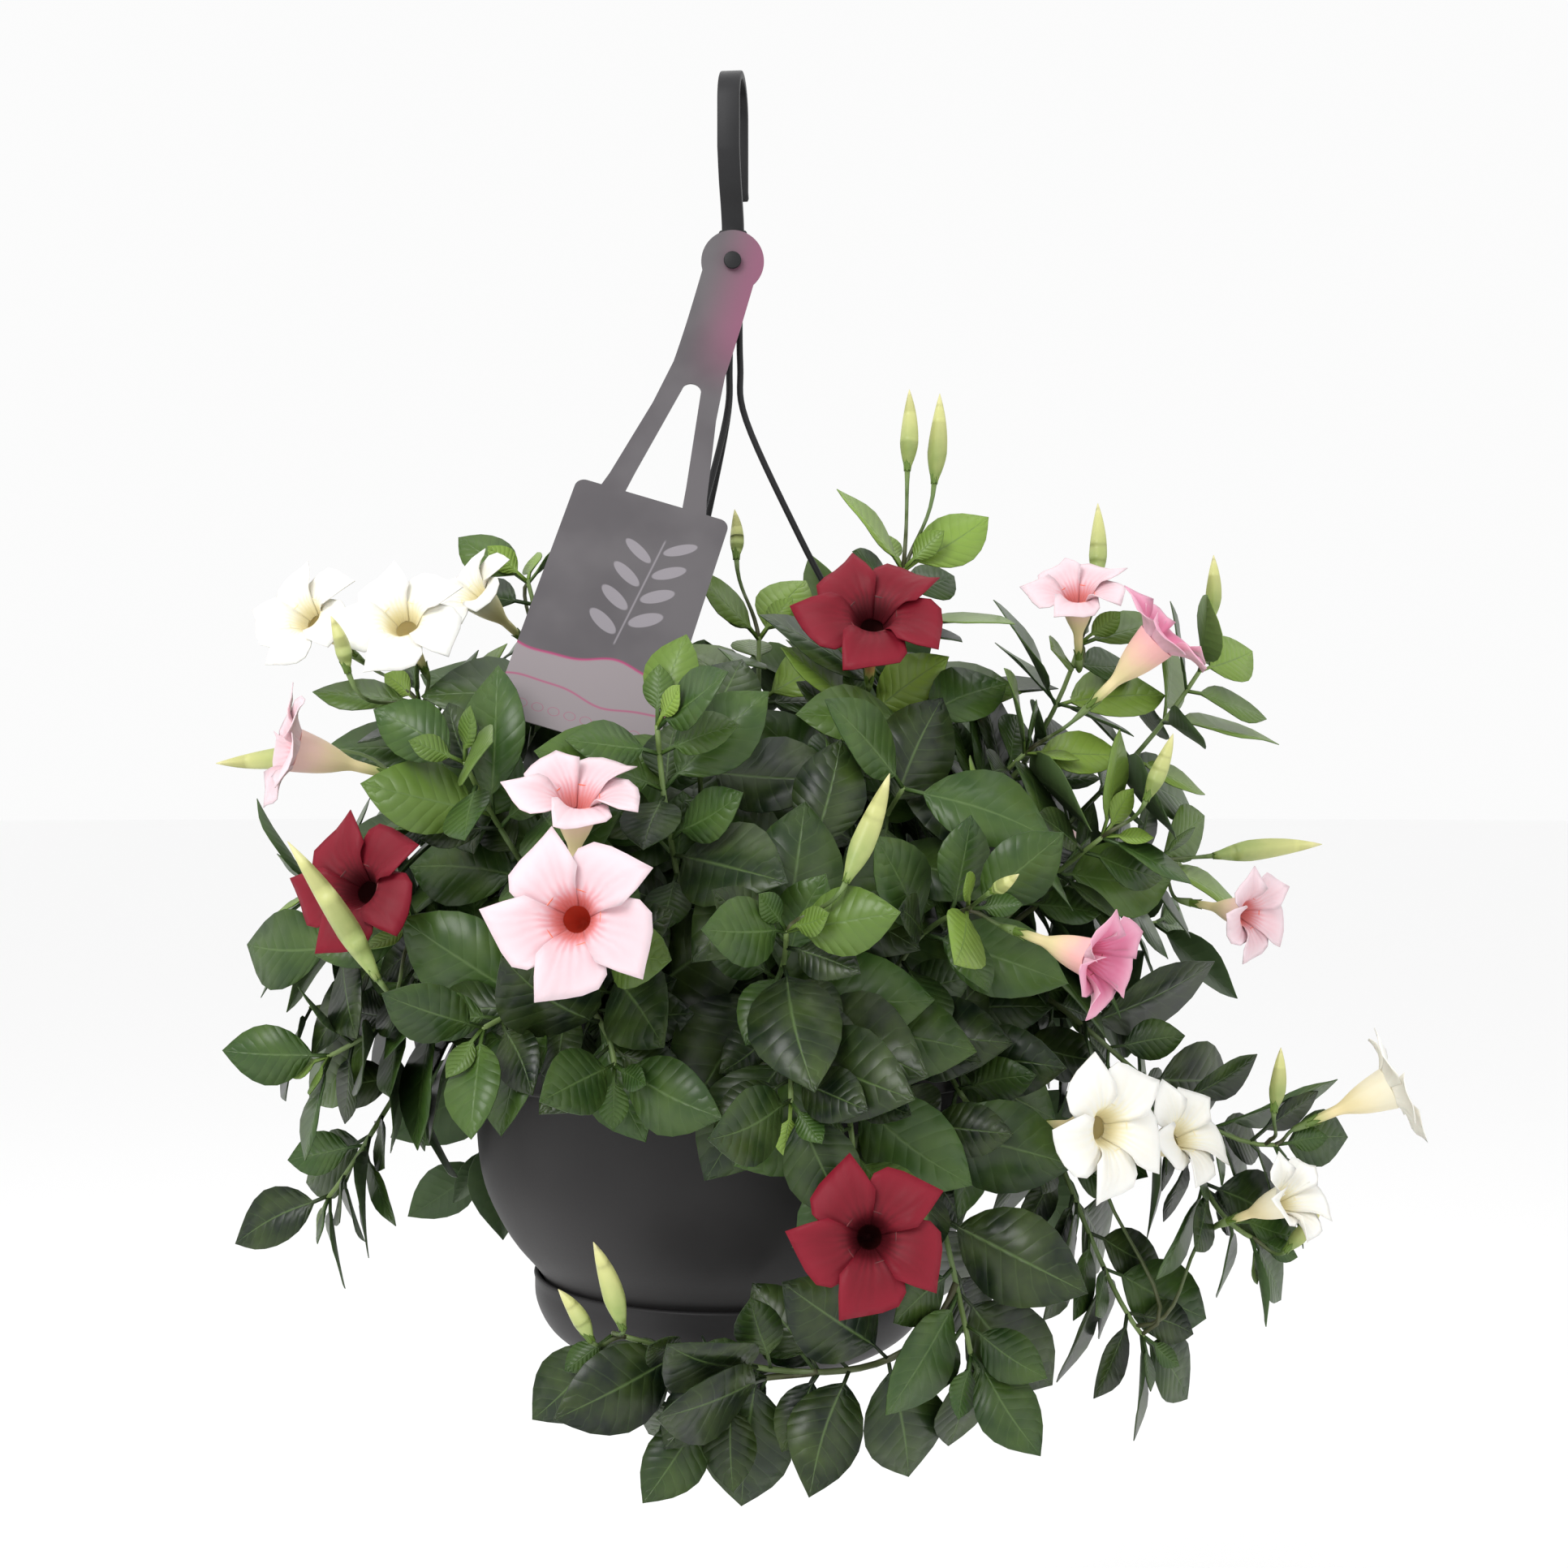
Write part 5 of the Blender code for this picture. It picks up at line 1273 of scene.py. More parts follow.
# Hard parts
@dataclass
class Pot:
    """The hanging pot with its flanged rim, the clips' slots and the drain holes."""

    finish: MouldedPlastic
    outside: Profile = listed(
        (62.0, -665.7), (83.0, -657.0), (96.5, -640.0), (101.4, -626.0),
        (117.5, -606.0), (130.5, -579.0), (134.6, -549.0), (135.5, -519.0),
    )
    wall: float = 2.3
    rim_top: float = -510.0
    rim_flange: float = 2.5
    rim_outer: float = 143.0
    rim_skirt: float = 12.0
    rim_wall: float = 2.0
    mouth_round: float = 0.8
    edge_round: float = 1.2
    skirt_round: float = 0.7
    slot_radius: float = 138.2
    slot_depth: float = 3.2
    slot_width: float = 11.0
    arm_turns: tuple[float, ...] = (0.0, 120.0, 240.0)
    drain_radius: float = 4.0
    drain_circle: float = 42.0
    drain_count: int = 4
    steps: int = 120

    def profile(self) -> Profile:
        """Gives the pot's section: up its inner wall, over the rim and down its outer wall.

        Returns:
            The section.
        """
        outer = smooth_profile(self.outside, 5)
        floor = self.outside[0][1] + self.wall
        inner = inner_profile(outer, self.wall, floor)
        top, edge = self.rim_top, self.rim_outer
        section = [(0.0, floor)] + inner
        mouth, low, soft = inner[-1][0], top - self.rim_skirt, self.skirt_round
        section += [(mouth, top - self.mouth_round), (mouth + self.mouth_round, top)]
        section += arc((edge - self.edge_round, top - self.edge_round), self.edge_round, 90.0, 0.0, 4)
        section += [(edge - 0.5, low + 3.0), (edge, low + 2.2)]
        section += arc((edge - soft, low + soft), soft, 0.0, -90.0, 3)
        section += [(edge - self.rim_wall, top - self.rim_skirt), (edge - self.rim_wall, top - 3.4)]
        section += [(edge - self.rim_wall - 0.9, top - self.rim_flange)]
        section += [(outer[-1][0] + 0.6, top - self.rim_flange), (outer[-1][0], top - 3.2)]
        return section + list(reversed(outer)) + [(0.0, outer[0][1])]

    def cutters(self) -> list[bpy.types.Object]:
        """Makes the tools that cut the slots and the drain holes.

        Returns:
            The tools' objects.
        """
        tools = []
        for index, turn in enumerate(self.arm_turns):
            size = (self.slot_depth, self.slot_width, self.rim_flange * 4.0)
            centre = (self.slot_radius, 0.0, self.rim_top - self.rim_flange / 2)
            shape = block(size, centre, 0.4)
            bmesh.ops.rotate(
                shape, matrix=Matrix.Rotation(math.radians(turn), 3, "Z"), verts=shape.verts
            )
            tools.append(self.tool(f"clip_slot_tool_{index}", shape))
        floor = self.outside[0][1]
        for index in range(self.drain_count):
            turn = math.tau * (index + 0.5) / self.drain_count
            across, deep = self.drain_circle * math.cos(turn), self.drain_circle * math.sin(turn)
            shape = rod((across, deep, floor - 3.0), (across, deep, floor + 6.0), self.drain_radius, 24)
            tools.append(self.tool(f"drain_tool_{index}", shape))
        return tools

    @staticmethod
    def tool(name: str, shape: bmesh.types.BMesh) -> bpy.types.Object:
        """Makes a cutting object from a shape."""
        piece = Piece(name, "", ())
        piece.add(shape)
        return piece.make()

    def build(self) -> None:
        """Builds and dresses the pot."""
        piece = Piece("moulded_pot", "pot_plastic", [self.finish.make()])
        piece.add(turned(self.profile(), self.steps))
        pot = piece.make()
        combine(pot, self.cutters(), "DIFFERENCE")
        piece.finish(pot, "pot")


@dataclass
class Saucer:
    """The dish that is clipped under the pot."""

    finish: MouldedPlastic
    outside: Profile = listed(
        (70.0, -668.0), (83.5, -664.2), (96.5, -654.5), (103.4, -641.0), (104.2, -627.5),
    )
    wall: float = 2.0
    lip: float = 0.9
    steps: int = 120

    def build(self) -> None:
        """Builds and dresses the saucer with its rolled lip."""
        outer = smooth_profile(self.outside, 5)
        floor = self.outside[0][1] + self.wall
        inner = inner_profile(outer, self.wall, floor)
        edge, top = outer[-1]
        lip = arc((edge - self.lip, top - 0.2), self.lip + 0.5, 180.0, 0.0, 6)
        section = [(0.0, floor)] + inner[:-1] + lip + list(reversed(outer[:-1])) + [(0.0, outer[0][1])]
        piece = Piece("clip_on_saucer", "saucer_plastic", [self.finish.make()])
        piece.add(turned(section, self.steps))
        saucer = piece.make()
        settle(saucer)
        piece.finish(saucer, "saucer")


@dataclass
class Soil:
    """The potting soil: a lumpy top with crumbs, fibres of bark and pale grit."""

    finish: PeatFinish
    grit: MouldedPlastic
    pot: Pot
    edge: float = -527.0
    centre: float = -521.0
    lump: float = 2.2
    crumbs: tuple[int, float, float, float] = (420, 1.2, 3.4, 0.3)
    grits: tuple[int, float, float, float] = (90, 0.9, 2.0, 0.7)
    scatter_reach: float = 128.0
    reach: float = 132.0
    seed: int = 31

    def top(self) -> bmesh.types.BMesh:
        """Makes the body of soil with its uneven top.

        Returns:
            The shape.
        """
        floor = self.pot.outside[0][1] + self.pot.wall + 0.3
        wall = inner_profile(smooth_profile(self.pot.outside, 2), self.pot.wall + 0.4, floor)
        wall = [spot for spot in wall if spot[1] < self.edge - 3.0]
        reach = wall[-1][0]
        crown = [
            (reach * share, self.edge + (self.centre - self.edge) * (1.0 - share * share))
            for share in (0.0, 0.08, 0.16, 0.25, 0.34, 0.43, 0.52, 0.61, 0.7, 0.79, 0.88, 0.95, 1.0)
        ]
        shape = turned([(0.0, floor)] + wall + list(reversed(crown)), 72)
        for corner in shape.verts:
            if corner.co.z > self.edge - 1.0:
                lift = noise.noise(corner.co * 0.055) + 0.6 * noise.noise(corner.co * 0.16)
                corner.co.z += lift * self.lump
        return shape

    def scatter(self, rng: random.Random, count: int, low: float, high: float,
                lift: float) -> list[bmesh.types.BMesh]:
        """Makes small lumps that lie on the soil.

        Args:
            rng: The random draws.
            count: How many.
            low: The smallest radius.
            high: The largest radius.
            lift: How far a lump stands out, as a share of its radius.

        Returns:
            The lumps.
        """
        lumps = []
        for _ in range(count):
            radius = rng.uniform(low, high)
            turn, ring = rng.uniform(0.0, math.tau), self.scatter_reach * math.sqrt(rng.random())
            shape = new_shape()
            bmesh.ops.create_icosphere(shape, subdivisions=1, radius=radius)
            stretch = Vector((rng.uniform(0.7, 1.5), rng.uniform(0.7, 1.3), rng.uniform(0.5, 0.9)))
            bmesh.ops.scale(shape, vec=stretch, verts=shape.verts)
            spin = Matrix.Rotation(rng.uniform(0.0, math.tau), 3, (0.3, 0.5, 0.8))
            bmesh.ops.rotate(shape, matrix=spin, verts=shape.verts)
            height = self.edge + (self.centre - self.edge) * (1.0 - (ring / self.reach) ** 2)
            spot = Vector((ring * math.cos(turn), ring * math.sin(turn), height + radius * lift))
            bmesh.ops.translate(shape, vec=spot, verts=shape.verts)
            lumps.append(shape)
        return lumps

    def build(self) -> None:
        """Builds and dresses the soil."""
        rng = random.Random(self.seed)
        piece = Piece("peat_in_pot", "peat_soil", [self.finish.make(), self.grit.make()])
        piece.add(self.top())
        for material, kind in enumerate((self.crumbs, self.grits)):
            for shape in self.scatter(rng, *kind):
                piece.add(shape, material)
        piece.finish(piece.make(), "potting_soil")


@dataclass
class Hanger:
    """The flat hook, and the hanger that it stands in: a boss, a peg, and three arms with clips."""

    finish: MouldedPlastic
    pot: Pot
    inner: float = 16.0
    thick: float = 4.4
    width: float = 11.6
    turn: float = -6.0
    bow_steps: int = 30
    neck: Profile = listed(
        (0.0, -104.0), (0.0, -80.0), (-4.5, -68.0), (-12.5, -55.0),
    )
    neck_top: float = -40.0
    leg: Profile = listed((0.0, -54.0), (2.5, -58.0))
    boss_width: float = 15.0
    boss_depth: float = 9.0
    boss_back: float = 0.4
    boss_top: float = -80.0
    boss_bottom: float = -116.0
    peg_height: float = -98.0
    peg_radius: float = 2.3
    peg_span: tuple[float, float] = (-3.0, -12.4)
    head_radius: float = 4.6
    head_span: tuple[float, float] = (-11.6, -13.6)
    arm_radius: float = 1.7
    arm_route: Profile = listed(
        (3.4, -108.0), (3.8, -150.0), (7.0, -180.0), (35.0, -241.0), (64.0, -297.0),
        (92.0, -357.0), (116.0, -421.0), (133.0, -478.0), (138.2, -504.0),
    )
    shoulder: Point = (2.4, 15.0, 6.4)
    shoulder_rise: float = 3.6
    clip_neck: Point = (2.2, 9.0, 8.0)
    clip_neck_drop: float = 3.0
    foot: Point = (2.4, 14.0, 3.0)
    foot_gap: float = 0.4

    def arm_points(self, turn: float) -> list[Vector]:
        """Gives one arm's route, for its turn about the pot's axis."""
        across = Matrix.Rotation(math.radians(turn), 3, "Z")
        return [across @ Vector((radius, 0.0, height)) for radius, height in self.arm_route]

    def hook_line(self) -> Profile:
        """Gives the hook's middle line in its own plane, from the boss over the top to the leg.

        Returns:
            The line.
        """
        middle = self.inner + self.thick / 2
        rise = smooth_profile(self.neck + [(-middle, self.neck_top)], 5)
        bow = arc((0.0, -self.inner), middle, 180.0, 0.0, self.bow_steps)
        leg = [(across + middle, up) for across, up in smooth_profile(self.leg, 3)]
        return rise + bow + leg

    def build_hook(self, plastic: bpy.types.Material) -> None:
        """Builds the flat hook: a strip along its line that is given its thickness.

        Args:
            plastic: Its material.
        """
        shape = new_shape()
        half = self.width / 2
        corners = [shape.verts.new((-half, depth, height)) for depth, height in self.hook_line()]
        edges = [shape.edges.new(pair) for pair in zip(corners, corners[1:])]
        grown = bmesh.ops.extrude_edge_only(shape, edges=edges)["geom"]
        moved = [item for item in grown if isinstance(item, bmesh.types.BMVert)]
        bmesh.ops.translate(shape, vec=(2 * half, 0.0, 0.0), verts=moved)
        bmesh.ops.rotate(shape, matrix=Matrix.Rotation(math.radians(self.turn), 3, "Z"),
                         verts=shape.verts)
        piece = Piece("flat_hook", "hanger_plastic", [plastic])
        piece.add(shape)
        hook = piece.make()
        thicken(hook, self.thick, even=True)
        soft = hook.modifiers.new("soft_edges", "BEVEL")
        soft.width = 0.8 * MM
        soft.segments = 2
        soft.limit_method = "ANGLE"
        soft.angle_limit = math.radians(50.0)
        settle(hook)
        piece.finish(hook, "hook")

    def parts(self) -> list[bmesh.types.BMesh]:
        """Makes the boss, the peg, the arms and the clips.

        Returns:
            Their shapes, with the boss first.
        """
        size = (self.boss_width, self.boss_depth, self.boss_top - self.boss_bottom)
        shapes = [block(size, (0.0, -self.boss_back, (self.boss_top + self.boss_bottom) / 2), 1.6)]
        for (back, front), radius, rounding in (
            (self.peg_span, self.peg_radius, 0.0), (self.head_span, self.head_radius, 0.6)
        ):
            ends = (0.0, back, self.peg_height), (0.0, front, self.peg_height)
            shapes.append(rod(*ends, radius, 28, rounding))
        rim = self.pot.rim_top
        clips = (
            (self.shoulder, rim + self.shoulder_rise, 0.7),
            (self.clip_neck, rim - self.clip_neck_drop, 0.5),
            (self.foot, rim - self.pot.rim_flange - self.foot_gap - self.foot[2] / 2, 0.7),
        )
        for turn in self.pot.arm_turns:
            route = through(self.arm_points(turn), 7)
            arm = sweep(route, [self.arm_radius] * len(route), 14)
            walls = [face for face in arm.faces if all(len(edge.link_faces) > 2 for edge in face.edges)]
            bmesh.ops.delete(arm, geom=walls, context="FACES_ONLY")
            shapes.append(arm)
            spin = Matrix.Rotation(math.radians(turn), 3, "Z")
            for size, height, rounding in clips:
                shape = block(size, (self.pot.slot_radius, 0.0, height), rounding)
                bmesh.ops.rotate(shape, matrix=spin, verts=shape.verts)
                shapes.append(shape)
        return shapes

    def build(self) -> None:
        """Builds and dresses the hook, and the hanger as one moulding."""
        piece = Piece("boss_and_arms", "hanger_plastic", [self.finish.make()])
        self.build_hook(piece.materials[0])
        others = []
        shapes = self.parts()
        piece.add(shapes[0])
        for index, shape in enumerate(shapes[1:]):
            others.append(Pot.tool(f"hanger_part_{index}", shape))
        hanger = piece.make()
        combine(hanger, others, "UNION")
        hanger.data.materials.clear()
        hanger.data.materials.append(piece.materials[0])
        for face in hanger.data.polygons:
            face.material_index = 0
        piece.finish(hanger, "hanger")


@dataclass
class HangTag:
    """The printed card that hangs from the hanger's peg by its two straps."""

    finish: CardFinish
    peg_height: float
    thick: float = 0.8
    head: float = 16.5
    hole: float = 2.7
    panel_top: float = -146.0
    panel_bottom: float = -284.0
    panel_half: float = 40.0
    corner: float = 5.0
    left_edge: Profile = listed(
        (-14.0, -30.0), (-14.0, -62.0), (-17.0, -90.0), (-25.5, -138.0), (-27.5, -146.0),
    )
    window_left: Profile = listed(
        (-6.0, -84.0), (-13.5, -134.0), (-15.0, -146.0),
    )
    notch: float = 5.0
    notch_top: float = -72.0
    roll: float = 16.4
    plane: float = -9.4
    bend_start: float = -22.0
    bend_end: float = -62.0
    lean: float = 25.0
    bend_step: float = 2.5
    card_step: float = 12.0

    def outline(self) -> Profile:
        """Gives the outer outline, anticlockwise from the left of the head.

        Returns:
            The outline.
        """
        half, corner = self.panel_half, self.corner
        left = self.left_edge + arc((-half + corner, self.panel_top - corner), corner, 90.0, 180.0, 8)
        left += arc((-half + corner, self.panel_bottom + corner), corner, 180.0, 270.0, 8)
        right = [(-across, up) for across, up in reversed(left)]
        return left + right + arc((0.0, 0.0), self.head, -32.0, 212.0, 40)

    def window(self) -> Profile:
        """Gives the outline of the gap between the two straps."""
        right = [(-across, up) for across, up in reversed(self.window_left)]
        notch = arc((0.0, self.notch_top - self.notch), self.notch, 20.0, 160.0, 12)
        return right + notch + self.window_left

    def spot(self, across: float, up: float) -> Vector:
        """Bends and hangs a point of the flat tag.

        Args:
            across: Its place across the tag.
            up: Its place up the tag, from the centre of the head.

        Returns:
            The point in space.
        """
        start, end, lean = self.bend_start, self.bend_end, math.radians(self.lean)
        radius = (start - end) / lean
        if up > start:
            depth, height = 0.0, up
        elif up > end:
            turn = (start - up) / radius
            depth, height = -radius * (1.0 - math.cos(turn)), start - radius * math.sin(turn)
        else:
            depth = -radius * (1.0 - math.cos(lean)) + (up - end) * math.sin(lean)
            height = start - radius * math.sin(lean) + (up - end) * math.cos(lean)
        roll = math.radians(self.roll)
        x = across * math.cos(roll) + height * math.sin(roll)
        z = -across * math.sin(roll) + height * math.cos(roll)
        return Vector((x, self.plane + depth, self.peg_height + z))

    def flat_mesh(self) -> bpy.types.Mesh:
        """Makes the flat filled outline as a mesh.

        Returns:
            The mesh, in millimetres.
        """
        curve = bpy.data.curves.new("tag_outline", "CURVE")
        curve.dimensions = "2D"
        curve.fill_mode = "BOTH"
        hole = arc((0.0, 0.0), self.hole, 0.0, 348.0, 29)
        for outline in (self.outline(), self.window(), hole):
            spline = curve.splines.new("POLY")
            spline.points.add(len(outline) - 1)
            spline.use_cyclic_u = True
            for knot, (across, up) in zip(spline.points, outline):
                knot.co = (across, up, 0.0, 1.0)
        flat = add_object("tag_outline", curve)
        mesh = final_mesh(flat)
        bpy.data.objects.remove(flat, do_unlink=True)
        bpy.data.curves.remove(curve)
        return mesh

    def build(self) -> None:
        """Builds and dresses the tag, bent forward on its way down."""
        mesh = self.flat_mesh()
        shape = new_shape()
        shape.from_mesh(mesh)
        bpy.data.meshes.remove(mesh)
        bmesh.ops.remove_doubles(shape, verts=shape.verts, dist=1e-3)
        levels = [self.bend_start + 2.0 - self.bend_step * step for step in range(18)]
        levels += [self.bend_end - self.card_step * step for step in range(1, 19)]
        for level in levels:
            parts = shape.verts[:] + shape.edges[:] + shape.faces[:]
            bmesh.ops.bisect_plane(
                shape, geom=parts, plane_co=(0, level, 0), plane_no=(0, 1, 0), dist=1e-4
            )
        layer = shape.verts.layers.float_color[MAP]
        width, height = self.finish.width * CM, self.finish.height * CM
        for corner in shape.verts:
            across, up = corner.co.x, corner.co.y
            corner[layer] = (across / width + 0.5, -up / height, 0.0, 0.0)
            corner.co = self.spot(across, up)
        bmesh.ops.recalc_face_normals(shape, faces=shape.faces)
        piece = Piece("printed_hang_tag", "printed_card", [self.finish.make()])
        piece.add(shape)
        tag = piece.make()
        thicken(tag, self.thick, even=False)
        settle(tag)
        piece.finish(tag, "hang_tag")


# Where the plants go
def ring_faces(rings: int, sides: int) -> list[tuple[int, ...]]:
    """Joins rings of points, which are numbered one ring after another.

    Args:
        rings: How many rings there are.
        sides: How many points a ring has.

    Returns:
        The triangles.
    """
    faces = []
    for ring in range(rings - 1):
        for corner in range(sides):
            a, b = ring * sides + corner, ring * sides + (corner + 1) % sides
            faces += [(a, b, b + sides), (a, b + sides, a + sides)]
    return faces


def tube_shell(route: list[Vector], radii: Sequence[float]) -> Shell:
    """Gives a four-sided tube that a test is made with.

    Args:
        route: The tube's route.
        radii: Its radius at each point.

    Returns:
        Its points and triangles.
    """
    points = []
    for index, spot in enumerate(route):
        run = (route[min(index + 1, len(route) - 1)] - route[max(index - 1, 0)]).normalized()
        side = run.cross(SLANT).normalized()
        lift = side.cross(run)
        for across, up in ((1, 0), (0, 1), (-1, 0), (0, -1)):
            points.append(spot + (side * across + lift * up) * radii[index])
    return points, ring_faces(len(route), 4)


def profile_shell(profile: Profile, segments: int) -> Shell:
    """Gives a turned surface that a test is made with.

    Args:
        profile: Its radii and heights.
        segments: How many segments a turn has.

    Returns:
        Its points and triangles.
    """
    turns = [math.tau * step / segments for step in range(segments)]
    points = [Vector((radius * math.cos(turn), radius * math.sin(turn), height))
              for radius, height in profile for turn in turns]
    return points, ring_faces(len(profile), segments)


class Clearance:
    """What is already placed, as trees of triangles with their boxes, sorted into cells."""

    def __init__(self, cell: float = 45.0) -> None:
        """Starts empty.

        Args:
            cell: The size of a cell.
        """
        self.cell = cell
        self.trees: list[tuple[str, Vector, Vector, BVHTree]] = []
        self.cells: dict[tuple[int, int, int], list[int]] = {}

    @staticmethod
    def box(points: Sequence[Vector]) -> tuple[Vector, Vector]:
        """Gives the lowest and highest corner of some points."""
        low = Vector([min(point[axis] for point in points) for axis in range(3)])
        high = Vector([max(point[axis] for point in points) for axis in range(3)])
        return low, high

    def keys(self, low: Vector, high: Vector) -> Iterable[tuple[int, int, int]]:
        """Gives the cells that a box reaches into."""
        spans = [range(int(low[a] // self.cell), int(high[a] // self.cell) + 1) for a in range(3)]
        return ((x, y, z) for x in spans[0] for y in spans[1] for z in spans[2])

    def add(self, owner: str, shell: Shell) -> None:
        """Adds a shell.

        Args:
            owner: The name that it belongs to.
            shell: Its points and triangles.
        """
        points, faces = shell
        low, high = self.box(points)
        for key in self.keys(low, high):
            self.cells.setdefault(key, []).append(len(self.trees))
        self.trees.append((owner, low, high, BVHTree.FromPolygons(points, faces)))

    def is_clear(self, shell: Shell, skip: Sequence[str] = ()) -> bool:
        """Tells whether a shell crosses nothing.

        Args:
            shell: Its points and triangles.
            skip: Owners whose shells don't count.

        Returns:
            True where it is clear.
        """
        points, faces = shell
        low, high = self.box(points)
        near = sorted({index for key in self.keys(low, high) for index in self.cells.get(key, ())})
        tree = None
        for index in near:
            owner, other_low, other_high, other = self.trees[index]
            if owner in skip:
                continue
            if any(low[a] > other_high[a] or high[a] < other_low[a] for a in range(3)):
                continue
            tree = tree or BVHTree.FromPolygons(points, faces)
            if tree.overlap(other):
                return False
        return True


@dataclass
class BloomForm:
    """The sizes of a bloom of size 1, and what its form tells the plan."""

    foot: tuple[float, float] = (2.0, 0.0)
    waist: tuple[float, float] = (2.7, 19.0)
    flare: tuple[float, float] = (12.0, 44.6)
    mouth: tuple[float, float] = (11.4, 46.0)
    pit: float = 17.0
    reach: float = 38.0
    petals: int = 5
    start: float = 90.0
    left: Point = (8.0, 28.0, 48.5)
    tip: Point = (48.0, 38.0, 45.5)
    right: Point = (67.0, 26.5, 50.5)
    middle: Point = (38.0, 23.0, 48.9)
    thick: float = 1.4
    folded_reach: float = 0.35
    folded_rise: float = 16.0
    folded_tube: float = 0.3

    @staticmethod
    def axes(bloom: Bloom) -> tuple[Vector, Vector, Vector]:
        """Gives a bloom's facing direction and two directions across it."""
        facing = Vector(bloom.facing).normalized()
        across = facing.cross(UPRIGHT).normalized()
        return facing, across, across.cross(facing)

    def base(self, bloom: Bloom) -> Vector:
        """Gives the point where a bloom's tube starts."""
        return Vector(bloom.mouth) - self.axes(bloom)[0] * (self.mouth[1] * bloom.size)

    def shell(self, bloom: Bloom) -> Shell:
        """Gives a bloom's plain form that a test is made with.

        Args:
            bloom: The bloom.

        Returns:
            Its points and triangles.
        """
        facing, across, up = self.axes(bloom)
        base = self.base(bloom)
        fold = 1.0 - bloom.opening
        tube = 1.0 - self.folded_tube * fold
        reach = 1.0 - self.folded_reach * fold
        points, faces = [], []

        def add(turn: float, radius: float, height: float) -> int:
            """Adds a point.

            Args:
                turn: Its turn, in degrees.
                radius: Its radius.
                height: Its height.

            Returns:
                Its number.
            """
            angle = math.radians(turn)
            spot = (across * math.cos(angle) + up * math.sin(angle)) * radius + facing * height
            points.append(base + spot * bloom.size)
            return len(points) - 1

        starts = [self.start + 360.0 / self.petals * petal for petal in range(self.petals)]
        foot, waist, flare, mouth = [
            [add(start, radius * share, height) for start in starts]
            for (radius, height), share in (
                (self.foot, 1.0), (self.waist, 1.0), (self.flare, tube), (self.mouth, tube)
            )
        ]
        pit = add(0.0, 0.0, self.pit)
        for k, start in enumerate(starts):
            n = (k + 1) % self.petals
            left, tip, right, top, under = [
                add(start + turn, radius * reach, height + self.folded_rise * fold + lift)
                for (turn, radius, height), lift in (
                    (self.left, 0.0), (self.tip, 0.0), (self.right, 0.0),
                    (self.middle, self.thick / 2), (self.middle, -self.thick / 2),
                )
            ]
            faces += [(foot[k], foot[n], waist[n]), (foot[k], waist[n], waist[k])]
            faces += [(waist[k], waist[n], flare[n]), (waist[k], flare[n], flare[k])]
            faces += [(mouth[k], pit, mouth[n]), (mouth[n], mouth[k], top), (flare[n], under, flare[k])]
            faces += [(mouth[k], left, top), (left, tip, top), (tip, right, top), (right, mouth[n], top)]
            faces += [(flare[k], under, left), (left, under, tip), (tip, under, right)]
            faces += [(right, under, flare[n]), (mouth[k], flare[k], left), (flare[n], mouth[n], right)]
        faces += [(foot[0], foot[k + 1], foot[k]) for k in range(1, self.petals - 1)]
        return points, faces


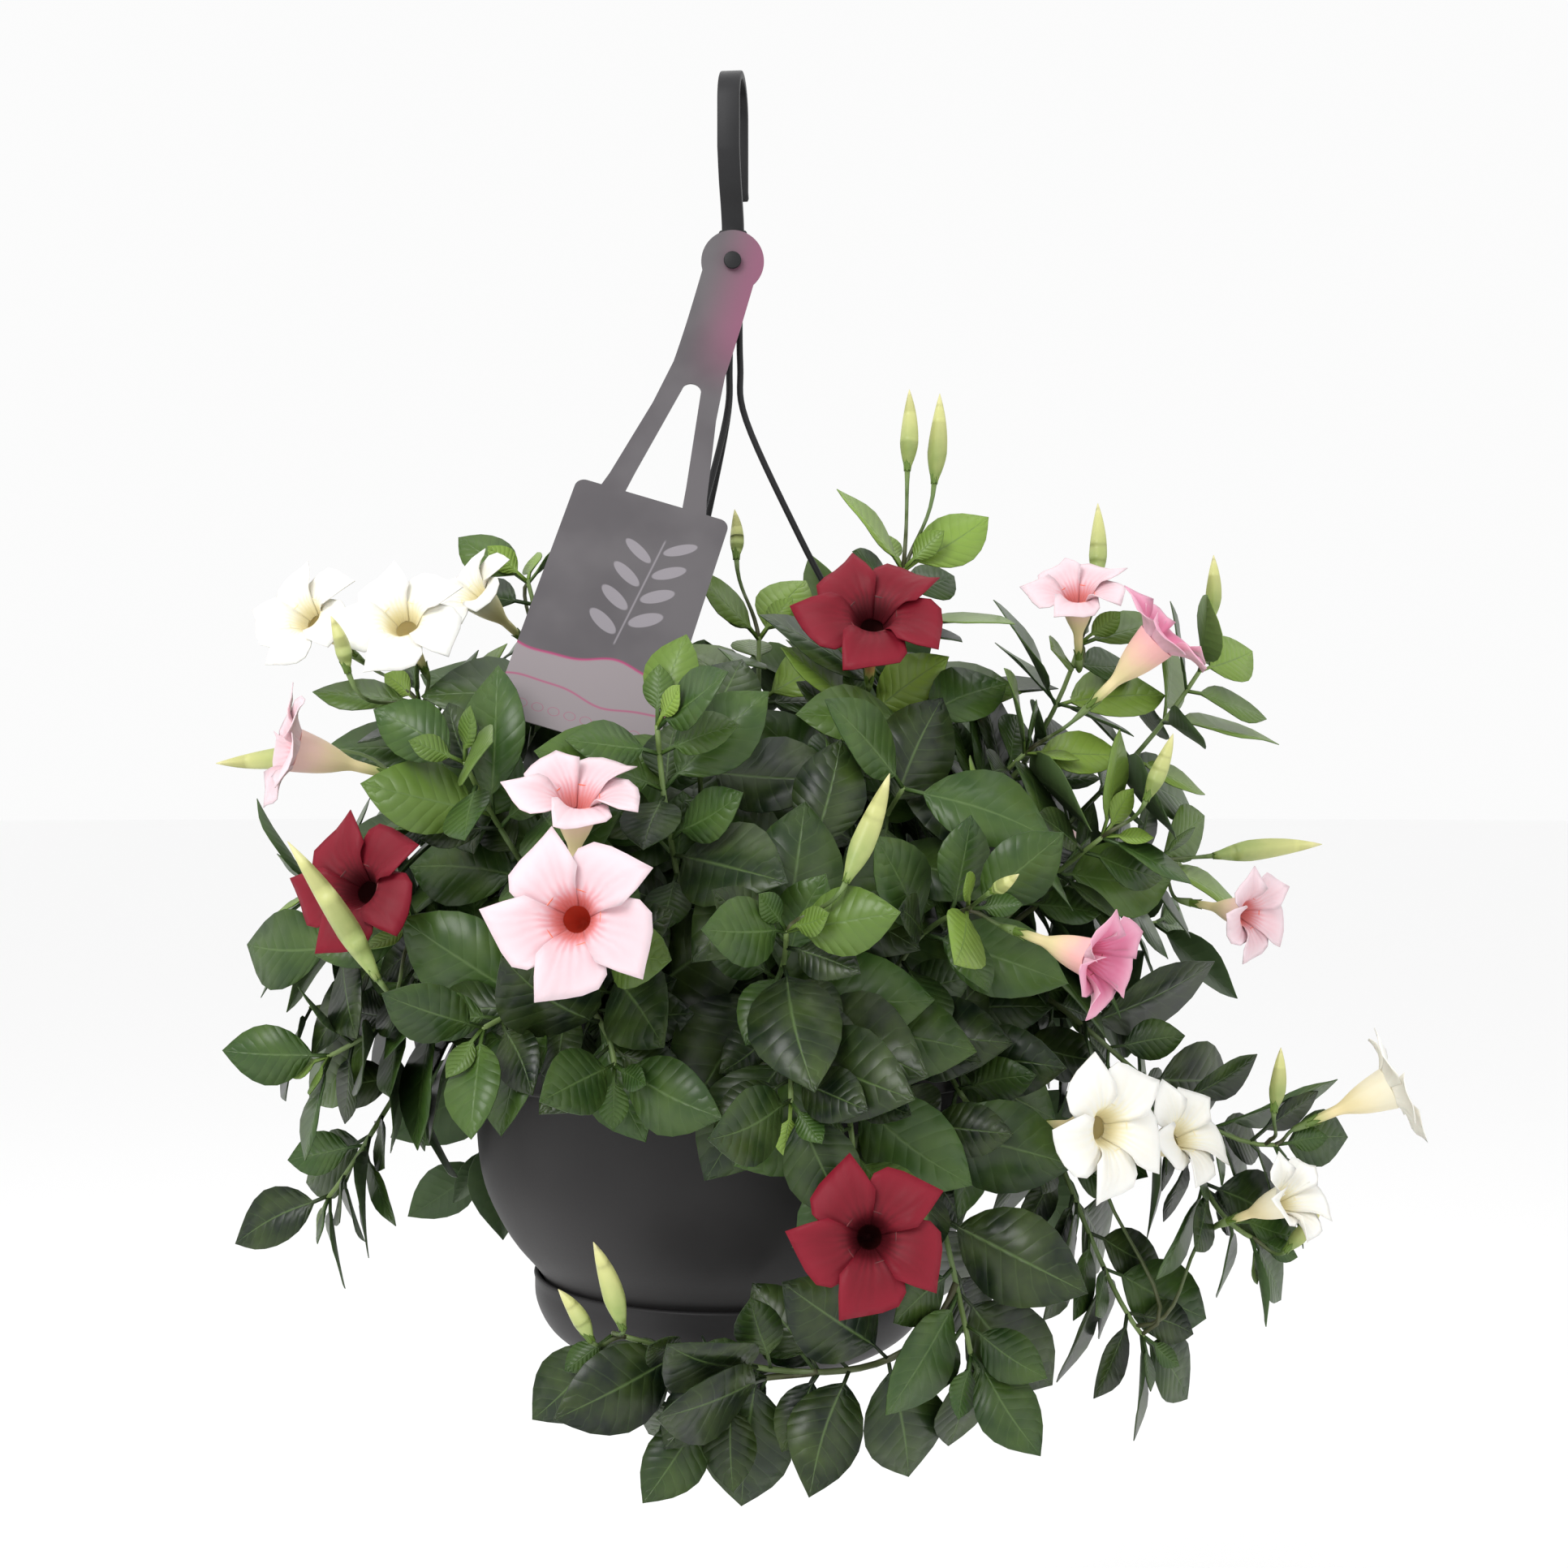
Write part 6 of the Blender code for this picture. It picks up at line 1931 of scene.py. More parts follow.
@dataclass
class PlantPlan:
    """Where every stem, bud, bloom and leaf goes, so that none crosses another."""

    pot: Pot
    saucer: Saucer
    soil: Soil
    hanger: Hanger
    tag: HangTag
    form: BloomForm
    stem_radius: float = 1.7
    stem_taper: float = 0.5
    stem_points: int = 6
    side_points: int = 4
    stalk_points: int = 3
    fine_points: int = 22
    root_gap: float = 9.0
    root_rise: float = 8.0
    root_tries: int = 24
    root_turn: float = 4.0
    root_lean: float = 0.25
    root_depth: float = 24.0
    stem_gap: float = 0.9
    stem_pull: float = 0.38
    side_pull: float = 0.4
    side_lean: float = 0.6
    leaf_length: float = 62.0
    leaf_half_width: float = 21.5
    leaf_thick: float = 1.2
    petiole_radius: float = 0.8
    stations: Profile = listed((0.2, 0.74), (0.5, 1.0), (0.8, 0.6))
    leaf_gap: float = 0.6
    blade_gap: float = 1.1
    leaf_close: float = 0.4
    facing: tuple[float, ...] = (0.2, 0.6, 0.7, 0.2)
    front_bias: float = 40.0
    seen: tuple[float, ...] = (0.5, 0.2)
    seen_forward: float = 0.9
    seen_depth: float = 60.0
    forward: float = 0.4
    droop: float = 0.2
    outward: float = 0.1
    jitter: float = 0.2
    first_pair: float = 2.0
    pair_spacing: tuple[float, float] = (26.0, 36.0)
    pair_spacing_rise: float = 6.0
    young_size: float = 0.7
    size_rise: float = 0.2
    full_size: float = 1.04
    tip_pitch: float = 0.75
    pitch_fall: float = 0.3
    stalk_start: float = 1.5
    stalk_step: float = 5.0
    stalk_pull: float = 0.42
    stalk_radii: tuple[float, ...] = (1.1, 1.0, 1.5)
    fine_stalk_points: int = 10
    fine_bud_stalk: Profile = listed((0.0, 1.2), (0.5, 0.9), (0.85, 1.0), (1.0, 1.5))
    fine_bloom_stalk: Profile = listed(
        (0.0, 1.2), (0.5, 0.9), (0.8, 1.0), (0.92, 1.7), (1.0, 2.4),
    )
    calyx_radius: float = 2.5
    calyx_length: float = 7.0
    calyx_gap: float = 0.3
    bud_girth: float = 5.6
    bud_girth_least: float = 2.0
    bud_girth_rise: float = 0.066
    bud_profile: Profile = listed((0.34, 1.0), (0.72, 0.66), (1.0, 0.0))
    bud_tip: float = 0.3
    petiole: tuple[float, float] = (7.0, 3.0)
    arch: tuple[float, float] = (0.08, 0.12)
    pot_gap: float = 1.0
    saucer_gap: float = 1.5
    saucer_under: float = 6.0
    soil_gap: float = 2.0
    arm_gap: float = 1.2
    clip_over: float = 2.0
    clip_under: float = 6.0
    clip_room: float = 10.0
    boss_room: float = 16.0
    tag_gap: float = 1.4
    strap_room: Profile = listed(
        (12.0, 16.0), (-22.0, 16.0), (-62.0, 15.0), (-90.0, 18.0), (-146.0, 29.0),
    )
    centre: Point = (0.0, 0.0, -455.0)
    seed: int = 7
    fill_seed: int = 23
    fill_gap: float = 0.3
    fill_bias: float = 115.0
    fill_facing: tuple[float, ...] = (0.1, 0.4, 0.75, 0.35)
    fill_seen: tuple[float, ...] = (0.5,)
    fill_shoots: int = 46
    fill_reach: Point = (222.0, 172.0, 190.0)
    fill_floor: float = -505.0
    fill_ring: tuple[float, float] = (22.0, 84.0)
    fill_rise: tuple[float, float] = (0.75, 0.3)
    fill_stem_gap: float = 0.4
    fill_size: tuple[float, float] = (0.8, 1.05)
    fill_tone: float = 0.25
    # Painted shade inside the mound: the distance from the centre where leaves start to be painted
    # lighter, and the span over which they do
    fill_dark: tuple[float, float] = (120.0, 160.0)
    bare_foot: float = 44.0
    deep_spacing: tuple[float, float] = (16.0, 25.0)
    between_first: float = 14.0
    between_spacing: tuple[float, float] = (17.0, 26.0)
    between_form: tuple[float, float] = (0.62, 0.2)
    tip_place: float = 1.0
    tip_form: tuple[float, float] = (0.34, 1.1)
    tip_tone: float = 0.5
    between_turn: float = 0.8
    box_gap: float = 4.0
    draws: random.Random = field(init=False)
    low: Vector = field(init=False)
    high: Vector = field(init=False)
    extra: list[Shoot] = field(default_factory=list)
    clearance: Clearance = field(default_factory=Clearance)
    roots: list[Vector] = field(default_factory=list)
    routes: dict[str, list[Vector]] = field(default_factory=dict)
    fine: dict[str, list[Vector]] = field(default_factory=dict)
    owner: dict[str, str] = field(default_factory=dict)
    stalks: dict[str, list] = field(default_factory=dict)
    leaves: dict[str, list[Leaf]] = field(default_factory=dict)
    last_pair: dict[str, tuple[float, float]] = field(default_factory=dict)
    fronts: list = field(default_factory=list)

    def __post_init__(self) -> None:
        """Plans the plants."""
        self.draws = random.Random(self.seed)
        self.fronts = [(Vector(spot), radius) for spot, radius in OPEN_FRONTS]
        self.low, self.high = cad_box[0] / MM, cad_box[1] / MM
        self.add_hardware()
        self.grow_stems()
        self.grow_leaves()
        self.draws = random.Random(self.fill_seed)
        self.fill_shoots_in()
        self.fill_leaves()

    def add_hardware(self) -> None:
        """Adds the pot, the soil, the hanger and the tag to what is kept clear."""
        pot, soil, hanger, tag = self.pot, self.soil, self.hanger, self.tag
        saucer, gap = self.saucer.outside, self.pot_gap
        edge = pot.rim_outer + gap
        skin = [(1.0, soil.centre + self.soil_gap), (soil.scatter_reach, soil.edge + self.soil_gap)]
        skin += [(soil.reach, pot.rim_top + gap), (edge, pot.rim_top + gap)]
        skin += [(edge, pot.rim_top - pot.rim_skirt)]
        skin += [(radius + gap, height) for radius, height in reversed(pot.outside[4:])]
        skin += [(radius + self.saucer_gap, height - gap) for radius, height in reversed(saucer)]
        skin += [(1.0, saucer[0][1] - self.saucer_under)]
        self.clearance.add("pot", profile_shell(skin, 24))
        for turn in pot.arm_turns:
            route = hanger.arm_points(turn)
            radii = [hanger.arm_radius + self.arm_gap] * len(route)
            self.clearance.add("hanger", tube_shell(route, radii))
            route = [route[-1] + UPRIGHT * self.clip_over, route[-1] - UPRIGHT * self.clip_under]
            self.clearance.add("hanger", tube_shell(route, [self.clip_room] * 2))
        boss = [UPRIGHT * hanger.boss_top, UPRIGHT * hanger.boss_bottom]
        self.clearance.add("hanger", tube_shell(boss, [self.boss_room] * 2))
        card = tag.panel_half + 1.0
        levels = self.strap_room + [(tag.panel_top, card), (tag.panel_bottom, card)]
        for slab in (-self.tag_gap, 0.0, self.tag_gap):
            points, faces = [], []
            for level, half in levels:
                points += [tag.spot(side * half, level) + Vector((0, slab, 0)) for side in (-1, 1)]
            for a in range(0, len(points) - 2, 2):
                faces += [(a, a + 1, a + 3), (a, a + 3, a + 2)]
            self.clearance.add("tag", (points, faces))

    def find_root(self, shoot: Shoot) -> bool:
        """Finds a stem's spot in the soil, clear of the other stems' spots.

        Args:
            shoot: The shoot.

        Returns:
            True where there was room.
        """
        tip = Vector(shoot.tip)
        turn = math.atan2(tip.y, tip.x) + math.radians(shoot.turn)
        for attempt in range(self.root_tries):
            step = (attempt + 1) // 2 * (1 if attempt % 2 else -1)
            angle = turn + math.radians(self.root_turn) * step
            spot = Vector((shoot.ring * math.cos(angle), shoot.ring * math.sin(angle), self.soil.edge))
            if all((spot - other).length > self.root_gap for other in self.roots):
                self.roots.append(spot)
                return True
        return False

    def shoot_route(self, shoot: Shoot, lift: float, sway: float, fine: bool = False) -> list[Vector]:
        """Gives a stem's route.

        Args:
            shoot: The shoot.
            lift: How much higher it rises at first.
            sway: How far it swings sideways.
            fine: Whether it has the many points of a finished stem.

        Returns:
            The route.
        """
        tip = Vector(shoot.tip)
        heading = Vector(shoot.heading).normalized()
        if shoot.parent:
            parent = self.routes[shoot.parent]
            start, run = route_spot(parent, route_length(parent) * (1.0 - shoot.at))
            pull = (tip - start).length * self.side_pull
            push = (run + (tip - start).normalized() * self.side_lean).normalized() * pull
            if fine:
                start = nearest_spot(self.fine[shoot.parent], start)
            count = self.fine_points if fine else self.side_points
            return smooth_route(start, push, tip, heading * pull, count)
        root = self.roots[-1]
        reach = (tip - root).length
        push = Vector((root.x * self.root_lean, root.y * self.root_lean, reach * shoot.rise * lift))
        push += Vector((-root.y, root.x, 0.0)).normalized() * (sway * reach)
        foot = root - Vector((0.0, 0.0, self.root_depth))
        ground = root + Vector((0.0, 0.0, self.root_rise))
        count = self.fine_points if fine else self.stem_points
        return [foot] + smooth_route(ground, push, tip, heading * (reach * self.stem_pull), count)

    def stem_radii(self, route: list[Vector]) -> list[float]:
        """Gives a stem's radii, slimmer towards the tip."""
        last = len(route) - 1
        return [self.stem_radius - self.stem_taper * index / last for index in range(last + 1)]

    def route_stem(self, shoot: Shoot, gap: float) -> bool:
        """Routes a stem in the first of a few ways that crosses nothing, or else in the last.

        Args:
            shoot: The shoot.
            gap: How clear it stays.

        Returns:
            True where it crosses nothing.
        """
        first = 0 if shoot.parent else 1
        for lift, sway in STEM_TRIES:
            route = self.shoot_route(shoot, lift, sway)
            radii = [radius + gap for radius in self.stem_radii(route)]
            clear = self.clearance.is_clear(tube_shell(route[first:], radii[first:]),
                                            (self.owner[shoot.name],))
            if clear:
                break
        self.routes[shoot.name] = route
        self.fine[shoot.name] = self.shoot_route(shoot, lift, sway, fine=True)
        return clear

    def add_stem(self, shoot: Shoot) -> None:
        """Adds a routed stem to what is kept clear."""
        route = self.routes[shoot.name]
        self.clearance.add(self.owner[shoot.name], tube_shell(route, self.stem_radii(route)))

    def grow_stems(self) -> None:
        """Routes each stem with its blooms and buds."""
        for shoot in SHOOTS:
            if not shoot.parent:
                self.find_root(shoot)
            self.owner[shoot.name] = self.owner[shoot.parent] if shoot.parent else shoot.name
            self.route_stem(shoot, self.stem_gap)
            self.add_stem(shoot)
            self.grow_heads(shoot)

    def stalk_to(self, target: Vector, axis: Vector, route: list[Vector], order: int,
                 count: int) -> list[Vector]:
        """Gives a stalk from a stem to a point that it reaches along an axis.

        Args:
            target: The point.
            axis: The direction it arrives in.
            route: The stem's route.
            order: How many stalks the stem already has.
            count: How many points the stalk has.

        Returns:
            The stalk's route.
        """
        start, run = route_spot(route, self.stalk_start + self.stalk_step * order)
        away = target - start
        pull = away.length * self.stalk_pull
        push = (run + away.normalized()).normalized() * pull
        return smooth_route(start, push, target, axis * pull, count)

    def bud_route(self, bud: Bud, route: list[Vector], order: int,
                  fine: bool = False) -> tuple[list[Vector], list[float]]:
        """Gives a bud's stalk and spindle.

        Args:
            bud: The bud.
            route: The stem's route.
            order: How many stalks the stem already has.
            fine: Whether only the stalk is given, with many points.

        Returns:
            The route and its radii.
        """
        base, tip = Vector(bud.base), Vector(bud.tip)
        axis = tip - base
        if fine:
            stalk = self.stalk_to(base, axis.normalized(), route, order, self.fine_stalk_points)
            return stalk, read_along(self.fine_bud_stalk, len(stalk))
        stalk = self.stalk_to(base, axis.normalized(), route, order, self.stalk_points)
        girth = self.bud_width(bud)
        spindle = [base + axis * part for part, _ in self.bud_profile]
        widths = [max(girth * width, self.bud_tip) for _, width in self.bud_profile]
        return stalk + spindle, list(self.stalk_radii) + widths

    def bud_width(self, bud: Bud) -> float:
        """Gives a bud's greatest radius."""
        length = (Vector(bud.tip) - Vector(bud.base)).length
        return min(self.bud_girth, self.bud_girth_least + length * self.bud_girth_rise)

    def stalk_route(self, bloom: Bloom, route: list[Vector], order: int,
                    fine: bool = False) -> tuple[list[Vector], list[float]]:
        """Gives the stalk and calyx that carry a bloom, up to the seat of its tube.

        Args:
            bloom: The bloom.
            route: The stem's route.
            order: How many stalks the stem already has.
            fine: Whether it has the many points of a finished stalk.

        Returns:
            The route and its radii.
        """
        facing = self.form.axes(bloom)[0]
        seat = self.form.base(bloom) - facing * self.calyx_gap
        calyx = seat - facing * self.calyx_length
        if fine:
            stalk = self.stalk_to(calyx, facing, route, order, self.fine_stalk_points) + [seat]
            return stalk, read_along(self.fine_bloom_stalk, len(stalk))
        stalk = self.stalk_to(calyx, facing, route, order, self.stalk_points) + [seat]
        return stalk, list(self.stalk_radii) + [self.calyx_radius]

    def grow_heads(self, shoot: Shoot) -> None:
        """Places the blooms and buds at the end of a stem.

        Args:
            shoot: The shoot.
        """
        owner, route = self.owner[shoot.name], self.routes[shoot.name]
        self.stalks[shoot.name] = []
        for order, head in enumerate(head for head in BLOOMS + BUDS if head.shoot == shoot.name):
            carry = self.stalk_route if isinstance(head, Bloom) else self.bud_route
            self.clearance.add(owner, tube_shell(*carry(head, route, order)))
            self.stalks[shoot.name].append((carry(head, route, order, fine=True), head))
            if isinstance(head, Bloom):
                self.clearance.add(head.name, self.form.shell(head))
                if head.mouth[1] < 0:
                    self.fronts.append((Vector(head.mouth), self.form.reach * head.size * 0.9))

    def leaf_sections(self, leaf: Leaf, grow: float = 0.0) -> tuple[list[tuple[Vector, float]], Vector]:
        """Gives a leaf's cross-sections.

        Args:
            leaf: The leaf.
            grow: How much fatter it is.

        Returns:
            The sections, each a middle point and a half width, and the tip.
        """
        base = leaf.start + leaf.along * leaf.petiole
        slim = self.petiole_radius + grow
        sections = [(leaf.start - leaf.along * 0.3, slim), (base, slim)]
        for along, width in self.stations:
            drop = leaf.arch * leaf.length * along * along
            spot = base + leaf.along * (leaf.length * along) - leaf.normal * drop
            sections.append((spot, leaf.half_width * width + grow))
        tip = base + leaf.along * (leaf.length + grow) - leaf.normal * (leaf.arch * leaf.length)
        return sections, tip

    def leaf_shell(self, leaf: Leaf) -> Shell:
        """Gives a leaf's plain form that a test is made with.

        Args:
            leaf: The leaf.

        Returns:
            Its points and triangles.
        """
        side = leaf.along.cross(leaf.normal).normalized()
        sections, tip = self.leaf_sections(leaf)
        points = []
        for spot, reach in sections:
            points += [spot - side * reach, spot + side * reach, spot - leaf.normal * self.leaf_thick]
        last = len(points) - 3
        faces = [(0, 2, 1)]
        for a in range(0, last, 3):
            faces += [(a, a + 1, a + 4), (a, a + 4, a + 3)]
            faces += [(a + 1, a + 2, a + 4), (a + 2, a + 5, a + 4)]
            faces += [(a + 2, a, a + 3), (a + 2, a + 3, a + 5)]
        faces += [(last, last + 1, last + 3), (last + 1, last + 2, last + 3), (last + 2, last, last + 3)]
        return points + [tip], faces

    def leaf_guard(self, leaf: Leaf, grow: float, stalk: bool) -> Shell:
        """Gives a fatter leaf that shows what the leaf needs clear.

        Args:
            leaf: The leaf.
            grow: How much fatter it is.
            stalk: Whether its stalk is part of it.

        Returns:
            Its points and triangles.
        """
        side = leaf.along.cross(leaf.normal).normalized()
        sections, tip = self.leaf_sections(leaf, grow)
        if not stalk:
            sections = sections[1:]
        points = []
        for spot, reach in sections:
            points += [spot - side * reach, spot + leaf.normal * (grow + self.leaf_close)]
            points += [spot + side * reach, spot - leaf.normal * (self.leaf_thick + grow)]
        last = len(points) - 4
        ends = [(last + corner, last + (corner + 1) % 4, last + 4) for corner in range(4)]
        return points + [tip], ring_faces(len(sections), 4) + ends

    def hides_front(self, points: Sequence[Vector]) -> bool:
        """Tells whether a leaf stands before a bloom or another thing kept in sight.

        Args:
            points: The leaf's points.

        Returns:
            True where it does.
        """
        for spot, radius in self.fronts:
            depth = spot.y - FRONT_EYE.y
            for point in points:
                near = point.y - FRONT_EYE.y
                if near > depth - 2.0:
                    continue
                scale = depth / near
                across = FRONT_EYE.x + (point.x - FRONT_EYE.x) * scale - spot.x
                up = FRONT_EYE.z + (point.z - FRONT_EYE.z) * scale - spot.z
                if math.hypot(across, up) < radius:
                    return True
        return False

    def leaf_at(self, spot: Vector, run: Vector, turn: float, pitch: float, size: float) -> Leaf:
        """Gives a leaf on a stem.

        Args:
            spot: Where it grows.
            run: The stem's direction there.
            turn: Its turn round the stem.
            pitch: How far it leans along the stem.
            size: Its size.

        Returns:
            The leaf.
        """
        outward = (spot - Vector(self.centre)).normalized()
        side = run.cross(outward)
        if side.length < 0.2:
            side = run.cross(UPRIGHT)
        side.normalize()
        lift = side.cross(run)
        across = side * math.cos(turn) + lift * math.sin(turn)
        along = across + run * (self.forward + pitch) - UPRIGHT * self.droop + outward * self.outward
        along.normalize()
        level = Vector((spot.x, spot.y - self.front_bias, 0.0)).normalized()
        facings = (run, outward, level, UPRIGHT)
        face = sum((way * share for way, share in zip(facings, self.facing)), Vector())
        normal = face - along * face.dot(along)
        if normal.length < 0.1:
            normal = lift - along * lift.dot(along)
        normal.normalize()
        length, half_width = self.leaf_length * size, self.leaf_half_width * size
        petiole, arch = [least + more * size for least, more in (self.petiole, self.arch)]
        return Leaf(spot, along, normal, length, half_width, petiole, arch)

    def seen_from(self, spot: Vector) -> Vector:
        """Gives the direction that a leaf is looked at from: outwards, and forwards at the front."""
        forward = self.seen_forward if spot.y < self.seen_depth else 0.0
        return ((spot - Vector(self.centre)).normalized() - Vector((0.0, forward, 0.0))).normalized()

    def try_leaf(self, spot: Vector, run: Vector, turn: float, pitch: float, size: float,
                 owner: str) -> Optional[Leaf]:
        """Tries a leaf in a few turns and sizes.

        Args:
            spot: Where it grows.
            run: The stem's direction there.
            turn: Its turn round the stem.
            pitch: How far it leans along the stem.
            size: Its size.
            owner: The rooted stem that it belongs to.

        Returns:
            The first leaf that crosses nothing, or None.
        """
        looked_at = self.seen_from(spot)
        for seen, (turn_change, pitch_change, size_change) in itertools.product(self.seen, LEAF_TRIES):
            leaf = self.leaf_at(spot, run, turn + turn_change, pitch + pitch_change, size * size_change)
            if leaf.normal.dot(looked_at) < seen:
                continue
            blade = self.leaf_guard(leaf, self.blade_gap, stalk=False)
            if self.hides_front(blade[0]):
                continue
            if not self.clearance.is_clear(blade):
                continue
            whole = self.leaf_guard(leaf, self.leaf_gap, stalk=True)
            if self.clearance.is_clear(whole, (owner, owner + "_leaves")):
                return leaf
        return None

    def grow_leaves(self) -> None:
        """Places opposite pairs of leaves down each stem, each pair at right angles to the last."""
        for shoot in SHOOTS:
            owner = self.owner[shoot.name]
            route = self.routes[shoot.name]
            self.leaves[shoot.name] = []
            back = self.first_pair
            turn = self.draws.uniform(0.0, math.pi)
            for pair in range(shoot.pairs):
                age = min(self.full_size, self.young_size + self.size_rise * pair)
                pitch = max(self.tip_pitch - self.pitch_fall * pair, 0.0)
                spot, run = route_spot(route, back)
                for half_turn in (0.0, math.pi):
                    jitter = self.draws.uniform(-self.jitter, self.jitter)
                    size = shoot.size * age * self.draws.uniform(0.92, 1.1)
                    leaf = self.try_leaf(spot, run, turn + half_turn + jitter, pitch, size, owner)
                    if leaf:
                        leaf.tone = max(0.62 - 0.2 * pair, 0.2)
                        self.leaves[shoot.name].append(leaf)
                        self.clearance.add(owner + "_leaves", self.leaf_shell(leaf))
                turn += math.pi / 2
                back += self.draws.uniform(*self.pair_spacing) + self.pair_spacing_rise * pair
            self.last_pair[shoot.name] = (back, turn)

    # What grows only here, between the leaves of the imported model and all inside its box
    def fill_shoots_in(self) -> None:
        """Adds short leafy stems inside the mound."""
        golden = math.pi * (3.0 - math.sqrt(5.0))
        for index in range(self.fill_shoots):
            turn = golden * index + self.draws.uniform(-0.2, 0.2)
            rise = index / (self.fill_shoots - 1.0)
            flat = math.sqrt(1.0 - (rise * 0.94) ** 2)
            across, deep = math.cos(turn) * flat, math.sin(turn) * flat
            tip = (self.fill_reach[0] * across, self.fill_reach[1] * deep,
                   self.fill_floor + self.fill_reach[2] * rise)
            shoot = Shoot(f"fill_{index:02d}", tip, (across, deep, rise * 1.2 - 0.2),
                          self.fill_ring[0] + self.fill_ring[1] * flat, 0,
                          rise=self.fill_rise[0] - self.fill_rise[1] * rise)
            if not self.find_root(shoot):
                continue
            self.owner[shoot.name] = shoot.name
            if self.route_stem(shoot, self.fill_stem_gap):
                self.stalks[shoot.name] = []
                self.leaves[shoot.name] = []
                self.last_pair[shoot.name] = (self.tip_place, self.draws.uniform(0.0, math.pi))
                self.add_stem(shoot)
                self.extra.append(shoot)
            else:
                self.roots.pop()

    def is_inside(self, leaf: Leaf) -> bool:
        """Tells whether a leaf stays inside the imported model's box.

        Args:
            leaf: The leaf.

        Returns:
            True where it does.
        """
        points = self.leaf_guard(leaf, self.box_gap, stalk=False)[0]
        return all(
            self.low[axis] < point[axis] < self.high[axis] for point in points for axis in range(3)
        )

    def fill_leaves(self) -> None:
        """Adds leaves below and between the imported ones, and small ones at the tips."""
        self.blade_gap, self.leaf_gap = self.fill_gap, self.fill_gap
        self.front_bias, self.facing, self.seen = self.fill_bias, self.fill_facing, self.fill_seen
        for shoot in SHOOTS + self.extra:
            back, turn = low, _ = self.last_pair[shoot.name]
            length = route_length(self.routes[shoot.name])
            spots = []
            while back < length - self.bare_foot:
                spots.append((back, turn, 1.0, 0.0))
                turn += math.pi / 2
                back += self.draws.uniform(*self.deep_spacing)
            if shoot in SHOOTS:
                place = self.between_first
                while place < low:
                    spots.append((place, turn + self.between_turn, *self.between_form))
                    turn += math.pi / 2
                    place += self.draws.uniform(*self.between_spacing)
                spots.append((self.tip_place, turn + self.between_turn, *self.tip_form))
            for spot in spots:
                self.fill_pair(shoot, *spot)

    def fill_pair(self, shoot: Shoot, place: float, spin: float, size: float, pitch: float) -> None:
        """Adds a pair of leaves where there is room.

        Args:
            shoot: The shoot that carries it.
            place: The length back from the shoot's end.
            spin: Its turn round the stem.
            size: Its size.
            pitch: How far it leans along the stem.
        """
        owner = self.owner[shoot.name]
        spot, run = route_spot(self.routes[shoot.name], place)
        for half_turn in (0.0, math.pi):
            grown = size * self.draws.uniform(*self.fill_size)
            leaf = self.try_leaf(spot, run, spin + half_turn, pitch, grown, owner)
            if leaf and self.is_inside(leaf):
                # Painted shade: leaves deep inside the mound get a darker tone than those near its
                # outside
                deep = ((leaf.start - Vector(self.centre)).length - self.fill_dark[0]) / self.fill_dark[1]
                leaf.tone = self.draws.uniform(0.0, self.fill_tone)
                leaf.tone += self.fill_tone * min(max(deep, 0.0), 1.0)
                leaf.tone += self.tip_tone if size < self.tip_tone else 0.0
                self.leaves[shoot.name].append(leaf)
                self.clearance.add(owner + "_leaves", self.leaf_shell(leaf))


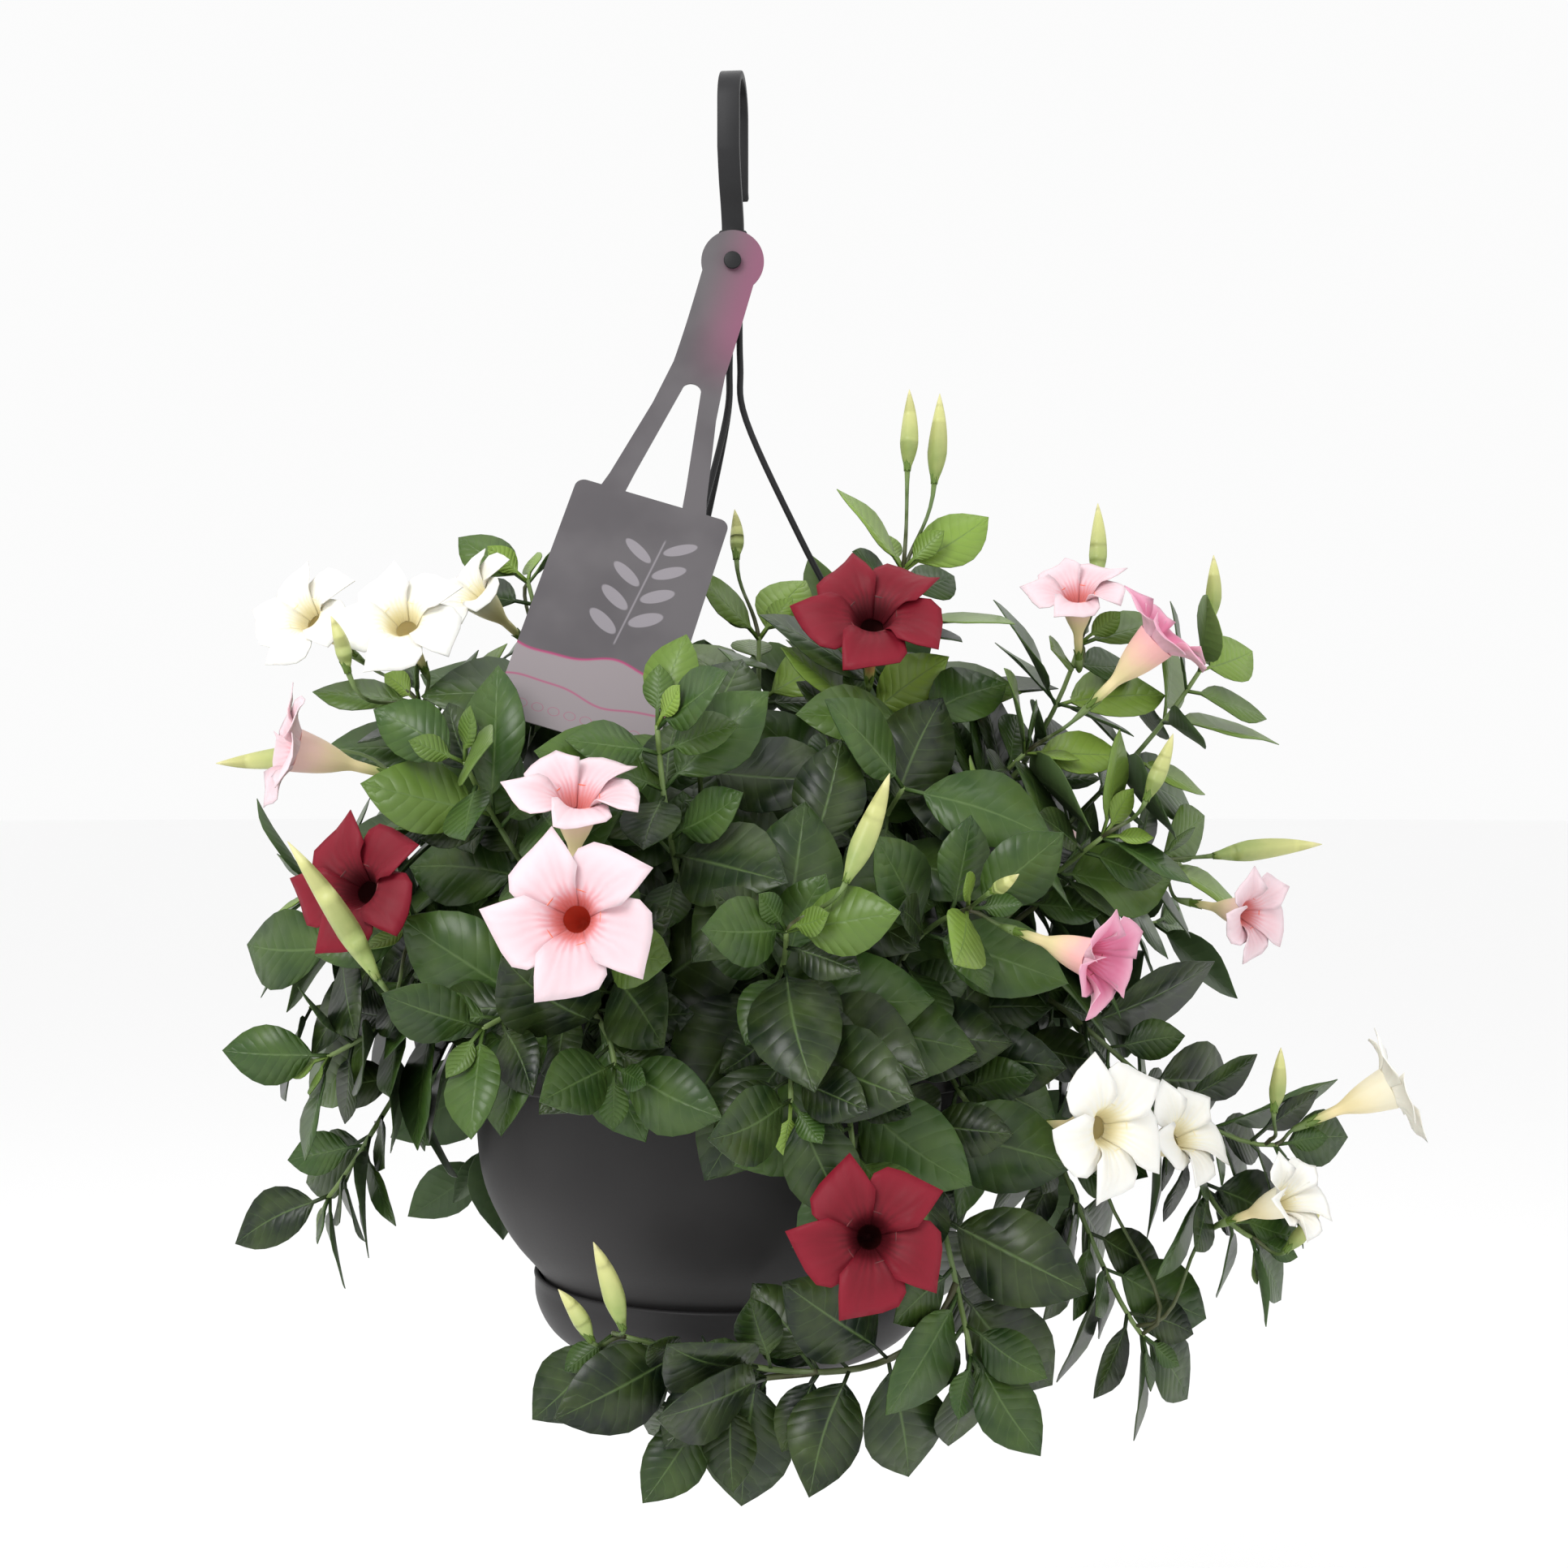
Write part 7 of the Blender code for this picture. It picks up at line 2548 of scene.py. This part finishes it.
# Plants
@dataclass
class Foliage:
    """The leafy stems with their stalks and buds."""

    plan: PlantPlan
    leaf: LeafFinish
    stem: ShootFinish
    bud: ShootFinish
    columns: int = 2
    rows: int = 11
    stem_sides: int = 8
    bud_sides: int = 15
    bud_ridge: float = 0.05
    bud_twist: float = 2.2
    blade_thick: float = 0.5
    petiole_thick: float = 1.5
    rib_depth: float = 0.7
    fold: float = 0.17
    fold_spread: tuple[float, float] = (0.6, 1.3)
    wave: float = 0.02
    waves: float = 7.0
    keel: float = 1.2
    turn_spread: float = 0.16
    sway_spread: float = 0.05
    tone_spread: float = 0.34
    # Painted shade from above: leaves are painted lighter above this height and darker below it, over
    # this span
    shade_level: float = -430.0
    shade_span: float = 560.0
    stalk_half: float = 0.8
    stalk_rows: int = 2
    leaf_rows: tuple[float, ...] = (-1.0, 0.0, 0.05, 0.13, 0.24, 0.37, 0.51, 0.65, 0.78, 0.89, 0.96, 1.0)
    leaf_widths: tuple[float, ...] = (0.0, 0.0, 0.29, 0.57, 0.81, 0.96, 0.99, 0.87, 0.64, 0.34, 0.12, 0.0)
    bud_outline: Profile = listed(
        (0.0, 0.34), (0.06, 0.46), (0.14, 0.68), (0.24, 0.9), (0.34, 1.0), (0.5, 0.93), (0.64, 0.78),
        (0.78, 0.56), (0.9, 0.3), (0.97, 0.12), (1.0, 0.03),
    )
    bud_steps: int = 15
    bud_bow: float = 1.3
    bud_least: float = 0.12
    sepals: int = 5
    sepal_half: float = 1.35
    sepal_thick: float = 0.4
    bud_sepals: tuple[float, float] = (1.7, 6.5)
    bloom_sepals: tuple[float, float] = (2.2, 8.0)
    stem_tone: float = 0.2
    stalk_tone: float = 0.6
    groups: int = 6
    seed: int = 11

    def __post_init__(self) -> None:
        """Makes the finishes and the blank leaf."""
        self.finishes = [self.stem.make(), self.leaf.make(), self.bud.make()]
        self.blank = Blank(self.columns, self.rows, 1)
        self.draws = random.Random(self.seed)

    def add_leaf(self, shape: bmesh.types.BMesh, leaf: Leaf, start: Vector) -> None:
        """Adds one leaf, folded along its midrib, arched and a little waved.

        Args:
            shape: The shape that it is added to.
            leaf: The leaf.
            start: Where its stalk starts on the finished stem.
        """
        side = leaf.along.cross(leaf.normal).normalized()
        base = leaf.start + leaf.along * leaf.petiole
        phase = self.draws.uniform(0.0, math.tau)
        turn = self.draws.uniform(-self.turn_spread, self.turn_spread)
        sway = self.draws.uniform(-self.sway_spread, self.sway_spread) * leaf.length
        fold = self.fold * self.draws.uniform(*self.fold_spread)
        tone = leaf.tone + self.draws.uniform(-self.tone_spread, self.tone_spread)
        # Painted shade: lower leaves get a darker tone and higher ones a lighter tone
        tone = min(max(tone + (leaf.start.z - self.shade_level) / self.shade_span, 0.0), 1.0)

        def bend(across: float, along: float, under: float) -> tuple[Vector, tuple]:
            """Places one spot of the leaf.

            Args:
                across: How far across it is, from -1 to 1.
                along: How far along it is, from 0 to 1.
                under: 1 on the underside.

            Returns:
                Its place and its growth map.
            """
            row = round(along * self.rows)
            t = max(self.leaf_rows[row], 0.0)
            stalk = row < self.stalk_rows
            width = self.stalk_half / leaf.half_width if stalk else self.leaf_widths[row]
            thick = self.petiole_thick if stalk else self.blade_thick
            rib = 0.0 if stalk else self.rib_depth * (1.0 - t) * max(0.0, 1.0 - abs(across) * 2.0)
            middle = start if row == 0 else base + leaf.along * (leaf.length * t)
            middle = middle - leaf.normal * (leaf.arch * leaf.length * t * t)
            middle = middle + side * (sway * math.sin(math.pi * t))
            reach = across * width * leaf.half_width
            rise = abs(reach) * fold * (1.0 - 0.5 * t) - self.keel * width
            rise += self.wave * leaf.length * math.sin(self.waves * t + phase) * abs(across) * width
            height, twist = rise + (0.5 - under) * thick - under * rib, turn * t
            spot = middle + side * (reach * math.cos(twist) - height * math.sin(twist))
            spot += leaf.normal * (height * math.cos(twist) + reach * math.sin(twist))
            return spot, (across * 0.5 + 0.5, t, tone, under)

        self.blank.stamp(shape, bend)

    def add_bud(self, piece: Piece, bud: Bud) -> None:
        """Adds a bud: a twisted spindle with its small sepals.

        Args:
            piece: The piece that it is added to.
            bud: The bud.
        """
        base, tip = Vector(bud.base), Vector(bud.tip)
        girth = self.plan.bud_width(bud)
        places = [index / self.bud_steps for index in range(self.bud_steps + 1)]
        axis = tip - base
        side = axis.orthogonal().normalized()
        bows = [self.bud_bow * math.sin(math.pi * place) for place in places]
        route = [base + axis * place + side * bow for place, bow in zip(places, bows)]
        radii = [max(girth * between(self.bud_outline, place), self.bud_least) for place in places]
        piece.add(sweep(route, radii, self.bud_sides, 0.3, self.bud_ridge, self.bud_twist), 2)
        axis.normalize()
        self.add_sepals(piece.shape, base - axis * 0.8, axis, *self.bud_sepals)

    def add_sepals(self, shape: bmesh.types.BMesh, spot: Vector, axis: Vector, radius: float,
                   length: float) -> None:
        """Adds small pointed sepals round a foot.

        Args:
            shape: The shape that they are added to.
            spot: The middle of the foot.
            axis: The direction in which they point.
            radius: Their distance from the axis.
            length: Their length.
        """
        side = axis.orthogonal().normalized()
        for index in range(self.sepals):
            out = Matrix.Rotation(math.tau * index / self.sepals, 3, axis) @ side
            across = axis.cross(out)

            def bend(x: float, along: float, under: float) -> tuple[Vector, tuple]:
                """Places one spot of the sepal.

                Args:
                    x: How far across it is, from -1 to 1.
                    along: How far along it is, from 0 to 1.
                    under: 1 on the underside.

                Returns:
                    Its place and its growth map.
                """
                width = self.sepal_half * (math.sin(math.pi * min(along * 0.85 + 0.14, 1.0)))
                rise = radius + 0.9 * along * along + (0.5 - under) * self.sepal_thick
                rise -= abs(x) * width * 0.3
                place = spot + axis * (length * along) + across * (x * width) + out * rise
                return place, (x * 0.5 + 0.5, 0.4, 0.75, under)

            self.blank.stamp(shape, bend)

    def add_shoot(self, piece: Piece, name: str) -> None:
        """Adds one shoot with its stalks, buds and leaves.

        Args:
            piece: The piece that it is added to.
            name: The shoot's name.
        """
        plan = self.plan
        fine = plan.fine[name]
        piece.add(sweep(fine, plan.stem_radii(fine), self.stem_sides, self.stem_tone))
        for (route, radii), head in plan.stalks[name]:
            route = [nearest_spot(fine, route[0])] + route[1:]
            piece.add(sweep(route, radii, self.stem_sides, self.stalk_tone))
            if isinstance(head, Bud):
                self.add_bud(piece, head)
            else:
                facing, (radius, length) = plan.form.axes(head)[0], self.bloom_sepals
                self.add_sepals(piece.shape, route[-1] - facing * 1.5, facing, radius * head.size, length)
        for leaf in plan.leaves[name]:
            self.add_leaf(piece.shape, leaf, nearest_spot(fine, leaf.start))

    def build(self) -> None:
        """Builds each rooted stem with its side shoots, and the stems between them."""
        plan = self.plan
        for root in [shoot for shoot in SHOOTS if not shoot.parent]:
            piece = Piece(root.name.replace("stem_", "plant_"), "leaf_green", self.finishes)
            for shoot in [shoot for shoot in SHOOTS if plan.owner[shoot.name] == root.name]:
                self.add_shoot(piece, shoot.name)
            piece.hold_inside()
            piece.finish(piece.make(), root.name)
        for group in range(self.groups):
            piece = Piece(f"inner_foliage_{group + 1}", "leaf_green", self.finishes)
            for shoot in plan.extra[group::self.groups]:
                self.add_shoot(piece, shoot.name)
            piece.finish(piece.make())
        self.blank.drop()


@dataclass
class Blooms:
    """The trumpet blooms: a ribbed tube and five overlapping petals, turned like a pinwheel."""

    form: BloomForm
    petals: dict[PetalColour, PetalFinish]
    tubes: dict[PetalColour, TubeFinish]
    columns: int = 8
    rows: int = 8
    funnel: float = 0.25
    funnel_in: float = 5.4
    funnel_down: float = 9.5
    tube_steps: int = 20
    tube_rib: float = 0.045
    tube_rib_from: float = 15.0
    tube_fold_from: float = 19.0
    petal_thick: float = 0.55
    petal_foot: float = 0.6
    petal_lean: tuple[float, float] = (1.2, 2.6)
    petal_cup: float = 3.4
    petal_droop: float = 3.2
    droop_spread: tuple[float, float] = (0.6, 1.3)
    stretch: tuple[float, float] = (0.93, 0.98)
    ruffle: float = 1.1
    ruffles: float = 11.0
    pinwheel: float = 6.0
    outline: Profile = listed(
        (-8.0, 20.0), (1.0, 28.0), (10.0, 31.8), (22.0, 32.6), (34.0, 33.6), (45.0, 35.6), (54.0, 38.2),
        (64.0, 29.0), (78.0, 21.0),
    )
    tube_outer: Profile = listed(
        (1.9, 0.0), (2.3, 5.0), (2.7, 12.0), (2.9, 17.0), (4.0, 21.0), (6.4, 26.5),
        (8.7, 33.0), (10.4, 39.5), (11.6, 44.6), (11.9, 46.1),
    )
    tube_inner: Profile = listed(
        (11.2, 46.3), (10.6, 44.0), (9.3, 38.5), (7.6, 32.5), (5.2, 26.5), (3.0, 22.0), (1.4, 19.2),
        (0.0, 18.6),
    )
    seed: int = 5

    def __post_init__(self) -> None:
        """Makes the finishes and the blank petal."""
        self.finishes = {
            colour: [self.petals[colour].make(), self.tubes[colour].make()] for colour in PetalColour
        }
        self.blank = Blank(self.columns, self.rows, 0)
        self.draws = random.Random(self.seed)

    def frame_of(self, bloom: Bloom) -> Matrix:
        """Gives the frame that a bloom stands in, with Z along its tube."""
        facing, across, up = self.form.axes(bloom)
        turn = Matrix((across, up, facing)).transposed().to_4x4()
        return Matrix.Translation(self.form.base(bloom)) @ turn @ Matrix.Scale(bloom.size, 4)

    def tube(self, bloom: Bloom) -> bmesh.types.BMesh:
        """Makes a bloom's ribbed tube with its throat.

        Args:
            bloom: The bloom.

        Returns:
            The shape.
        """
        fold = 1.0 - bloom.opening
        outer, inner = smooth_profile(self.tube_outer, 2), smooth_profile(self.tube_inner, 2)
        shape = turned([(0.0, 0.0)] + outer + inner, self.tube_steps)
        layer = shape.verts.layers.float_color[MAP]
        top = self.form.mouth[1]
        lowest = min(height for _, height in inner)
        skin = sorted((height, radius) for radius, height in self.tube_outer)
        for corner in shape.verts:
            radius, height = corner.co.xy.length, corner.co.z
            wave = math.cos(5.0 * math.atan2(corner.co.y, corner.co.x))
            inside = height > lowest - 0.01 and radius < between(skin, height) - 0.35
            share, rib = [max(0.0, (height - low) / (top - low))
                          for low in (self.tube_fold_from, self.tube_rib_from)]
            narrow = 1.0 - self.form.folded_tube * fold * share
            bulge = 1.0 + self.tube_rib * wave * rib
            corner.co.x *= narrow * bulge
            corner.co.y *= narrow * bulge
            corner[layer] = (0.5 + 0.5 * wave, height / top, 0.0, float(inside))
        bmesh.ops.transform(shape, matrix=self.frame_of(bloom), verts=shape.verts)
        return shape

    def add_petal(self, shape: bmesh.types.BMesh, bloom: Bloom, number: int) -> None:
        """Adds one petal, asymmetric and ruffled, over its left neighbour.

        Args:
            shape: The shape that it is added to.
            bloom: The bloom.
            number: Which of the five it is.
        """
        frame_here = self.frame_of(bloom)
        fold = 1.0 - bloom.opening
        narrow = 1.0 - self.form.folded_tube * fold
        shrink = 1.0 - self.form.folded_reach * fold
        phase = self.draws.uniform(0.0, math.tau)
        stretch = self.draws.uniform(*self.stretch) * shrink
        droop = self.petal_droop * self.draws.uniform(*self.droop_spread)

        def bend(across: float, along: float, under: float) -> tuple[Vector, tuple]:
            """Places one spot of the petal.

            Args:
                across: How far across it is, from -1 to 1.
                along: How far along it is, from 0 to 1.
                under: 1 on the underside.

            Returns:
                Its place and its growth map.
            """
            share = across * 0.5 + 0.5
            turn, reach = self.outline[round(share * self.columns)]
            flat = max(along - self.funnel, 0.0) / (1.0 - self.funnel)
            deep = 1.0 - min(along / self.funnel, 1.0)
            start = (self.form.mouth[0] - self.petal_foot) * narrow
            radius = start + (reach * stretch - start) * flat - self.funnel_in * deep
            lean = (share - 0.5) * (self.petal_lean[0] + self.petal_lean[1] * min(1.0, flat * 2.2))
            bow = math.sin(math.pi * share)
            rise = self.petal_cup * math.sin(math.pi * 0.5 * min(1.0, flat * 1.7))
            rise -= droop * bow * flat ** 3
            ruffle = self.ruffle * flat * flat * math.sin(share * self.ruffles + phase)
            height = self.form.mouth[1] + rise + lean + ruffle + self.form.folded_rise * fold * flat
            height += (0.5 - under) * self.petal_thick - self.funnel_down * deep
            skew = turn + self.pinwheel * flat * flat * bow
            angle = math.radians(self.form.start + 360.0 / self.form.petals * number + skew)
            spot = Vector((radius * math.cos(angle), radius * math.sin(angle), height))
            round_share = (number + share) / self.form.petals
            return frame_here @ spot, (round_share, along, 0.4 + 0.4 * share, under)

        self.blank.stamp(shape, bend)

    def build(self) -> None:
        """Builds and dresses each bloom."""
        for bloom in BLOOMS:
            name = bloom.name.replace("bloom_", "flower_")
            piece = Piece(name, f"petal_{bloom.colour.value}", self.finishes[bloom.colour])
            piece.add(self.tube(bloom), 1)
            for number in range(self.form.petals):
                self.add_petal(piece.shape, bloom, number)
            piece.hold_inside()
            piece.finish(piece.make(), bloom.name)
        self.blank.drop()


# Studio
@dataclass
class Studio:
    """The plain pale floor, the soft lights and the camera."""

    finish: StudioFinish
    eye: Point = (0.027, -1.1, -0.3725)
    lens: float = 47.66
    sensor: float = 36.0
    floor_height: float = -1.05
    floor_radius: float = 40.0
    world: float = 0.97
    lights: tuple[tuple[str, Point, float, float], ...] = (
        ("key_light", (-0.9, -1.5, 0.75), 1.1, 24.0),
        ("fill_light", (1.5, -1.0, -0.1), 1.4, 3.0),
        ("top_light", (0.1, 0.6, 1.0), 1.2, 3.6),
    )

    def floor(self) -> None:
        """Makes the floor."""
        shape = bmesh.new()
        bmesh.ops.create_circle(shape, cap_ends=True, radius=self.floor_radius, segments=96)
        bmesh.ops.translate(shape, vec=(0.0, 0.0, self.floor_height), verts=shape.verts)
        mesh = bpy.data.meshes.new("studio_floor")
        shape.to_mesh(mesh)
        shape.free()
        mesh.materials.append(self.finish.make())
        thing = add_object("studio_floor", mesh)

    @staticmethod
    def light(name: str, spot: Point, size: float, power: float) -> None:
        """Adds a soft area light that points at the basket.

        Args:
            name: Its name.
            spot: Where it stands.
            size: Its size.
            power: Its power.
        """
        data = bpy.data.lights.new(name, "AREA")
        data.shape = "DISK"
        data.size = size
        data.energy = power
        thing = add_object(name, data)
        thing.location = spot
        thing.rotation_euler = (LIT_SPOT - Vector(spot)).to_track_quat("-Z", "Y").to_euler()

    def camera(self) -> None:
        """Adds the camera at the photograph's viewing angle."""
        data = bpy.data.cameras.new("photo_camera")
        data.lens = self.lens
        data.sensor_width = self.sensor
        data.sensor_fit = "HORIZONTAL"
        thing = add_object("photo_camera", data)
        thing.location = self.eye
        thing.rotation_euler = (math.radians(90.0), 0.0, 0.0)
        bpy.context.scene.camera = thing

    def build(self) -> None:
        """Builds the studio."""
        self.floor()
        for light in self.lights:
            self.light(*light)
        world = bpy.data.worlds.new("studio_world")
        world.use_nodes = True
        background = world.node_tree.nodes["Background"].inputs
        background["Color"].default_value = (1.0, 1.0, 1.0, 1.0)
        background["Strength"].default_value = self.world
        bpy.context.scene.world = world
        bpy.context.scene.view_settings.view_transform = "Standard"
        self.camera()
        log.info("studio")


def petal_finishes() -> tuple[dict[PetalColour, PetalFinish], dict[PetalColour, TubeFinish]]:
    """Gives the finishes of the petals and the tubes.

    Returns:
        The petals' finishes and the tubes', each by colour.
    """
    green, cream = (0.36, 0.42, 0.12), (0.78, 0.66, 0.36)
    petals = {
        PetalColour.WHITE: PetalFinish(
            "petals_white", (0.80, 0.78, 0.71), (0.84, 0.83, 0.79), (0.82, 0.76, 0.54),
            (0.78, 0.66, 0.30), (0.78, 0.75, 0.64),
        ),
        PetalColour.BLUSH: PetalFinish(
            "petals_blush", (0.72, 0.50, 0.54), (0.76, 0.60, 0.64), (0.70, 0.30, 0.33),
            (0.66, 0.10, 0.07), (0.74, 0.56, 0.58),
        ),
        PetalColour.PINK: PetalFinish(
            "petals_pink", (0.66, 0.17, 0.31), (0.74, 0.36, 0.48), (0.60, 0.06, 0.17),
            (0.42, 0.02, 0.05), (0.74, 0.49, 0.56),
        ),
        PetalColour.RED: PetalFinish(
            "petals_red", (0.150, 0.003, 0.011), (0.200, 0.005, 0.017), (0.085, 0.002, 0.006),
            (0.030, 0.002, 0.003), (0.170, 0.008, 0.020),
        ),
    }
    tubes = {
        PetalColour.WHITE: TubeFinish("tube_white", green, cream, (0.84, 0.78, 0.60), (0.86, 0.76, 0.45)),
        PetalColour.BLUSH: TubeFinish("tube_blush", green, cream, (0.86, 0.56, 0.50), (0.80, 0.13, 0.07)),
        PetalColour.PINK: TubeFinish("tube_pink", green, cream, (0.84, 0.42, 0.42), (0.32, 0.02, 0.03)),
        PetalColour.RED: TubeFinish(
            "tube_red", green, (0.46, 0.13, 0.05), (0.34, 0.01, 0.02), (0.05, 0.004, 0.004)
        ),
    }
    return petals, tubes


def main() -> None:
    """Builds the basket, its plants and the studio, and notes the sizes."""
    logging.basicConfig(level=logging.INFO, format="%(name)s: %(message)s")
    Studio(StudioFinish()).build()
    pot = Pot(MouldedPlastic("pot_moulding", (0.027, 0.0255, 0.026), (0.046, 0.044, 0.044), 0.46))
    saucer = Saucer(MouldedPlastic("saucer_moulding", (0.023, 0.022, 0.023), (0.04, 0.038, 0.038), 0.44))
    grit = MouldedPlastic("pale_grit", (0.62, 0.60, 0.55), (0.45, 0.40, 0.33), 0.8, 2000.0)
    soil = Soil(PeatFinish("damp_peat", (0.022, 0.013, 0.008), (0.10, 0.062, 0.035)), grit, pot)
    hanger = Hanger(MouldedPlastic("hanger_moulding", (0.014, 0.014, 0.015), (0.035, 0.035, 0.037), 0.38),
                    pot)
    tag = HangTag(CardFinish(), hanger.peg_height)
    for part in (pot, saucer, soil, hanger, tag):
        part.build()
    form = BloomForm()
    plan = PlantPlan(pot, saucer, soil, hanger, tag, form)
    log.info("leaves: %d", sum(len(leaves) for leaves in plan.leaves.values()))
    Foliage(
        plan, LeafFinish(),
        ShootFinish("stem_skin", (0.055, 0.045, 0.022), (0.10, 0.16, 0.045), (0.20, 0.28, 0.08)),
        ShootFinish("bud_skin", (0.22, 0.31, 0.08), (0.56, 0.56, 0.22), (0.74, 0.67, 0.40), 0.4),
    ).build()
    Blooms(form, *petal_finishes()).build()


if __name__ == "__main__":
    main()
